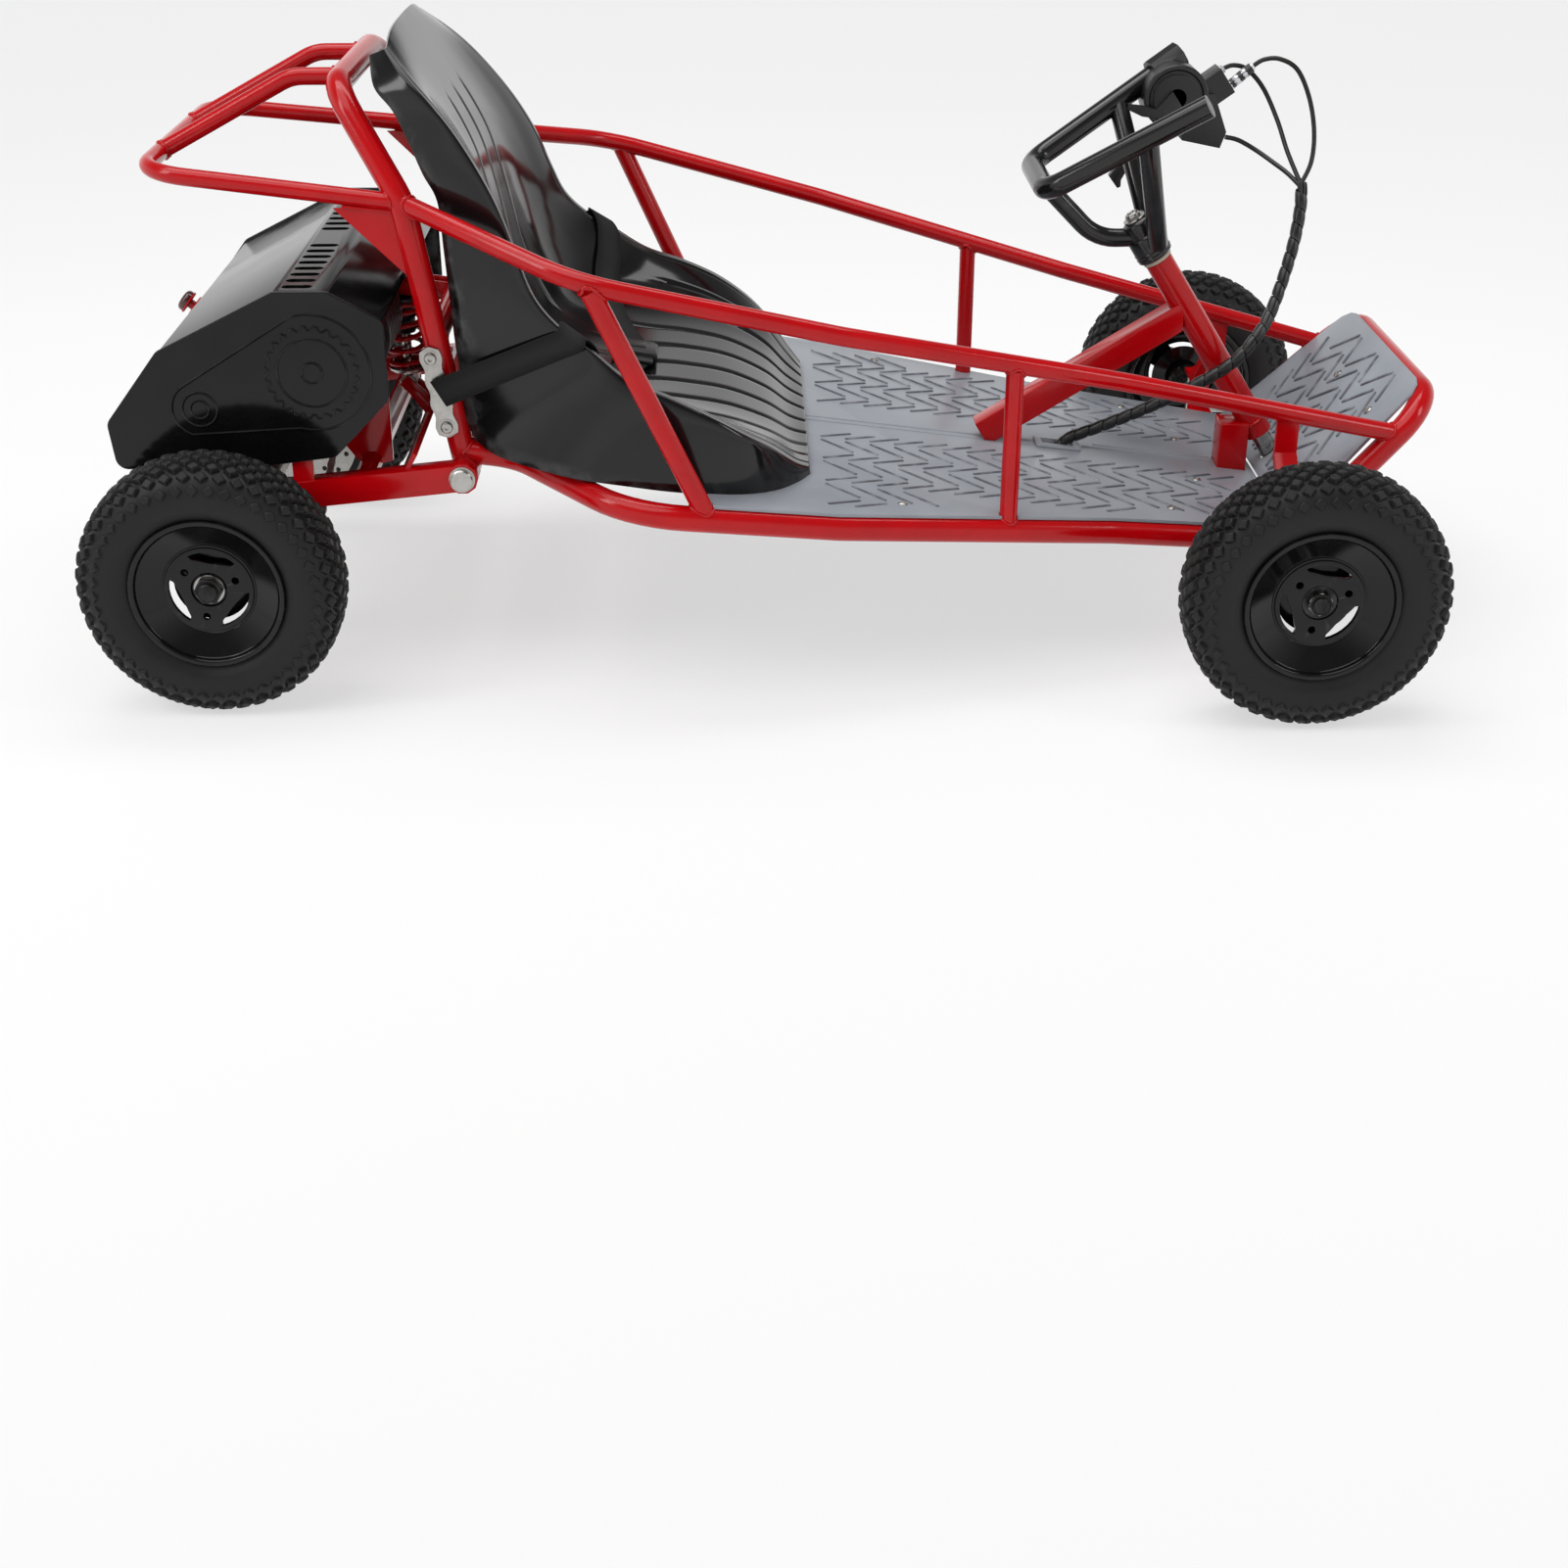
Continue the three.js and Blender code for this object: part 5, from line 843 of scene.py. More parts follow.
class Finishes:
    """All finishes of the kart."""

    RED = Finish(
        "red_powder_coat", Slot.RED, (0.52, 0.0008, 0.0035), (0.44, 0.0005, 0.0028), 0.15, 0.05,
        coat=0.08, height=0.00002, scale=420, wear=0.04, worn=(0.62, 0.12, 0.11),
        dust=0.008, dust_colour=(0.5, 0.2, 0.18), specular=0.3,
    )
    BLACK = Finish(
        "black_gloss_paint", Slot.BLACK, (0.0035, 0.0035, 0.004), (0.006, 0.006, 0.0065), 0.09, 0.06,
        height=0.000012, scale=330, wear=0.06, dust=0.01, specular=0.3,
    )
    BAR = Finish(
        "bar_gloss_paint", Slot.BLACK, (0.004, 0.004, 0.004), (0.008, 0.007, 0.007), 0.15, 0.07,
        height=0.000014, scale=420, wear=0.12, dust=0.02, specular=0.5,
    )
    SEAT = Finish(
        "seat_moulded_plastic", Slot.SEAT, (0.0035, 0.0035, 0.004), (0.006, 0.006, 0.0065), 0.10, 0.05,
        height=0.00001, scale=240, swell=9, wear=0.08, dust=0.01, specular=0.42,
    )
    DECK = Finish(
        "deck_grey_paint", Slot.DECK, (0.26, 0.285, 0.32), (0.31, 0.335, 0.37), 0.28, 0.10,
        height=0.00003, scale=600, wear=0.25, worn=(0.5, 0.5, 0.52), dust=0.1, dust_colour=(0.45, 0.43, 0.4),
    )
    # Deck ribs: the dark colour is painted shade of the raised ribs, and the pale edge colour at wear 0.9 is
    # a painted highlight.
    RIB = Finish(
        "deck_rib_paint", Slot.DECK, (0.07, 0.077, 0.095), (0.11, 0.118, 0.14), 0.28, 0.1,
        height=0.00003, scale=600, wear=0.9, worn=(0.5, 0.52, 0.56), dust=0.03,
    )
    TYRE = Finish(
        "tyre_black_rubber", Slot.TYRE, (0.005, 0.005, 0.0055), (0.011, 0.0105, 0.0105), 0.44, 0.16,
        texture=Texture.GRAIN, height=0.0001, scale=700, wear=0.12, worn=(0.05, 0.048, 0.045),
        dust=0.08, dust_colour=(0.09, 0.085, 0.08), specular=0.3,
    )
    STEEL = Finish(
        "zinc_plated_steel", Slot.STEEL, (0.34, 0.325, 0.30), (0.50, 0.49, 0.47), 0.20, 0.14, 1.0,
        texture=Texture.BRUSHED, height=0.00001, wear=0.1, dust=0.05,
    )
    # Nuts, washers and axle tips at the wheel centres: coloured near-black as painted shade, to stand for the
    # dark hollow of the hub.
    HUB = Finish(
        "hub_blacked_steel", Slot.STEEL, (0.004, 0.004, 0.004), (0.009, 0.009, 0.009), 0.30, 0.12, 0.3,
        texture=Texture.BRUSHED, height=0.00001, wear=0.15, dust=0.02, specular=0.3,
    )
    CHAIN = Finish(
        "oiled_chain_steel", Slot.STEEL, (0.16, 0.15, 0.14), (0.26, 0.25, 0.24), 0.32, 0.2, 1.0,
        texture=Texture.BRUSHED, height=0.00001, wear=0.4, dust=0.1,
    )
    DARK = Finish(
        "dark_cast_metal", Slot.DARK, (0.010, 0.010, 0.011), (0.02, 0.02, 0.022), 0.28, 0.12, 0.3,
        height=0.00004, scale=500, wear=0.3, dust=0.05, worn=(0.3, 0.3, 0.3),
    )
    SATIN = Finish(
        "lever_moulded_plastic", Slot.SATIN, (0.005, 0.005, 0.0055), (0.010, 0.010, 0.010), 0.30, 0.12,
        texture=Texture.GRAIN, height=0.00004, scale=900, wear=0.2, dust=0.04, worn=(0.08, 0.08, 0.08),
        specular=0.45,
    )
    WEB = Finish(
        "belt_black_webbing", Slot.WEB, (0.003, 0.003, 0.003), (0.018, 0.018, 0.019), 0.75, 0.15,
        texture=Texture.WEAVE, height=0.00035, wear=0.0, dust=0.03, specular=0.3,
    )
    CABLE = Finish(
        "cable_black_jacket", Slot.CABLE, (0.005, 0.005, 0.005), (0.011, 0.010, 0.010), 0.26, 0.1,
        texture=Texture.GRAIN, height=0.00002, scale=500, wear=0.1, dust=0.03, specular=0.45,
    )
    CREAM = Finish(
        "headset_cream_plastic", Slot.CREAM, (0.52, 0.46, 0.35), (0.44, 0.39, 0.30), 0.45, 0.1,
        height=0.00003, scale=500, wear=0.1, dust=0.1,
    )
    LENS = Finish(
        "lamp_dark_lens", Slot.LAMP, (0.05, 0.004, 0.005), (0.09, 0.006, 0.008), 0.12, 0.06,
        coat=0.4, height=0.00001, scale=400, wear=0.1, dust=0.05,
    )
    CLEAR = Finish(
        "adjuster_pale_plastic", Slot.STEEL, (0.62, 0.62, 0.66), (0.75, 0.75, 0.78), 0.15, 0.1, 0.35,
        texture=Texture.BRUSHED, height=0.00001, wear=0.1, dust=0.03,
    )


# Frame.


def sill_z(x: float) -> float:
    """Height of the lower tubes' centre line at a place along the kart."""
    return 198.3 - 93.1 * (x + 262.0) / 752.0


def deck_z(x: float) -> float:
    """Height of the floor's top face at a place along the kart."""
    return sill_z(x) + 14.5


@dataclass
class Weld:
    """A bead of weld where a thin tube stands on a thicker one."""

    name: str
    foot: Point
    along: Point
    diameter: float
    big_point: Point
    big_along: Point
    big_diameter: float
    bead: float = 1.5

    def build(self) -> Object:
        """Makes the bead along the saddle line between the two tubes."""
        out = Vector(self.along).normalized()
        big = Vector(self.big_along).normalized()
        side = out.cross(big)
        side = side.normalized() if side.length > 0.05 else out.orthogonal().normalized()
        other = out.cross(side)
        radius = self.diameter / 2
        reach = self.big_diameter / 2
        cross = out.cross(big)
        a = cross.length_squared
        points, swell = [], []
        count = 44
        for k in range(count):
            angle = 2 * math.pi * k / count
            start = Vector(self.foot) + (side * math.cos(angle) + other * math.sin(angle)) * radius
            gap = (start - Vector(self.big_point)).cross(big)
            b = 2 * cross.dot(gap)
            c = gap.length_squared - reach * reach
            root = max(b * b - 4 * a * c, 0.0)
            share = (-b + math.sqrt(root)) / (2 * a) if a > 1e-6 else reach
            points.append(start + out * min(share, 3 * reach))
            swell.append(0.85 + 0.3 * abs(math.sin(angle * 11)))
        return Bench.tube(self.name, points, 2 * self.bead, 8, closed=True, swell=swell)


@dataclass
class TubeFrame:
    """The welded tube frame, with its gussets and weld beads."""

    main: float = 22.4
    rail: float = 16.5
    post: float = 16.0
    brace: float = 18.0
    rack: float = 15.0
    cross: float = 19.0
    hoop_joint: Point = (-301, 165, 418)
    hoop_foot: Point = (-262, 165, 184)
    hoop_top: Point = (-358, 115, 505)
    pivot: Point = (-262, 0, 184)
    welds: list[Weld] = field(default_factory=list)

    def build(self) -> None:
        """Builds every tube of the frame."""
        self._hoop()
        self._front_loop()
        self._rack()
        for side in Side:
            self._side(side)
        self._crossings()
        self._beads()

    def _hoop(self) -> None:
        """Builds the main hoop behind the seat and its two gussets."""
        half = [self.hoop_foot, self.hoop_joint, self.hoop_top]
        hoop = Bench.pipe("hoop_tube", half + flip(half)[::-1], self.main, 45)
        parts = [hoop]
        for side in Side:
            y = 165 * side.value
            points = [(-301, 416), (-360, 414), (-289.5, 344)]
            parts.append(Bench.plate("gusset", points, y - 1.5, y + 1.5, 0.6))
            edge = [(-296, y - 2, 408), (-293, y - 2, 380), (-288, y - 2, 350)]
            parts.append(Bench.tube("gusset_bead", smooth_line([Vector(p) for p in edge], 6), 3.0, 8))
            top = [(-305, y - 2, 410.5), (-330, y - 2, 413.2), (-352, y - 2, 415.5)]
            parts.append(Bench.tube("gusset_bead", smooth_line([Vector(p) for p in top], 6), 3.0, 8))
        Bench.finish(Bench.joined("main_hoop_tube", parts), "frame", Finishes.RED, ["main_hoop"])

    def _front_loop(self) -> None:
        """Builds the loop round the foot plate."""
        half = [(425, 171.5, 113.2), (490, 160, 105.2), (610, 139, 230)]
        loop = Bench.pipe("front_loop_tube", half + flip(half)[::-1], self.main, 45)
        Bench.finish(loop, "frame", Finishes.RED, ["front_loop"])

    def _rack(self) -> None:
        """Builds the rack behind the hoop."""
        half = [self.hoop_joint, (-524, 150, 442)]
        parts = [Bench.pipe("rack_loop", half + flip(half)[::-1], self.rack, 42)]
        for side in Side:
            rail = sided([(-358, 64, 505), (-404, 64, 505), (-524, 64, 442)], side)
            parts.append(Bench.pipe("rack_rail", rail, self.rack, 42))
        Bench.finish(Bench.joined("rear_rack_tubes", parts), "frame", Finishes.RED, ["rear_rack"])

    def _side(self, side: Side) -> None:
        """Builds the long tubes and posts of one side."""
        word = side.word
        sill = [
            (-262, 165, 198.3), (-217, 165, 192.7), (-110, 281.7, 179.5), (70, 258, 157.2), (320, 190, 126.2),
            (424.8, 171.5, 113.2)
        ]
        rail = [
            (-301, 165, 418), (-150, 287, 380.9), (70, 258, 326.8), (320, 190, 265.3), (582, 143.9, 200.9)
        ]
        upright = [(221, 216.9, 144.1), (221, 216.9, 284.7)]
        brace = [(-46.3, 273.3, 176.4), (-136.9, 285.3, 373.7)]
        for name, route, size, bend in (
            ("lower_tube", sill, self.main, 90),
            ("side_rail", rail, self.rail, 90),
            ("upright", upright, self.post, 0),
            ("slant_brace", brace, self.brace, 0),
        ):
            made = Bench.pipe(f"{name}_{word}_tube", sided(route, side), size, bend)
            Bench.finish(made, "frame", Finishes.RED, [f"{name}_{word}"])
        shoulder, shoulder_run, nose = (-301, 165, 418), (-48, -25, 160), (582, 143.9, 200.9)
        for joint in (
            (upright[1], (0, 0, -1), self.post, (221, 216.9, 289.7), (-250, 68, 61.5), self.rail),
            (upright[0], (0, 0, 1), self.post, (221, 216.9, 138.5), (-250, 68, 31), self.main),
            (brace[1], (90.6, -12, -197), self.brace, (-139, 285.6, 378.2), (220, -29, -54), self.rail),
            (brace[0], (-90.6, 12, 197), self.brace, (-44, 273, 171.3), (180, -24, -22), self.main),
            (shoulder, (151, 122, -37), self.rail, shoulder, shoulder_run, self.main),
            (shoulder, (-223, -15, 24), self.rack, shoulder, shoulder_run, self.main),
            ((-404, 64, 505), (-1, 0, 0), self.rack, (-358, 64, 505), (0, 1, 0), self.main),
            ((-480, 64, 465), (120, 0, 63), self.rack, (-524, 64, 442), (0, 1, 0), self.rack),
            (nose, (-262, 46.1, 64.4), self.rail, nose, (120, -21, 125), self.main),
            ((-217, 165, 192.7), (45, 0, -5.6), self.main, (-262, 165, 190), (-39, 0, 234), self.main),
        ):
            self._weld(side, *joint)

    def _weld(
        self, side: Side, foot: Point, along: Point, size: float, big: Point, big_along: Point,
        big_size: float
    ) -> None:
        """Notes a weld bead for a joint given for the left side.

        Args:
            side: Side of the kart that the bead is on.
            foot: End of the tube that is welded on.
            along: Direction of that tube.
            size: Its diameter.
            big: A point on the tube that carries it.
            big_along: Direction of the carrying tube.
            big_size: Its diameter.
        """
        turned = sided([foot, along, big, big_along], side)
        name = f"weld_{side.word}_{len(self.welds)}"
        self.welds.append(Weld(name, turned[0], turned[1], size, turned[2], turned[3], big_size))

    def _crossings(self) -> None:
        """Builds the tubes that cross the kart under the seat and behind it."""
        for name, x, half in (("seat_cross_rear", -188, 196.6), ("seat_cross_front", -25, 270.5)):
            z = sill_z(x)
            made = Bench.pipe(f"{name}_tube", [(x, -half, z), (x, half, z)], self.cross)
            Bench.finish(made, "frame", Finishes.RED, [name])
            for side in Side:
                run = (40, 40, -5) if x < -100 else (180, -24, -22)
                self._weld(side, (x, half - 30, z), (0, -1, 0), self.cross, (x, half, z), run, self.main)
        parts = [Bench.pipe("upper_cross", [(-281.3, -165, 300), (-281.3, 165, 300)], self.cross)]
        ear = [(-281.3, 308.5), (-336, 316), (-340, 312), (-340, 302), (-335, 299), (-281.3, 291.5)]
        for y in (8, -12):
            parts.append(Bench.plate("shock_ear", ear, y, y + 4, 0.8))
        parts.append(
            Bench.turned(
                "shock_bolt",
                [(0, -15), (6, -15), (6, -12), (4, -12), (4, 12), (6.5, 12), (6.5, 16), (0, 16)],
                (-332, 0, 308), 12
            )
        )
        Bench.finish(Bench.joined("shock_tower_set", parts), "frame", Finishes.RED)
        for side in Side:
            for foot, big, run in (
                ((-281.3, 130, 300), (-281.3, 165, 300), (-39, 0, 234)),
                ((463, 120, 108.5), (463, 164.8, 108.5), (65, -11.5, -8)),
            ):
                self._weld(side, foot, (0, -1, 0), self.cross, big, run, self.main)
        pivot = [(6.4, -176), (12.2, -177.8), (13, -177), (13, 177), (12.2, 177.8), (6.4, 176)]
        tube = Bench.turned("pivot_tube_bar", pivot + [pivot[0]], self.pivot, 40)
        Bench.finish(tube, "frame", Finishes.RED, ["pivot_tube"])
        head = [
            (0, 201), (6, 201), (6, 201.3), (11.5, 201.3), (11.5, 202.3), (9.2, 202.8), (10.4, 207.4),
            (9.2, 208.6), (0, 208.6)
        ]
        bolt = Bench.turned("pivot_bolt_bar", [(r, -y) for r, y in head[::-1]] + head, self.pivot, 24)
        Bench.finish(bolt, "frame", Finishes.STEEL, ["pivot_bolt"])

    def _beads(self) -> None:
        """Builds the weld beads noted while the tubes were built."""
        beads = [weld.build() for weld in self.welds]
        for side in Side:
            y = 171.5 * side.value
            ring = self._ring((425, y, 113.2), (0.985, -0.173 * side.value, -0.124), self.main / 2)
            swell = [0.8 + 0.3 * (k % 2) for k in range(len(ring))]
            beads.append(Bench.tube("loop_bead", ring, 3.0, 8, closed=True, swell=swell))
        Bench.finish(Bench.joined("frame_weld_beads", beads), "frame", Finishes.RED, angle=60)

    @staticmethod
    def _ring(centre: Point, along: Point, radius: float, count: int = 48) -> list[Vector]:
        """Returns the places of a ring about a tube.

        Args:
            centre: Centre of the ring.
            along: Direction of the tube.
            radius: Radius of the ring.
            count: Number of places.

        Returns:
            The places round the tube.
        """
        axis = Vector(along).normalized()
        side = axis.orthogonal().normalized()
        other = axis.cross(side)
        turns = [2 * math.pi * k / count for k in range(count)]
        return [Vector(centre) + (side * math.cos(a) + other * math.sin(a)) * radius for a in turns]


# Steering.


@dataclass
class Steering:
    """Head tube, column, handlebar and the levers on its left handle."""

    lean: float = math.radians(33.4)
    head: Point = (378, 0, 325)
    bar: float = 20.4

    def on_axis(self, along: float, forward: float = 0, left: float = 0) -> Point:
        """Returns a point by its place along, ahead of and beside the steering axis."""
        s, c = math.sin(self.lean), math.cos(self.lean)
        return (self.head[0] - s * along + c * forward, left, self.head[2] + c * along + s * forward)

    def axis(self) -> Point:
        """Returns the direction of the steering axis, upwards."""
        return (-math.sin(self.lean), 0, math.cos(self.lean))

    def lathe(self, name: str, profile: Sequence[tuple[float, float]], steps: int = 40) -> Object:
        """Turns a profile about the steering axis."""
        return Bench.turned(name, profile, self.head, steps, self.axis())

    def build(self) -> None:
        """Builds the head of the frame and all that turns with the handlebar."""
        self._head()
        self._column()
        self._handlebar()
        self._levers()

    def _head(self) -> None:
        """Builds the head tube, its foot box, the front cross tube and the brace."""
        tube = self.lathe("head", [(9.4, 0), (12.4, 0), (13, -0.6), (13, -203), (0, -203)])
        box = Bench.block("foot_box", (463, 0, 138.5), (28, 30, 60), 0, 1.6, 3)
        cross = Bench.pipe("front_cross", [(463, -158, 108.5), (463, 158, 108.5)], 19)
        ring = TubeFrame._ring(self.on_axis(-188), self.axis(), 13.4)
        swell = [0.8 + 0.35 * (k % 2) for k in range(len(ring))]
        bead = Bench.tube("head_bead", ring, 3.2, 8, closed=True, swell=swell)
        head = Bench.joined("head_tube_set", [tube, box, cross, bead])
        Bench.finish(head, "frame", Finishes.RED, ["head_tube"])
        brace = Bench.from_cad("column_brace", "column_brace_bar", 2.6, 3, 50)
        Bench.finish(brace, "frame", Finishes.RED, ["column_brace"])
        ring = [(9.3, 0.3), (13.6, 0.3), (14, 0.8), (14, 3.5), (13.5, 4), (9.3, 4), (9.3, 0.3)]
        Bench.finish(self.lathe("headset_ring_piece", ring), "frame", Finishes.CREAM, ["headset_ring"])

    def _column(self) -> None:
        """Builds the steering shaft with its drop arm."""
        shaft = self.lathe("shaft", [(0, -264), (8, -264), (9, -263), (9, 38), (0, 38)])
        arm = Bench.from_cad("steering_column", "drop_arm", 0.7)
        column = Bench.joined("steering_shaft", [arm, shaft])
        Bench.finish(column, "steering", Finishes.STEEL, ["steering_column"])

    def _handlebar(self) -> None:
        """Builds the handlebar loop, its struts, the clamp and its bolt."""
        half = [(393, 104, 484), (261, 60, 402)]
        loop = Bench.tube("bar_loop", rounded(half + flip(half)[::-1], 24, 6), self.bar, 32, ends=1.4)
        parts = [loop]
        for side in Side:
            strut = sided([(373, 21, 344), (344.2, 87.7, 453.7)], side)
            parts.append(Bench.pipe("bar_strut", strut, 18.4, 0, 32, 2.2))
        parts.append(Bench.pipe("bar_stay", [(261, 0, 402), (318, 0, 345), (364, 0, 346)], 17, 45, 32))
        clamp = [
            (0, 4.3), (15.6, 4.3), (17, 5.7), (17, 27), (16, 28.5), (14.2, 29.5), (14.2, 41), (13.2, 43),
            (9, 45.3), (0, 46.3)
        ]
        parts.append(self.lathe("bar_clamp", clamp, 48))
        for along in (9.0, 13.0):
            ring = TubeFrame._ring(self.on_axis(along), self.axis(), 17.0)
            parts.append(Bench.tube("clamp_groove", ring, 1.1, 8, closed=True))
        Bench.finish(Bench.joined("handlebar_set", parts), "steering", Finishes.BAR, ["handlebar"])
        washer = self.lathe("clamp_washer", [(0, 45.6), (10.5, 45.6), (10.5, 47.2), (0, 47.2)], 36)
        bolt = self.lathe(
            "clamp_bolt", [(0, 47), (7, 47), (7, 51), (6, 52.3), (3.4, 52.3), (3.4, 49.6), (0, 49.6)], 6
        )
        Bench.bevel(bolt, 0.5, 2, 25)
        Bench.finish(Bench.joined("clamp_bolt_set", [washer, bolt]), "steering", Finishes.STEEL)

    def _levers(self) -> None:
        """Builds the lever housing, the brake lever and the throttle."""
        housing = Bench.from_cad("lever_housing", "lever_housing_body", 1.8, 3, 35)
        centre = (396, 0, 460)
        face = [(0, 61.7), (9, 61.7), (11, 63), (19, 63), (22, 64.5), (22, 67), (0, 67)]
        dial = Bench.turned("dial", face, centre, 40)
        edge = [(24, 66.5), (26, 64.6), (29, 64.6), (30.3, 66), (30.3, 104), (24, 104), (24, 66.5)]
        rim = Bench.turned("dial_rim", edge, centre, 48)
        body = Bench.joined("lever_housing_set", [housing, dial, rim])
        Bench.finish(body, "steering", Finishes.SATIN, ["lever_housing"])
        barrels = []
        for low, high in (((452, 106, 462.5), (475, 106, 482.4)), ((441, 114, 473), (448.5, 114.3, 479))):
            a, b = Vector(low), Vector(high)
            route = [a.lerp(b, k / 10) for k in range(11)]
            swell = [1.0, 1.0, 0.8, 1.0, 1.0, 0.75, 0.95, 0.95, 0.7, 0.85, 0.6]
            barrels.append(Bench.tube("adjuster", route, 10.4, 18, swell=swell))
        Bench.finish(Bench.joined("cable_adjusters", barrels), "steering", Finishes.CLEAR, angle=25)
        lever = Bench.from_cad("brake_lever", "brake_lever_blade", 2.2, 3, 50)
        Bench.finish(lever, "brake_lever", Finishes.SATIN, ["brake_lever"])
        trigger = Bench.from_cad("throttle_trigger", "throttle_paddle", 2.0, 3, 50)
        Bench.finish(trigger, "throttle_trigger", Finishes.SATIN, ["throttle_trigger"])


# Cables.


@dataclass
class Cables:
    """Three control cables and the spiral wrap that bundles them."""

    cable: float = 4.4
    wrap: float = 11.0

    WRAP = [
        (517, 46, 386), (517, 38, 364), (509, 22, 327), (489, -6, 278), (470, -24, 253), (448, -31, 232),
        (409, -33, 209), (369, -24, 186), (330, -9, 164), (302, 0, 149), (291, 0, 132),
    ]
    BRAKE = [
        (473.6, 106, 481.2), (484, 105, 488), (499, 102, 489), (515, 95, 480), (526, 83, 456), (530, 68, 428),
        (527, 55, 403), (517, 46, 384),
    ]
    SWITCH = [
        (447, 114, 478), (458, 117, 481), (472, 117, 477), (487, 108, 461), (499, 90, 435), (507, 69, 409),
        (517, 46, 384),
    ]
    THROTTLE = [
        (452, 97, 418), (465, 97, 415), (481, 91, 407), (496, 77, 398), (507, 62, 391), (517, 46, 382)
    ]

    def build(self) -> None:
        """Builds the cables, their wrap and its collar."""
        parts = []
        for name, route in (("brake", self.BRAKE), ("switch", self.SWITCH), ("throttle", self.THROTTLE)):
            line = smooth_line([Vector(p) for p in route], 8)
            parts.append(Bench.tube(f"{name}_cable", line, self.cable, 16))
        spine = smooth_line([Vector(p) for p in self.WRAP], 12)
        for k in range(3):
            turn = 2 * math.pi * k / 3
            parts.append(Bench.tube("bundled", self._beside(spine, 2.4, turn), self.cable - 0.6, 12))
        parts.append(self._spiral(spine))
        cables = Bench.joined("control_cable_loom", parts)
        Bench.dress(cables, Finishes.CABLE, ["control_cables", "lever_cables"], 45)
        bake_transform(cables)
        collar = Bench.block(
            "slot_collar", (293, 0, deck_z(293) + 1.2), (44, 30, 3.2), math.radians(7.1), 1.4, 3
        )
        slot = Bench.block("slot_cut", (293, 0, deck_z(293)), (31, 15, 30), 0, 0)
        Bench.finish(Bench.carved(collar, [slot]), "frame", Finishes.DECK)

    @staticmethod
    def _beside(spine: Sequence[Vector], offset: float, turn: float) -> list[Vector]:
        """Returns a line that runs beside the spine at an offset.

        Args:
            spine: Stations of the spine.
            offset: Distance from it.
            turn: Angle round it.

        Returns:
            Stations of the line.
        """
        line = []
        for i, here in enumerate(spine):
            ahead = (spine[min(i + 1, len(spine) - 1)] - spine[max(i - 1, 0)]).normalized()
            side = ahead.cross(Vector((0, 1, 0))).normalized()
            line.append(here + (side * math.cos(turn) + side.cross(ahead) * math.sin(turn)) * offset)
        return line

    def _spiral(self, spine: Sequence[Vector]) -> Object:
        """Winds a flat strip round the spine, as a ribbon with thickness."""
        lengths = [0.0]
        for a, b in zip(spine, spine[1:]):
            lengths.append(lengths[-1] + (b - a).length)
        pitch, width, per_turn = 15.0, 13.6, 18
        count = int((lengths[-1] - width) / pitch * per_turn)
        radius = self.wrap / 2

        def along(length: float) -> tuple[Vector, Vector]:
            """Returns the spine's place and direction at a length."""
            i = 0
            while i < len(lengths) - 2 and lengths[i + 1] < length:
                i += 1
            span = lengths[i + 1] - lengths[i]
            where = spine[i].lerp(spine[i + 1], (length - lengths[i]) / span)
            return where, (spine[i + 1] - spine[i]).normalized()

        Bench.clear()
        bpy.ops.mesh.primitive_grid_add(x_subdivisions=4, y_subdivisions=count, size=1, location=(0, 0, 0))
        strip = Bench.taken("wrap_strip")
        places = []
        for k in range(count + 1):
            for j in range(5):
                here, ahead = along(k / per_turn * pitch + width * j / 4)
                side = ahead.cross(Vector((0, 1, 0))).normalized()
                other = side.cross(ahead)
                angle = 2 * math.pi * k / per_turn
                crown = radius - (0.5 if j in (0, 4) else 0.0)
                places.append(spot(here + (side * math.cos(angle) + other * math.sin(angle)) * crown))
        Bench.set_places(strip, places)
        wall = strip.modifiers.new("Wall", "SOLIDIFY")
        wall.thickness = 0.9 * MM
        wall.offset = 0.0
        return Bench.tidy(Bench.apply(strip), 0.001)


# Floor.


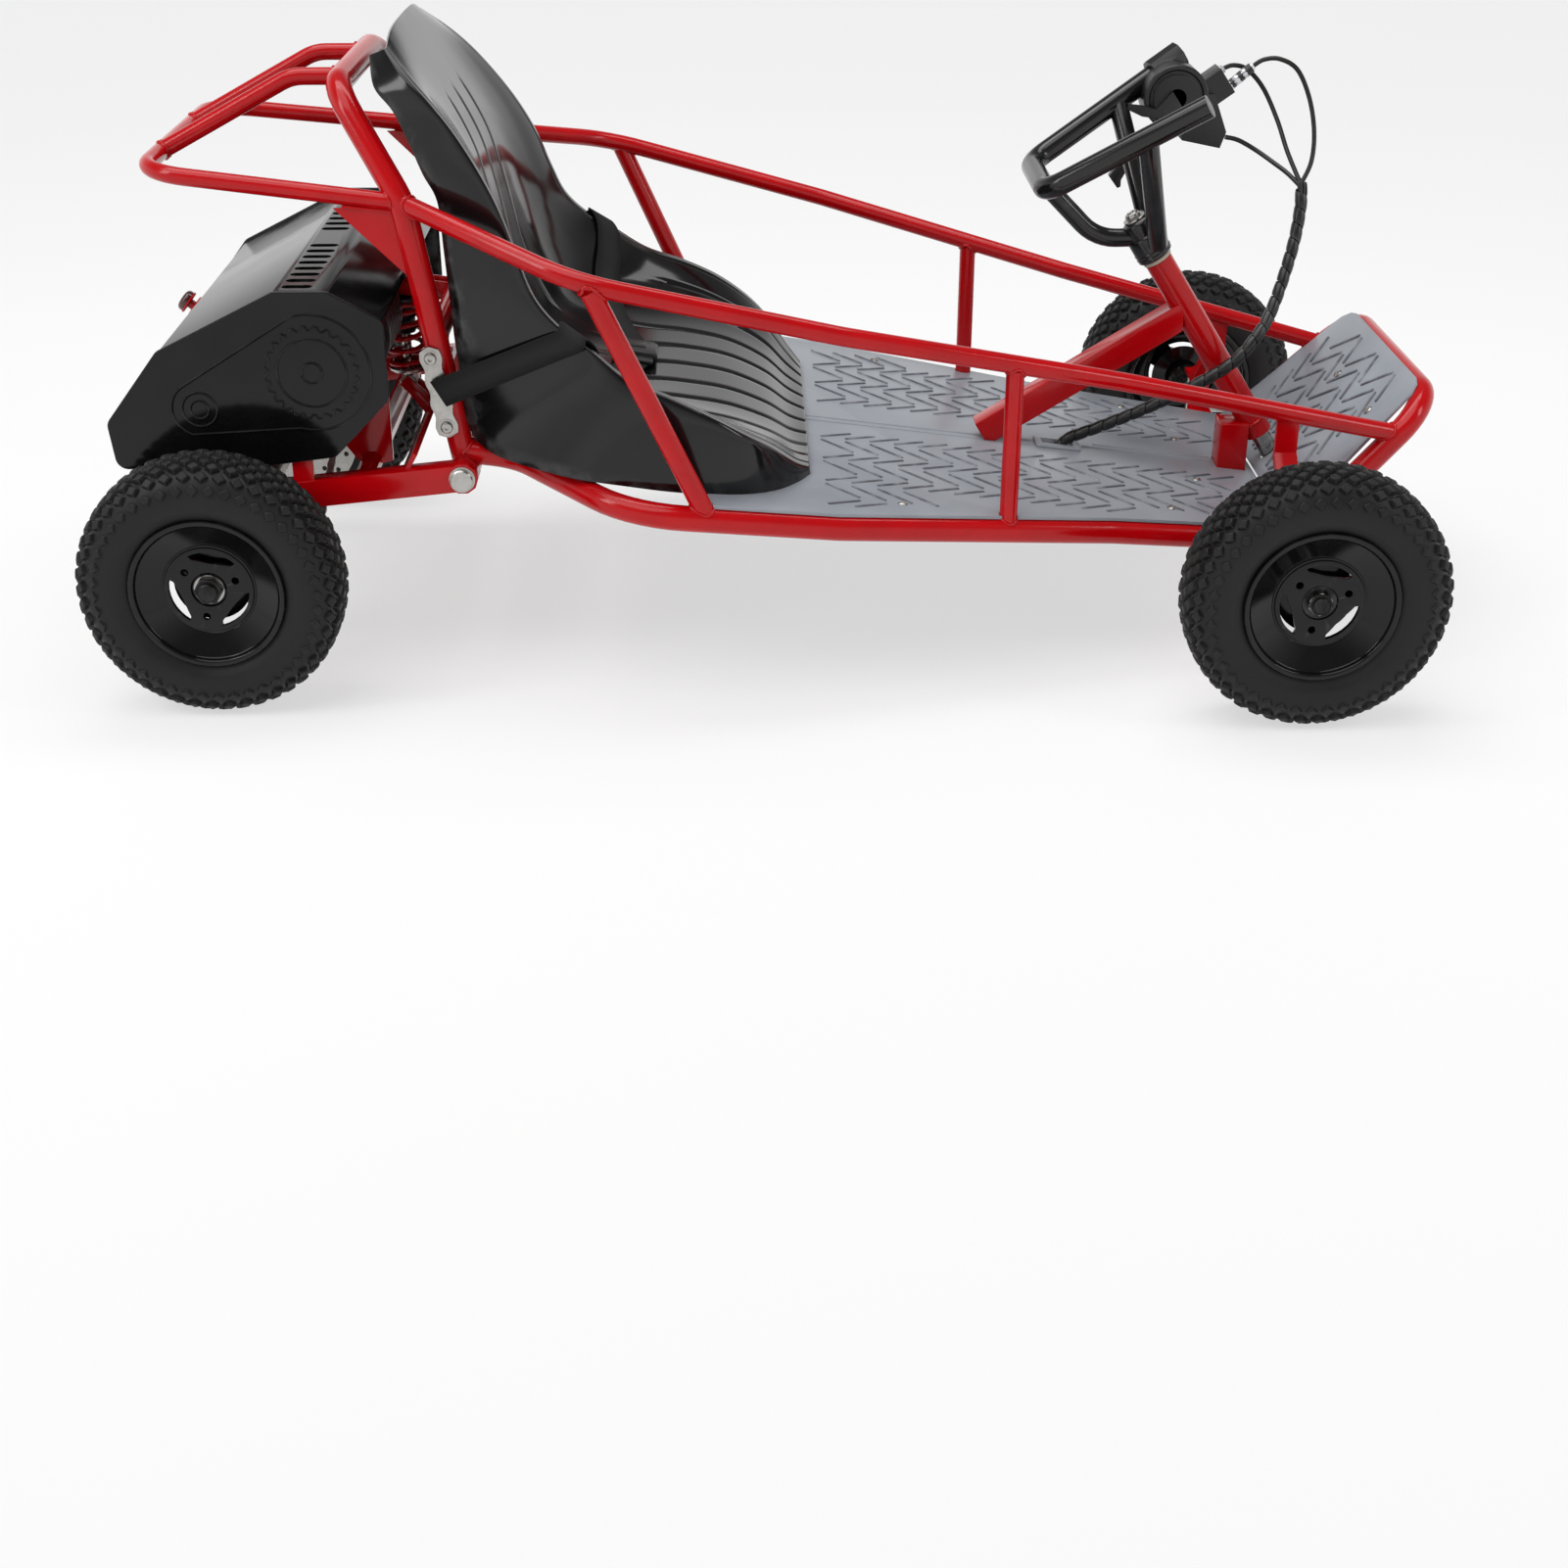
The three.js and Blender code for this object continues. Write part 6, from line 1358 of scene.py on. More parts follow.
@dataclass
class Floor:
    """Floor panel and foot plate with their raised zigzag ribs and screws."""

    pitch: float = 23.2
    period: float = 61.0
    reach: float = 29.0
    rib: float = 3.6
    height: float = 1.3

    def build(self) -> None:
        """Builds both plates, their ribs and their screws."""
        panel = Bench.from_cad("floor_panel", "floor_panel_sheet", 0.9, 3, 40)
        Bench.finish(panel, "frame", Finishes.DECK, ["floor_panel"])
        plate = Bench.from_cad("foot_plate", "foot_plate_sheet", 0.9, 3, 40)
        Bench.finish(plate, "frame", Finishes.DECK, ["foot_plate"])
        self._floor_ribs()
        self._foot_ribs()
        self._ridges()
        self._screws()

    def half(self, x: float) -> float:
        """Half width of the floor panel at a place along the kart."""
        stations = [(-45, 273), (70, 258), (320, 190), (490, 160)]
        for (x0, y0), (x1, y1) in zip(stations, stations[1:]):
            if x <= x1:
                return y0 + (y1 - y0) * (x - x0) / (x1 - x0)
        return stations[-1][1]

    def _stroke(self, start: Vector, end: Vector, lift: Vector) -> Object:
        """Makes one raised stroke between two places on a plate.

        Args:
            start: First end on the plate.
            end: Other end on the plate.
            lift: Direction away from the plate.

        Returns:
            The raised stroke.
        """
        along = end - start
        Bench.clear()
        bpy.ops.mesh.primitive_cube_add(size=1, location=(0, 0, 0))
        rib = Bench.taken("rib")
        x = along.normalized()
        y = lift.cross(x).normalized()
        turn = Matrix((x, y, lift)).transposed().to_4x4()
        scale = Matrix.Diagonal((along.length * MM, self.rib * MM, 2 * self.height * MM, 1))
        rib.data.transform(Matrix.Translation(spot((start + end) / 2)) @ turn @ scale)
        return rib

    def _zigzags(
        self, surface: Callable[[float, float], Vector], lift: Vector, inside: Callable[[float, float], bool],
        columns: Iterable[float], rows: Sequence[float]
    ) -> list[Object]:
        """Makes all strokes of a zigzag field.

        Args:
            surface: Gives the place on the plate for a distance along it and a Y.
            lift: Direction away from the plate.
            inside: Tells whether a stroke's end lies on the field.
            columns: Distances along the plate where the zigzags start.
            rows: Y of each period's first end.

        Returns:
            The strokes.
        """
        strokes = []
        for start in columns:
            for y in rows:
                for a, b in (
                    ((start, y), (start + self.reach, y - 29)),
                    ((start + self.reach, y - 36), (start, y - 53)),
                ):
                    if inside(*a) and inside(*b):
                        strokes.append(self._stroke(surface(*a), surface(*b), lift))
        return strokes

    def _ribs(self, name: str, strokes: list[Object]) -> None:
        """Joins strokes to one piece with rounded edges, dark with pale edges as painted shade and painted
        highlight.
        """
        ribs = Bench.joined(name, strokes)
        Bench.bevel(ribs, 1.1, 2, 40)
        # The rib finish paints shade on the ribs and a highlight along their edges.
        Bench.finish(ribs, "frame", Finishes.RIB, angle=50)

    def _floor_ribs(self) -> None:
        """Covers the floor panel's two halves with zigzags."""
        lift = Vector((0.1229, 0, 0.9924))
        columns = [60 + self.pitch * k for k in range(17)]

        def surface(x: float, y: float) -> Vector:
            """Returns a place on the floor panel's upper face."""
            return Vector((x, y, deck_z(x) - 0.2))

        def inside(x: float, y: float) -> bool:
            """Keeps the ribs off the edges, the seam and the slot."""
            if x > 462 or abs(y) > self.half(x) - 12:
                return False
            if 44 < y:
                return True
            return y < (-16 if x < 225 or x > 330 else -34)

        far = self._zigzags(surface, lift, inside, columns, [227, 227 - self.period, 227 - 2 * self.period])
        near = self._zigzags(surface, lift, inside, columns, [-4 - self.period * k for k in range(4)])
        self._ribs("floor_ribs", far + near)

    def _foot_ribs(self) -> None:
        """Covers the foot plate with zigzags."""
        _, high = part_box("foot_plate")
        run = Vector((120, 0, 124.8)).normalized()
        lift = Vector((-run.z, 0, run.x))
        foot = Vector((500, 0, 105.2 + (500 - 490) * 1.04))
        out = 14.6

        def surface(s: float, y: float) -> Vector:
            """Returns a place on the foot plate's upper face."""
            return foot + run * s + Vector((0, y, 0)) + lift * out

        top = (high.z / MM - foot.z) / run.z - 8

        def inside(s: float, y: float) -> bool:
            """Keeps the ribs inside the plate's rounded corners."""
            return 4 < s < top and abs(y) < 128 - 0.12 * s

        columns = [6 + self.pitch * k for k in range(6)]
        strokes = self._zigzags(surface, lift, inside, columns, [146 - self.period * k for k in range(5)])
        self._ribs("foot_plate_ribs", strokes)

    def _ridges(self) -> None:
        """Builds the two low ridges along the middle of the floor."""
        parts = []
        for y, first, last in ((2, -30, 268), (-9, -30, 268), (2, 318, 446), (12, 330, 446)):
            a, b = Vector((first, y, deck_z(first) - 0.4)), Vector((last, y, deck_z(last) - 0.4))
            parts.append(Bench.tube("ridge", [a.lerp(b, k / 12) for k in range(13)], 3.0, 12))
        Bench.finish(Bench.joined("floor_ridges", parts), "frame", Finishes.DECK)

    def _screws(self) -> None:
        """Sets the countersunk screws of the two plates."""
        run = Vector((120, 0, 124.8)).normalized()
        up = (-run.z, 0, run.x)
        deck = (0.1229, 0, 0.9924)
        on_deck = ((127, 218), (127, -218), (380, 150), (380, -150), (420, 60), (420, -60))
        spots = [((x, y, deck_z(x)), deck) for x, y in on_deck]
        foot = Vector((500, 0, 115.6)) + run * 112 + Vector(up) * 14.8
        spots += [((foot.x, y, foot.z), up) for y in (22, -92)]
        screws = []
        for centre, axis in spots:
            profile = [(0, 0.9), (1.3, 0.9), (1.6, 1.5), (3.6, 1.3), (4.6, 0.5), (4.8, -0.6), (0, -0.6)]
            screws.append(Bench.turned("screw", profile, centre, 20, axis))
        Bench.finish(Bench.joined("plate_screws", screws), "frame", Finishes.STEEL)


# Wheels.


@dataclass
class Wheel:
    """A knobbly tyre on a dished steel rim."""

    radius: float = 115
    axle_x: float = 475.5
    front_half: float = 314
    rear_half: float = 265
    knob: float = 5.0
    knob_rows: tuple[tuple[float, float], ...] = (
        (-31.5, 96), (-26.5, 106.2), (-18.4, 110.6), (-9.3, 111.9), (0, 112), (9.3, 111.9), (18.4, 110.6),
        (26.5, 106.2), (31.5, 96)
    )
    knobs: int = 44

    def build(self) -> None:
        """Builds one wheel as a pattern and copies it to the four places."""
        tyre = self._tyre()
        rims = {}
        for word, bore in (("front", 8.4), ("rear", 11.1)):
            rims[word] = self._rim(bore)
        for word, x, y in (("front", self.axle_x, self.front_half), ("rear", -self.axle_x, self.rear_half)):
            for side in Side:
                body = f"wheel_front_{side.word}" if word == "front" else "rear_axle"
                hub = Matrix.Translation(spot((x, y * side.value, self.radius)))
                move = hub @ Matrix.Scale(side.value, 4, (0, 1, 0))
                name = f"{word}_{side.word}"
                tread = Bench.copy(tyre, f"tyre_{name}_tread", move)
                Bench.finish(tread, body, Finishes.TYRE, [f"tyre_{name}"], 32)
                dish = Bench.copy(rims[word], f"rim_{name}_dish", move)
                Bench.finish(dish, body, Finishes.BLACK, [f"rim_{name}"], 40)
        for pattern in (tyre, *rims.values()):
            bpy.data.objects.remove(pattern, do_unlink=True)

    def _centred(self, obj: Object) -> Object:
        """Takes the layout's shift out of a pattern made about the wheel's centre."""
        obj.data.transform(Matrix.Translation((-ORIGIN_SHIFT * MM, 0, 0)))
        return obj

    def _tyre(self) -> Object:
        """Makes the tyre: a turned casing with diamond knobs in staggered rows."""
        half = [
            (64.6, 26.4), (66.6, 28.4), (68.6, 29.6), (71.5, 31.2), (74, 33.2), (77, 34.8), (80, 35.6),
            (84, 36), (88, 35.9), (93, 35), (97, 33.6), (101.6, 30.8), (105.4, 27), (108.2, 22), (109.7, 15),
            (110.4, 7),
        ]
        profile = half + [(110.5, 0)] + [(r, -y) for r, y in half[::-1]]
        inner = [(66, -24), (75, -31), (98, -28), (106, -15), (106, 15), (98, 28), (75, 31), (66, 24)]
        casing = self._centred(Bench.turned("casing", profile + inner + [profile[0]], (0, 0, 0), 72))
        knob = self._knob()
        pieces = [casing]
        last = len(self.knob_rows) - 1
        for row, (y, radius) in enumerate(self.knob_rows):
            before, after = self.knob_rows[max(row - 1, 0)], self.knob_rows[min(row + 1, last)]
            slope = math.atan2(after[1] - before[1], after[0] - before[0])
            for k in range(self.knobs):
                turn = 2 * math.pi * (k + 0.5 * (row % 2)) / self.knobs
                move = (
                    Matrix.Rotation(turn, 4, "Y")
                    @ Matrix.Translation((0, y * MM, (radius - 1.9) * MM))
                    @ Matrix.Rotation(slope, 4, "X")
                )
                pieces.append(Bench.copy(knob, "knob", move))
        bpy.data.objects.remove(knob, do_unlink=True)
        return Bench.joined("tyre_pattern", pieces)

    def _knob(self) -> Object:
        """Makes one diamond knob with sloping sides and a worn top edge."""
        Bench.clear()
        bpy.ops.mesh.primitive_cylinder_add(vertices=4, radius=1, depth=1, location=(0, 0, 0))
        knob = Bench.taken("knob_pattern")
        for vertex in knob.data.vertices:
            top = vertex.co.z > 0
            share = 0.7 if top else 1.02
            height = self.knob if top else -0.6
            vertex.co = Vector((vertex.co.x * 7.2 * share, vertex.co.y * 6.4 * share, height)) * MM
        return Bench.bevel(knob, 0.7, 1, 40)

    def _rim(self, bore: float) -> Object:
        """Makes a rim: a rolled lip, a dished face and a disc with windows and bolt holes."""
        profile = [
            (bore, 17.6), (14.4, 17.6), (15.6, 19.6), (16.6, 19.9), (36.6, 19.9), (38.2, 19.4), (38.9, 18.2),
            (40.4, 18.2), (41.2, 18.9), (60.2, 26.6), (61.4, 28.0), (61.6, 29.6), (62.6, 31.1), (64.4, 31.9),
            (66.4, 31.7), (67.5, 30.4), (67.5, 29.2), (66.4, 28.4), (64.2, 28.2), (63.4, 27.0), (63.4, 19.0),
            (57, 14), (53.2, 11), (53, -11), (57, -14), (63.4, -19), (63.4, -28), (67.5, -29), (67.5, -31),
            (65.6, -31.8), (62.5, -31), (61.2, -28), (60.8, -20), (51, -12.4), (50.6, 0), (50.4, 13.6),
            (40.2, 13.6), (38.4, 15.4), (19, 15.4), (19, 4), (33.4, 4), (33.4, 1), (19, 1), (19, -20),
            (bore, -20), (bore, 17.6),
        ]
        rim = self._centred(Bench.turned("rim_pattern", profile, (0, 0, 0), 96))
        cutters = []
        for k in range(3):
            centre = math.radians(79.5 + 120 * k)
            cutters.append(self._window(centre))
            hole = centre + math.radians(60)
            x, z = 25 * math.cos(hole), 25 * math.sin(hole)
            cutters.append(Bench.turned("hole", [(0, 5), (3.4, 5), (3.4, 30), (0, 30)], (x, 0, z), 20))
        for cutter in cutters:
            self._centred(cutter)
        Bench.carved(rim, cutters)
        return Bench.bevel(rim, 0.5, 2, 50)

    def _window(self, centre: float) -> Object:
        """Makes the cutter of one kidney window."""
        points = []
        for k in range(9):
            angle = centre + math.radians(-36 + 9 * k)
            points.append((34.6 * math.cos(angle), 34.6 * math.sin(angle)))
        for share, radius in (
            (34, 30.5), (24, 27.6), (12, 25.3), (0, 24.6), (-12, 25.3), (-24, 27.6), (-34, 30.5)
        ):
            angle = centre + math.radians(share)
            points.append((radius * math.cos(angle), radius * math.sin(angle)))
        return Bench.plate("window", points, 5, 30, 0)


@dataclass
class FrontAxle:
    """Brackets, spindles, stub axles and tie rods at the front."""

    hub: Point = (475.5, 0, 115)

    def build(self) -> None:
        """Builds both sides of the front axle."""
        for side in Side:
            self._bracket(side)
            self._spindle(side)
            self._tie_rod(side)

    def _bracket(self, side: Side) -> None:
        """Builds the folded strap that carries the kingpin, with its weld beads."""
        strap = Bench.from_cad(f"axle_bracket_{side.word}", f"axle_bracket_{side.word}_strap", 0.8, 3, 40)
        beads = []
        y = 162 * side.value
        for dx in (-9.5, 9.5):
            x = self.hub[0] + dx
            top = [(x, y - 4 * side.value, 222), (x, y + 5 * side.value, 222)]
            beads.append(Bench.pipe("strap_bead", top, 3.2, 0, 8))
        bracket = Bench.joined(f"axle_bracket_{side.word}_set", [strap, *beads])
        Bench.finish(bracket, "frame", Finishes.RED, [f"axle_bracket_{side.word}"])

    def _spindle(self, side: Side) -> None:
        """Builds the spindle with its stub axle, washer and nut."""
        sign = side.value
        knuckle = Bench.from_cad(f"spindle_{side.word}", "knuckle", 0.6, 2, 40)
        nut = Bench.turned(
            "stub_nut", [(0, 331.8), (10.4, 331.8), (11.2, 332.6), (11.2, 337.8), (10.4, 338.6), (0, 338.6)],
            self.hub, 6
        )
        Bench.bevel(nut, 0.6, 2, 25)
        washer = Bench.turned(
            "stub_washer", [(0, 330.9), (15.4, 330.9), (15.4, 332.1), (0, 332.1)], self.hub, 40
        )
        tip = Bench.turned(
            "stub_tip", [(0, 338), (6.6, 338), (7.2, 339), (7.2, 341.5), (6.2, 342.6), (0, 342.6)],
            self.hub, 32
        )
        end = [nut, washer, tip]
        if sign < 0:
            for i, piece in enumerate(end):
                end[i] = Bench.mirrored(piece, piece.name + "_r")
                bpy.data.objects.remove(piece, do_unlink=True)
        body = f"spindle_{side.word}"
        # The stub nut, washer and tip are coloured near-black as painted shade.
        Bench.finish(Bench.joined(f"spindle_{side.word}_nut", end), body, Finishes.HUB)
        knuckle.name = f"spindle_{side.word}_knuckle"
        Bench.finish(knuckle, body, Finishes.STEEL, [body])

    def _tie_rod(self, side: Side) -> None:
        """Dresses a tie rod with its two studs."""
        rod = Bench.from_cad(f"tie_rod_{side.word}", "rod", 0.5, 2, 40)
        Bench.finish(rod, f"tie_rod_{side.word}", Finishes.STEEL, [f"tie_rod_{side.word}"])


@dataclass
class Drive:
    """Swing arm, rear axle, motor, chain, brake and damper."""

    axle: Point = (-475.5, 0, 115)
    motor: Point = (-374, 0, 291)
    pitch: float = 9.525
    big_teeth: int = 45
    small_teeth: int = 11
    shock_x: float = -332
    chain_y: float = -140

    def build(self) -> None:
        """Builds everything that the swing arm carries, and the damper."""
        arm = Bench.from_cad("swing_arm", "swing_arm_weldment", 1.0, 2, 40)
        Bench.finish(arm, "swing_arm", Finishes.RED, ["swing_arm"])
        self._axle()
        self._motor()
        self._sprockets()
        self._chain()
        self._brake()
        self._shock()

    def _axle(self) -> None:
        """Builds the rear axle with spacers and nuts."""
        half = [
            (10, 0), (10, 200.3), (13.4, 200.3), (14, 201), (14, 244), (13.4, 244.7), (10, 244.7),
            (10, 282.2), (13.2, 282.2), (13.2, 283.4), (10, 283.4)
        ]
        nut = Bench.turned(
            "axle_nut", [(0, 283.2), (11.8, 283.2), (12.6, 284), (12.6, 288.6), (11.8, 289.4), (0, 289.4)],
            self.axle, 6
        )
        Bench.bevel(nut, 0.6, 2, 25)
        tip = Bench.turned(
            "axle_tip", [(0, 289), (7.6, 289), (8.2, 290), (8.2, 293), (7.2, 294), (0, 294)], self.axle, 32
        )
        profile = [(r, -y) for r, y in half[::-1]] + half[1:]
        shaft = Bench.turned("axle_shaft", [(0, -283.4), *profile, (0, 283.4)], self.axle, 36)
        parts = [nut, tip, Bench.mirrored(nut, "axle_nut_r"), Bench.mirrored(tip, "axle_tip_r")]
        # The axle nuts and tips are coloured near-black as painted shade.
        Bench.finish(Bench.joined("rear_axle_nuts", parts), "rear_axle", Finishes.HUB)
        Bench.finish(shaft, "rear_axle", Finishes.STEEL, ["rear_axle"])

    def _motor(self) -> None:
        """Builds the finned motor."""
        profile = [(17, -132.5), (17, -124.4), (42, -124.4), (46, -121)]
        for k in range(9):
            y = -112 + 8 * k
            profile += [(46, y), (44.2, y + 0.8), (44.2, y + 3), (46, y + 3.8)]
        profile += [
            (46, -36), (43, -32.4), (23, -32.2), (22, -26.8), (21, -26.2), (0, -26.2), (0, -40), (8, -132.5),
            (17, -132.5)
        ]
        body = Bench.turned("motor_body", profile, (self.motor[0], 0, self.motor[2]), 64)
        Bench.finish(body, "swing_arm", Finishes.DARK, ["drive_motor"])

    def _sprockets(self) -> None:
        """Dresses the two sprockets and rounds their edges."""
        for node, body in (("axle_sprocket", "rear_axle"), ("motor_sprocket", "motor_rotor")):
            Bench.finish(Bench.from_cad(node, f"{node}_wheel", 0.4, 1, 40), body, Finishes.STEEL, [node])

    def pitch_radius(self, teeth: int) -> float:
        """Radius of a sprocket's pitch circle."""
        return self.pitch / (2 * math.sin(math.pi / teeth))

    def _chain(self) -> None:
        """Builds the roller chain, link by link, round both sprockets."""
        big, small = self.pitch_radius(self.big_teeth), self.pitch_radius(self.small_teeth)
        ax, az = self.axle[0], self.axle[2]
        mx, mz = self.motor[0], self.motor[2]
        span = math.hypot(mx - ax, mz - az)
        heading = math.atan2(mz - az, mx - ax)
        wrap = math.acos((big - small) / span)
        line = []
        for x, z, radius, start, end, steps in (
            (ax, az, big, heading + wrap, heading + 2 * math.pi - wrap, 120),
            (mx, mz, small, heading - wrap, heading + wrap, 50),
        ):
            for k in range(steps + 1):
                angle = start + (end - start) * k / steps
                across, up = radius * math.cos(angle), radius * math.sin(angle)
                line.append(Vector((x + across, self.chain_y, z + up)))
        line.append(line[0].copy())
        lengths = [0.0]
        for a, b in zip(line, line[1:]):
            lengths.append(lengths[-1] + (b - a).length)
        count = 2 * round(lengths[-1] / self.pitch / 2)
        step = lengths[-1] / count
        pins, i = [], 0
        for k in range(count):
            target = k * step
            while lengths[i + 1] < target:
                i += 1
            share = (target - lengths[i]) / (lengths[i + 1] - lengths[i])
            pins.append(line[i].lerp(line[i + 1], share))
        roller = [(0, -3.9), (1.6, -3.9), (1.6, -2), (2.6, -2), (2.6, 2), (1.6, 2), (1.6, 3.9), (0, 3.9)]
        links = []
        for k, here in enumerate(pins):
            ahead = pins[(k + 1) % count]
            outer = k % 2 == 0
            links += self._link(here, ahead, 3.2 if outer else 2.2)
            links.append(Bench.turned("roller", roller, here, 8))
        Bench.finish(Bench.joined("roller_chain", links), "swing_arm", Finishes.CHAIN, ["drive_chain"])

    @staticmethod
    def _link(here: Vector, ahead: Vector, offset: float) -> list[Object]:
        """Makes the two plates of one link.

        Args:
            here: First pin.
            ahead: Second pin.
            offset: Distance of each plate from the chain's middle.

        Returns:
            Both plates.
        """
        along = ahead - here
        angle = math.atan2(along.z, along.x)
        outline = []
        for end, turn in ((ahead, -90), (here, 90)):
            for k in range(5):
                a = angle + math.radians(turn + 45 * k)
                outline.append((end.x + 3.4 * math.cos(a), end.z + 3.4 * math.sin(a)))
        middle = (here + ahead) / 2
        side = Vector((-math.sin(angle), 0, math.cos(angle)))
        waist = [(middle - side * 2.5), (middle + side * 2.5)]
        outline = outline[:5] + [(waist[1].x, waist[1].z)] + outline[5:] + [(waist[0].x, waist[0].z)]
        sides = (here.y + offset, here.y - offset)
        return [Bench.plate("link_plate", outline, y - 0.5, y + 0.5, 0) for y in sides]

    def _brake(self) -> None:
        """Builds the drilled disc, its carrier and the caliper."""
        profile = [
            (11, 126.5), (64.4, 126.5), (65, 127.1), (65, 128.9), (64.4, 129.5), (28, 129.5), (27, 135),
            (26, 135.6), (11, 135.6), (11, 126.5)
        ]
        disc = Bench.turned("disc", profile, self.axle, 72)
        holes = []
        for k in range(18):
            for radius, turn in ((56, 0), (45, 0.5)):
                angle = 2 * math.pi * (k + turn) / 18
                centre = (self.axle[0] + radius * math.cos(angle), 0, self.axle[2] + radius * math.sin(angle))
                holes.append(Bench.turned("hole", [(0, 120), (2.6, 120), (2.6, 140), (0, 140)], centre, 12))
        Bench.finish(Bench.carved(disc, holes), "rear_axle", Finishes.STEEL, ["brake_disc"])
        caliper = Bench.from_cad("brake_caliper", "brake_caliper_body", 2.4, 3, 40)
        Bench.finish(caliper, "swing_arm", Finishes.DARK, ["brake_caliper"])

    def _shock(self) -> None:
        """Builds the damper, its rod and its coil spring."""
        up = (0, 0, 1)
        x = self.shock_x
        body = Bench.turned(
            "damper",
            [
                (0, 302), (4.5, 302), (5, 296), (16.6, 296), (18, 294.8), (18, 293.2), (17, 292), (10.4, 292),
                (10, 291), (10, 262), (9.2, 260.4), (5, 260), (4.9, 287), (0, 287)
            ],
            (x, 0, 0), 40, up,
        )
        bush = [(4.6, -7.7), (7.4, -7.7), (8, -7.1), (8, 7.1), (7.4, 7.7), (4.6, 7.7), (4.6, -7.7)]
        eye = Bench.turned("upper_eye", bush, (x, 0, 308), 32)
        Bench.finish(Bench.joined("damper_body", [body, eye]), "shock_upper", Finishes.DARK, ["shock_body"])
        rod = Bench.turned(
            "rod",
            [
                (0, 280), (4.5, 280), (4.5, 228), (16.6, 228), (18, 226.8), (18, 225.2), (17, 224),
                (4.8, 224), (4.8, 217), (0, 217)
            ],
            (x, 0, 0), 36, up
        )
        eye = Bench.turned("lower_eye", bush, (x, 0, 212), 32)
        Bench.finish(Bench.joined("damper_rod", [rod, eye]), "shock_lower", Finishes.STEEL, ["shock_rod"])
        coil = Bench.dress(self.spring(), Finishes.RED, ["shock_spring"])
        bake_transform(coil)

    def spring(self) -> Object:
        """Makes the coil with one closed turn at each end."""
        turns, steps, radius = 6.0, 22, 15.4
        low, high, wire = 228.3 + 2.5, 291.7 - 2.5, 5.0
        route = []
        total = int(turns * steps)
        for k in range(total + 1):
            turn = k / steps
            share = min(max((turn - 0.6) / (turns - 1.2), 0.0), 1.0)
            angle = 2 * math.pi * turn
            x, y = radius * math.cos(angle), radius * math.sin(angle)
            route.append(Vector((self.shock_x + x, y, low + (high - low) * share)))
        return Bench.tube("coil", route, wire, 14)


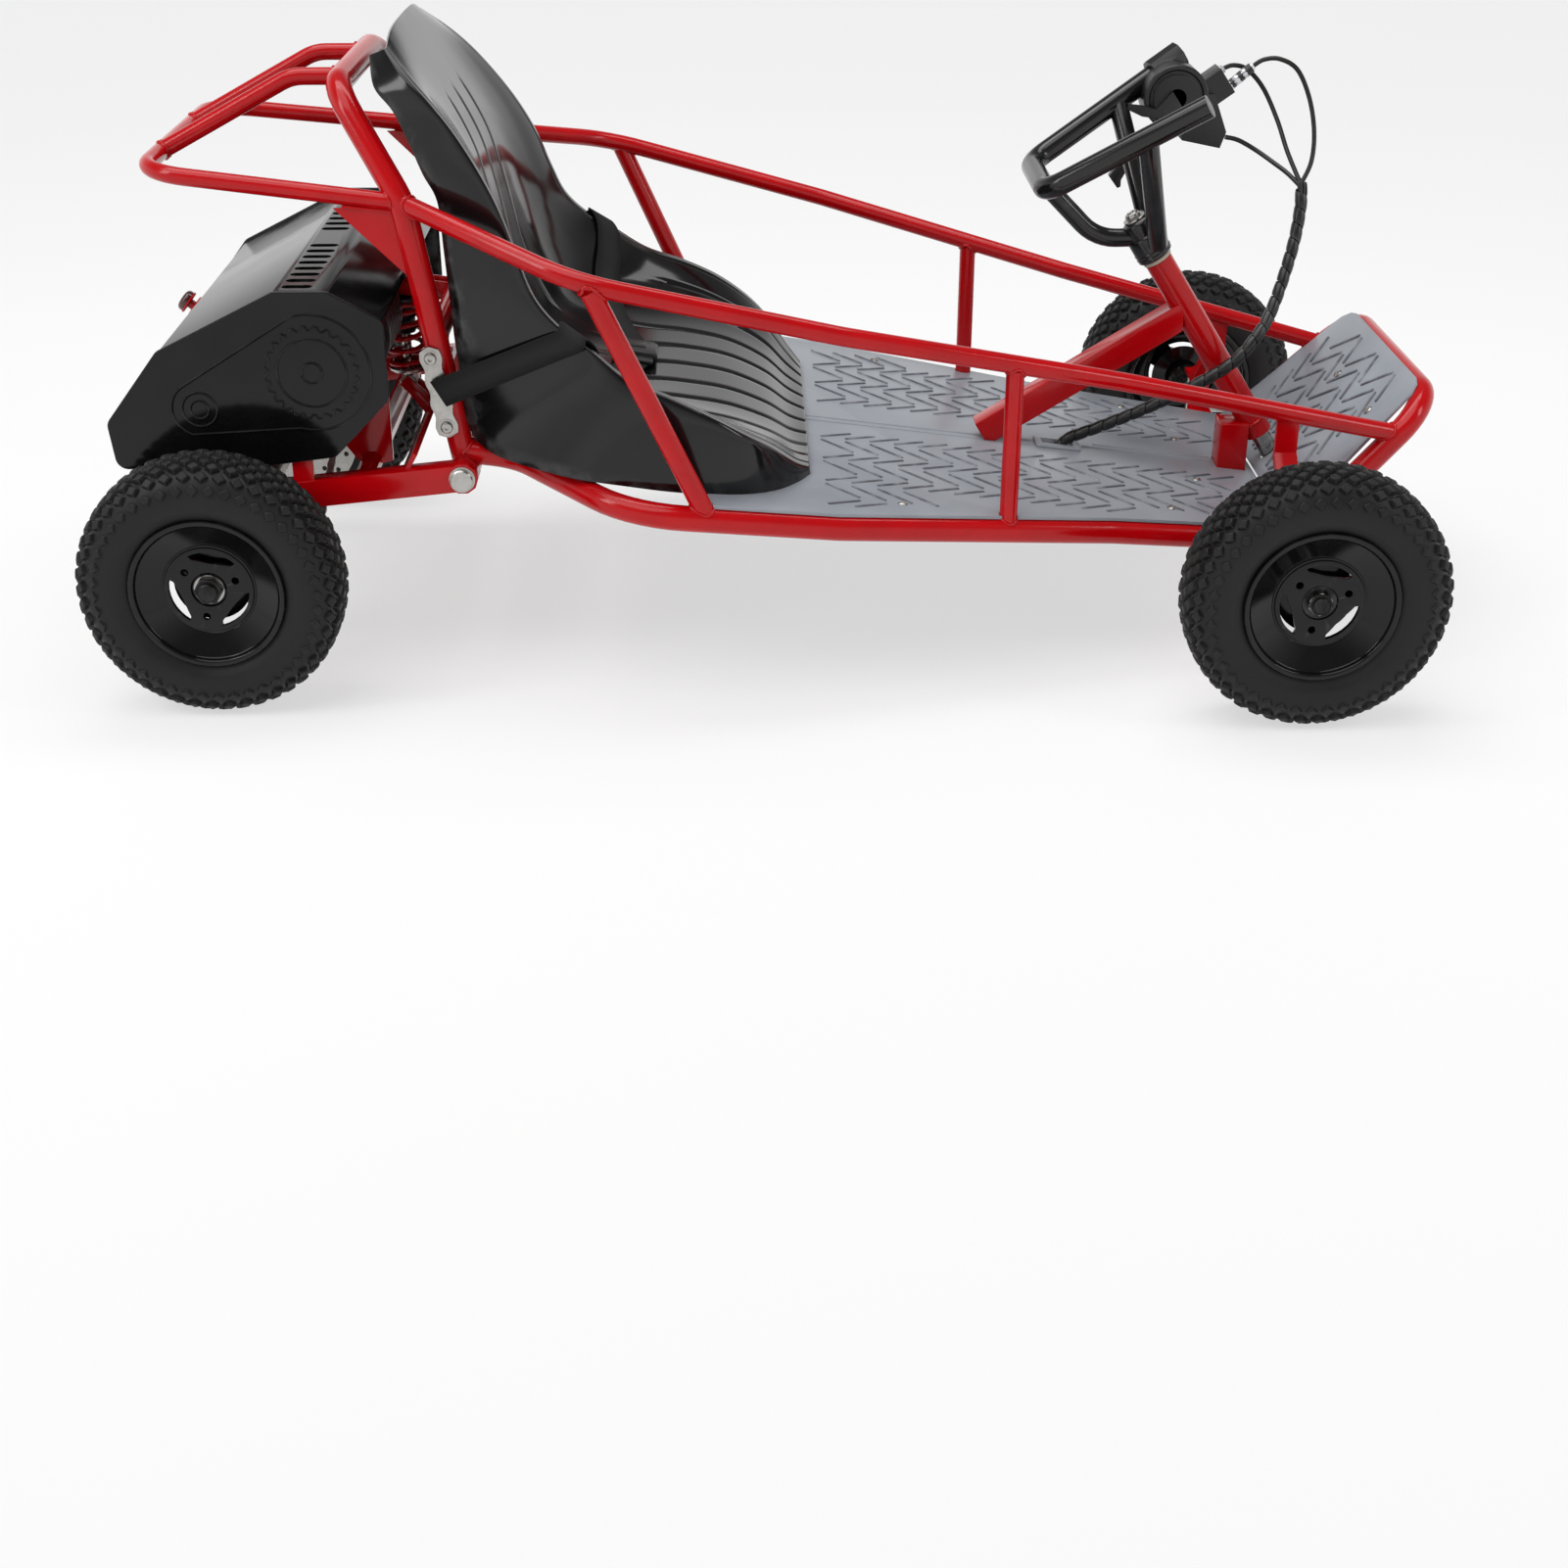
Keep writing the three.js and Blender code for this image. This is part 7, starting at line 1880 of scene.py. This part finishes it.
@dataclass
class RearCover:
    """Folded cover over the drive, with vents, side plates and a small lamp."""

    half: float = 200
    wall: float = 2.5
    outline: tuple[tuple[float, float], ...] = (
        (-562, 196), (-428, 199), (-372, 206), (-322, 257), (-322, 325), (-367, 350), (-412, 350),
        (-516, 299), (-566, 236),
    )

    def build(self) -> None:
        """Builds the shell, the emboss of its side plates and the lamp."""
        self._shell()
        self._lamp()

    def corners(self, inset: float, radius: float, opened: float = 0.0) -> list[tuple[float, float]]:
        """Outline with rounded corners.

        Args:
            inset: Distance inside the outline.
            radius: Rounding of the corners.
            opened: How far the open edges, below and ahead, move outwards instead.

        Returns:
            Pairs of X and Z.
        """
        count = len(self.outline)
        lines = []
        for i in range(count):
            a, b = Vector(self.outline[i]), Vector(self.outline[(i + 1) % count])
            along = (b - a).normalized()
            inward = Vector((-along.y, along.x))
            move = -opened if opened and i < 4 else inset
            lines.append((a + inward * move, along))
        points = []
        for i in range(count):
            (p, d), (q, e) = lines[i - 1], lines[i]
            cross = d.x * e.y - d.y * e.x
            t = ((q.x - p.x) * e.y - (q.y - p.y) * e.x) / cross
            points.append((p.x + d.x * t, 0.0, p.y + d.y * t))
        wrapped = [points[-1]] + points + [points[0]]
        route = rounded(wrapped, radius, 12)[1:-1]
        return [(v.x, v.z) for v in route]

    def _shell(self) -> None:
        """Builds the folded shell with side plates that stand a little proud."""
        shell = Bench.plate("cover_shell", self.corners(0, 9), -self.half + 3, self.half - 3, 1.4, 3)
        room = Bench.plate(
            "cover_room", self.corners(self.wall, 7, 16), -self.half + self.wall, self.half - self.wall, 0
        )
        vents = []
        for k in range(8):
            for sign in (-1, 1):
                y = sign * (32 + 20.7 * k)
                vents.append(self._slot(-395, y, 350, 26, 11))
        Bench.carved(shell, [room, *vents])
        parts = [shell]
        for side in Side:
            y = self.half * side.value
            low, high = sorted((y, y - 3.2 * side.value))
            parts.append(Bench.plate("side_plate", self.corners(-1.6, 11), low, high, 1.3, 3))
            parts += self._emboss(side)
        Bench.finish(Bench.joined("rear_cover_shell", parts), "swing_arm", Finishes.BLACK, ["rear_cover"], 34)

    @staticmethod
    def _slot(x: float, y: float, z: float, length: float, width: float) -> Object:
        """Makes the cutter of one rounded vent.

        Args:
            x: Place along the kart.
            y: Place across it.
            z: Height of the wall.
            length: Length of the vent.
            width: Width of the vent.

        Returns:
            The cutter.
        """
        Bench.clear()
        bpy.ops.mesh.primitive_circle_add(vertices=24, radius=1, fill_type="NGON", location=(0, 0, 0))
        slot = Bench.taken("vent")
        places = []
        for k in range(24):
            angle = 2 * math.pi * k / 24
            dx = (length - width) / 2 * (1 if math.cos(angle) > 0 else -1)
            places.append(place(x + dx + width / 2 * math.cos(angle), y + width / 2 * math.sin(angle), z - 8))
        Bench.set_places(slot, places)
        bpy.ops.object.mode_set(mode="EDIT")
        bpy.ops.mesh.select_all(action="SELECT")
        bpy.ops.mesh.extrude_region_move(TRANSFORM_OT_translate={"value": (0, 0, 16 * MM)})
        bpy.ops.object.mode_set(mode="OBJECT")
        return Bench.tidy(slot)

    def _emboss(self, side: Side) -> list[Object]:
        """Raised rings and lines of a side plate, over the two sprockets."""
        y = self.half * side.value
        big, small = (-385, 281), (-485, 249)

        def arc(
            centre: tuple[float, float], radius: float, start: float, end: float, steps: int
        ) -> list[Vector]:
            """Returns places of an arc in the plate's face, by angles in degrees.

            Args:
                centre: X and Z of the centre.
                radius: Radius of the arc.
                start: First angle in degrees.
                end: Last angle in degrees.
                steps: Steps of the arc.

            Returns:
                Places along the arc.
            """
            turns = [math.radians(start + (end - start) * k / steps) for k in range(steps + 1)]
            return [
                Vector((centre[0] + radius * math.cos(a), y, centre[1] + radius * math.sin(a))) for a in turns
            ]

        lines = [
            (arc(big, 9, 0, 354, 40), True), (arc(small, 8, 0, 354, 40), True),
            (arc(small, 15, 0, 354, 48), True), (arc(big, 30, 0, 354, 60), True),
        ]
        teeth = []
        for k in range(24):
            for radius, turn in ((37.5, 0.0), (41, 0.22), (41, 0.5), (37.5, 0.72)):
                angle = 2 * math.pi * (k + turn) / 24
                teeth.append(
                    Vector((big[0] + radius * math.cos(angle), y, big[1] + radius * math.sin(angle)))
                )
        lines.append((teeth, True))
        outer = arc(big, 51, -105, 105, 60) + arc(small, 24, 118, 250, 40)
        lines.append((outer, True))
        return [Bench.tube("emboss", line, 2.2, 8, closed=closed) for line, closed in lines]

    def _lamp(self) -> None:
        """Builds the lamp on its red bracket."""
        out = Vector((-0.783, 0, 0.622))
        base = Vector((-541.2, 60, 267.7))
        foot = Bench.turned(
            "lamp_foot", [(0, 0.2), (10, 0.2), (11, 1), (11, 2.4), (10.4, 3), (0, 3)], base, 32, out
        )
        arm = Bench.tube("lamp_arm", [base + out * k for k in (2.5, 5, 8)], 9, 20)
        plate = Bench.turned(
            "lamp_plate", [(0, 7.4), (10, 7.4), (11.4, 8.2), (11.4, 9), (10.8, 9.6), (0, 9.6)], base, 36, out
        )
        Bench.finish(Bench.joined("lamp_bracket", [foot, arm, plate]), "swing_arm", Finishes.RED)
        lens = Bench.turned(
            "lamp_lens_piece", [(0, 9.4), (10, 9.4), (10.6, 10), (10.4, 13), (9, 15), (6, 16.2), (0, 16.6)],
            base, 36, out
        )
        Bench.finish(lens, "swing_arm", Finishes.LENS, ["rear_lamp"])


@dataclass
class Seat:
    """The moulded bucket seat with its pressed lines, and the lap belt over it."""

    wall: float = 4
    half: float = 172
    top: float = 548
    length: float = 332
    rear: float = -262
    groove: float = 2.4
    grooves: tuple[tuple[float, float, float], ...] = (
        (0, 2.8, 8.3), (-0.93, 2.8, 8.6), (0.93, 2.8, 8.6), (0, 10.6, 16), (-0.75, 10.5, 16),
        (0.75, 10.5, 16), (-1.5, 10.4, 16), (1.5, 10.4, 16), (-2.4, 10.6, 16), (2.4, 10.6, 16),
        (-3.4, 11.0, 15.8), (3.4, 11.0, 15.8),
    )
    ridges: tuple[float, ...] = (-4.62, 4.62)

    ROWS = [
        (-0.151, 0.964, 0.686, -0.196, 0.945, 0.64, -0.151, 1.0),
        (-0.09, 0.906, 0.843, -0.181, 0.878, 0.773, -0.108, 0.94),
        (-0.03, 0.847, 0.919, -0.133, 0.825, 0.843, -0.057, 0.856),
        (0.03, 0.776, 0.971, -0.096, 0.753, 0.884, -0.003, 0.768),
        (0.09, 0.69, 1.041, -0.063, 0.676, 0.913, 0.039, 0.68),
        (0.139, 0.6, 1.099, -0.03, 0.612, 0.936, 0.066, 0.587),
        (0.178, 0.5, 1.151, -0.021, 0.499, 0.959, 0.09, 0.482),
        (0.214, 0.418, 1.203, -0.012, 0.366, 0.983, 0.114, 0.375),
        (0.271, 0.359, 1.256, 0.0, 0.203, 1.0, 0.151, 0.27),
        (0.355, 0.31, 1.302, 0.036, 0.0, 1.017, 0.211, 0.171),
        (0.452, 0.252, 1.372, 0.247, 0.0, 1.378, 0.307, 0.126),
        (0.563, 0.221, 1.413, 0.473, 0.0, 1.453, 0.443, 0.111),
        (0.669, 0.185, 1.43, 0.623, 0.0, 1.448, 0.578, 0.111),
        (0.759, 0.143, 1.384, 0.744, 0.0, 1.395, 0.705, 0.102),
        (0.825, 0.103, 1.273, 0.834, 0.0, 1.279, 0.813, 0.072),
        (0.886, 0.05, 1.11, 0.895, 0.0, 1.116, 0.88, 0.037),
        (0.928, 0.02, 0.965, 0.931, 0.0, 0.965, 0.928, 0.022),
    ]

    def __post_init__(self) -> None:
        """Works out the grid of places that the shell is drawn through."""
        self.grid = [self._row(shares) for shares in self.ROWS]

    def _row(self, shares: tuple[float, ...]) -> list[Vector]:
        """Places across one row, from the right wall's foot to the left one's."""

        def at(x_share: float, z_share: float) -> tuple[float, float]:
            """Returns X and Z of a place given in shares of the seat's length and height."""
            x = self.rear + self.length * x_share
            foot = deck_z(x) - 1
            return x, foot + (self.top - foot) * z_share

        crest, foot, middle = at(*shares[0:2]), at(*shares[3:5]), at(*shares[6:8])
        half, foot_half = self.half * shares[2], self.half * shares[5]
        line = []
        for across, bolster in zip((0, 0.3, 0.56, 0.75, 0.88, 0.96), (0, 0.02, 0.14, 0.46, 0.85, 1.0)):
            line.append(Vector((
                middle[0] + (crest[0] - middle[0]) * bolster, half * across,
                middle[1] + (crest[1] - middle[1]) * bolster,
            )))
        top, low = Vector((crest[0], half, crest[1])), Vector((foot[0], foot_half, foot[1]))
        line += [top.lerp(low, 0.12), low]
        other = [Vector((p.x, -p.y, p.z)) for p in line[1:]]
        return other[::-1] + line

    def surface(self, row: float, column: float) -> Vector:
        """Place on the seat's smooth surface; column 0 is the middle."""
        return catmull([catmull(line, column + 7) for line in self._near(row)], row - self._first(row))

    def _first(self, row: float) -> int:
        """First grid row that a place depends on."""
        return max(0, min(int(row), len(self.grid) - 2) - 1)

    def _near(self, row: float) -> list[list[Vector]]:
        """Grid rows that a place depends on."""
        first = self._first(row)
        return self.grid[first:first + 4]

    def normal(self, row: float, column: float) -> Vector:
        """Direction away from the seat's upper face."""
        e = 0.04
        r0, r1 = max(row - e, 0.0), min(row + e, 16.0)
        c0, c1 = max(column - e, -7.0), min(column + e, 7.0)
        along = self.surface(r1, column) - self.surface(r0, column)
        over = self.surface(row, c1) - self.surface(row, c0)
        return along.cross(over).normalized()

    def build(self) -> None:
        """Builds the shell, the belt, its brackets and the buckle."""
        self._shell()
        self._belt()
        self._brackets()

    def _depth(self, row: float, column: float, pace: float) -> float:
        """Depth of the pressed lines at a place.

        Args:
            row: Place along the seat, in rows.
            column: Place across the seat, in columns.
            pace: Millimetres to a column there.

        Returns:
            The depth in millimetres.
        """
        depth = 0.0
        for middle, first, last in self.grooves:
            away = abs(column - middle) * pace
            if away < 5 and first - 0.4 < row < last + 0.4:
                fade = min(1.0, (row - first + 0.4) / 0.5, (last + 0.4 - row) / 0.5)
                depth += self.groove * math.exp(-((away / 1.9) ** 2)) * fade
        for middle in self.ridges:
            away = abs(column - middle) * pace
            if away < 5 and row > 0.7:
                depth += 2.2 * math.exp(-((away / 1.9) ** 2)) * min(1.0, (row - 0.7) / 0.5)
        return depth

    def _shell(self) -> None:
        """Builds the seat's shell as one bent sheet with a wall."""
        rows = [k / 6 for k in range(97)]
        columns = {round(-7 + 0.2 * k, 3) for k in range(71)}
        for middle in sorted({g[0] for g in self.grooves} | set(self.ridges)):
            span = 0.045 if abs(middle) < 2 else 0.075
            columns |= {round(middle + span * k, 3) for k in range(-3, 4)}
        columns |= {round(s * (4.95 + 0.1 * k), 3) for k in range(12) for s in (-1, 1)}
        across = sorted(columns)
        kept = [across[0]]
        for c in across[1:]:
            if c - kept[-1] > 0.018:
                kept.append(c)
        paces = {0: 51.0, 1: 42.0, 2: 32.0}
        places = []
        for row in rows:
            for column in kept:
                here = self.surface(row, column)
                pace = paces.get(int(abs(column)), 30.0)
                depth = self._depth(row, column, pace)
                places.append(spot(here - self.normal(row, column) * depth) if depth > 0.02 else spot(here))
        Bench.clear()
        bpy.ops.mesh.primitive_grid_add(
            x_subdivisions=len(kept) - 1, y_subdivisions=len(rows) - 1, size=1, location=(0, 0, 0)
        )
        shell = Bench.taken("seat_shell_moulding")
        Bench.set_places(shell, places)
        wall = shell.modifiers.new("Wall", "SOLIDIFY")
        wall.thickness = self.wall * MM
        wall.offset = 1.0
        Bench.apply(shell)
        Bench.tidy(shell, 0.01)
        Bench.bevel(shell, 1.3, 2, 60)
        Bench.finish(shell, "frame", Finishes.SEAT, ["seat_shell"], 50)

    def _ribbon(self, name: str, edges: Sequence[tuple[Vector, Vector]], thickness: float) -> Object:
        """Makes a strap between two edge lines.

        Args:
            name: Name of the piece.
            edges: Pairs of places on the two edges.
            thickness: Thickness of the webbing.

        Returns:
            The strap.
        """
        count = len(edges)
        Bench.clear()
        bpy.ops.mesh.primitive_grid_add(
            x_subdivisions=6, y_subdivisions=count - 1, size=1, location=(0, 0, 0)
        )
        strap = Bench.taken(name)
        places = []
        for a, b in edges:
            places += [spot(a.lerp(b, k / 6)) for k in range(7)]
        Bench.set_places(strap, places)
        wall = strap.modifiers.new("Wall", "SOLIDIFY")
        wall.thickness = thickness * MM
        wall.offset = 0.0
        Bench.apply(strap)
        Bench.tidy(strap, 0.01)
        return Bench.bevel(strap, 0.5, 2, 60)

    def _belt(self) -> None:
        """Builds both halves of the lap belt and its buckle."""
        bracket = Vector((-280, -182.8, 256))
        across = Vector((-6.5, 0, 11.3))

        def edge(start: Vector, row: float, last: float) -> list[Vector]:
            """Returns one edge of the strap, from its bracket to the buckle.

            Args:
                start: Place at the bracket.
                row: Row where the strap crosses the seat's edge.
                last: Row of its end.

            Returns:
                Stations of the edge.
            """
            outside = self.surface(row, -5.7) + self.normal(row, -5.7) * 5
            places = [start.lerp(outside, share) for share in (0, 0.45, 0.85, 1)]
            places.append(self.surface(row, -5) + Vector((0, -2, 5)))
            for share in (0.06, 0.16, 0.3, 0.5, 0.75, 1):
                r, c = row + (last - row) * share, -5 + 4.66 * share
                places.append(self.surface(r, c) + self.normal(r, c) * 3.2)
            return smooth_line(places, 7)

        rear = edge(bracket + across, 8.15, 10.7)
        front = edge(bracket - across, 8.93, 11.3)
        near = self._ribbon("belt_right_webbing", list(zip(front, rear)), 1.8)
        Bench.finish(near, "frame", Finishes.WEB, ["belt_right"], 50)
        far = Bench.mirrored(near, "belt_left_webbing")
        Bench.finish(far, "frame", Finishes.WEB, ["belt_left"], 50)
        middle = self.surface(11, 0) + Vector((0, 1.5, 7.5))
        lean = 0.17
        case = Bench.block("buckle_case", middle, (42, 36, 10), lean, 3.2, 4)
        tongue = Bench.block("buckle_tongue", middle + Vector((0, -24, -1)), (34, 18, 4.5), lean, 1.6, 3)
        button = Bench.block("buckle_button", middle + Vector((0, 3, 4.8)), (20, 15, 3), lean, 1.2, 3)
        loop = Bench.block("buckle_loop", middle + Vector((0, 22, -0.5)), (36, 12, 6.5), lean, 2.2, 3)
        Bench.finish(Bench.joined("belt_buckle", [case, tongue, button, loop]), "frame", Finishes.SATIN)

    def _brackets(self) -> None:
        """Builds the scalloped steel brackets with their bolts."""
        for side in Side:
            y = 176.8 * side.value
            low, high = sorted((y, y + 2.5 * side.value))
            top, foot = Vector((-285, 0, 287)), Vector((-275, 0, 225))
            down = (foot - top).normalized()
            cross = Vector((down.z, 0, -down.x))
            length = (foot - top).length
            outline = []
            for sign in (1, -1):
                for k in range(25):
                    share = k / 24 if sign > 0 else 1 - k / 24
                    along = -10 + (length + 20) * share
                    ends = min(along + 10, length + 10 - along)
                    scallop = 10 - 2.2 * (0.5 + 0.5 * math.cos(2 * math.pi * share * 4))
                    round_end = math.sqrt(max(100 - (10 - 2 * ends) ** 2, 0)) * 0.9
                    width = scallop if ends > 5 else round_end
                    here = top + down * along + cross * (sign * max(width, 1.2))
                    outline.append((here.x, here.z))
            plate = Bench.plate("bracket_plate", outline, low, high, 0.4)
            bolts = [self._bolt(p, side) for p in (top, foot)]
            bracket = Bench.joined(f"belt_bracket_{side.word}_plate", [plate, *bolts])
            Bench.finish(bracket, "frame", Finishes.STEEL, [f"belt_bracket_{side.word}"])

    @staticmethod
    def _bolt(centre: Vector, side: Side) -> Object:
        """Makes one button-head bolt with a hexagon socket and a washer."""
        y = 179.3
        head = [
            (0, y), (7.2, y), (7.2, y + 1.1), (5.4, y + 1.1), (5.5, y + 2.6), (4.7, y + 4.3), (3.2, y + 5),
            (1.9, y + 5), (1.9, y + 2.8), (0, y + 2.8)
        ]
        bolt = Bench.turned("bracket_bolt", head, (centre.x, 0, centre.z), 24)
        if side is Side.RIGHT:
            twin = Bench.mirrored(bolt, "bracket_bolt_r")
            bpy.data.objects.remove(bolt, do_unlink=True)
            return twin
        return bolt


@dataclass
class Battery:
    """Battery case under the seat."""

    def build(self) -> None:
        """Builds the case with rounded edges."""
        box = Bench.from_cad("battery_box", "battery_box_case", 2.4, 3, 40)
        Bench.finish(box, "frame", Finishes.SATIN, ["battery_box"])


# Studio.


@dataclass
class Studio:
    """Pale floor, soft lights, pale surroundings and the camera of the photograph."""

    floor_size: float = 60.0
    floor_white: float = 0.6
    horizon: float = 1.0
    ceiling: float = 0.22
    lens: float = 50.57
    camera: Point = (-0.03195, -2.0561, 0.8444)
    pitch: float = 62.475
    yaw: float = -1.199

    def build(self) -> None:
        """Sets the whole studio."""
        self._floor()
        self._world()
        self._lamps()
        self._camera()
        bpy.context.scene.view_settings.view_transform = "Standard"

    def _floor(self) -> None:
        """Builds the floor; to the camera it is white where no shadow falls."""
        Bench.clear()
        bpy.ops.mesh.primitive_plane_add(size=self.floor_size, location=(0, 0, 0))
        floor = Bench.taken("studio_floor")
        made = bpy.data.materials.new("studio_floor_paper")
        made.use_nodes = True
        made.node_tree.nodes.clear()
        tree = Tree(made.node_tree)
        grain = tree.node("TexNoise", {"Scale": 60.0})
        tone = tree.mix(grain.outputs["Fac"], (0.92, 0.92, 0.92, 1), (0.95, 0.95, 0.95, 1))
        paper = tree.node("BsdfPrincipled", {"Base Color": tone, "Roughness": 0.9, "Specular IOR Level": 0.1})
        white = tree.node("Emission", {"Color": (1.0, 1.0, 1.0, 1), "Strength": 1.0})
        path = tree.node("LightPath")
        seen = tree.maths("MAXIMUM", path.outputs["Is Camera Ray"], path.outputs["Is Transmission Ray"])
        seen = tree.maths("MAXIMUM", seen, path.outputs["Is Glossy Ray"])
        share = tree.maths("MULTIPLY", seen, self.floor_white)
        surface = tree.node("MixShader", {0: share, 1: paper.outputs[0], 2: white.outputs[0]})
        tree.node("OutputMaterial", {"Surface": surface.outputs[0]})
        floor.data.materials.append(made)

    def _world(self) -> None:
        """Builds the surroundings: white to the camera, softer as a light."""
        world = bpy.data.worlds.new("studio_surroundings")
        bpy.context.scene.world = world
        world.use_nodes = True
        world.node_tree.nodes.clear()
        tree = Tree(world.node_tree)
        path = tree.node("LightPath")
        seen = tree.maths("MAXIMUM", path.outputs["Is Camera Ray"], path.outputs["Is Transmission Ray"])
        way = tree.node("SeparateXYZ", {0: tree.node("TexCoord").outputs["Generated"]})
        height = tree.span(way.outputs["Z"], 0.12, 0.6, self.horizon, self.ceiling)
        strength = tree.maths("MAXIMUM", seen, height)
        back = tree.node("Background", {"Color": (1.0, 1.0, 1.0, 1), "Strength": strength})
        tree.node("OutputWorld", {"Surface": back.outputs["Background"]})

    def _lamps(self) -> None:
        """Sets one broad high lamp for the whole room and soft boxes near the kart."""
        Bench.clear()
        bpy.ops.object.light_add(type="SUN", location=(0, 0, 3))
        sky = bpy.context.view_layer.objects.active
        sky.name = "ceiling_light"
        sky.data.angle = math.radians(50)
        sky.data.energy = 1.25
        towards = Vector((0, 0, 0)) - Vector((-0.5, -0.35, 1.6))
        sky.rotation_euler = towards.to_track_quat("-Z", "Y").to_euler()
        for name, where, aim, size, power in (
            ("overhead_softbox", (-0.1, 0.35, 2.0), (-0.1, 0, 0.2), (2.2, 0.55), 14.0),
            ("left_softbox", (-1.9, -0.9, 1.5), (-0.2, 0, 0.25), (0.5, 1.0), 9.0),
            ("right_softbox", (1.9, -0.9, 1.4), (0.2, 0, 0.25), (0.4, 0.9), 6.0),
        ):
            Bench.clear()
            bpy.ops.object.light_add(type="AREA", location=where)
            lamp = bpy.context.view_layer.objects.active
            lamp.name = name
            lamp.data.shape = "RECTANGLE"
            lamp.data.size, lamp.data.size_y = size
            lamp.data.energy = power
            lamp.rotation_euler = (Vector(aim) - Vector(where)).to_track_quat("-Z", "Y").to_euler()

    def _camera(self) -> None:
        """Sets the camera at the photograph's viewing angle."""
        Bench.clear()
        bpy.ops.object.camera_add(
            location=self.camera, rotation=(math.radians(self.pitch), 0, math.radians(self.yaw))
        )
        camera = bpy.context.view_layer.objects.active
        camera.name = "photo_camera"
        camera.data.lens = self.lens
        camera.data.sensor_width = 36
        camera.data.sensor_fit = "HORIZONTAL"
        camera.data.clip_start = 0.05
        camera.data.clip_end = 100
        bpy.context.scene.camera = camera


def write_sizes() -> None:
    """Updates the view layer."""
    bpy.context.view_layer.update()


def main() -> None:
    """Builds the studio and every sub-assembly of the kart."""
    Studio().build()
    for kind in (TubeFrame, Steering, Cables, Floor, FrontAxle, Wheel, Drive, RearCover, Seat, Battery):
        log.info("building %s", kind.__name__)
        kind().build()
    write_sizes()


if __name__ == "__main__":
    main()
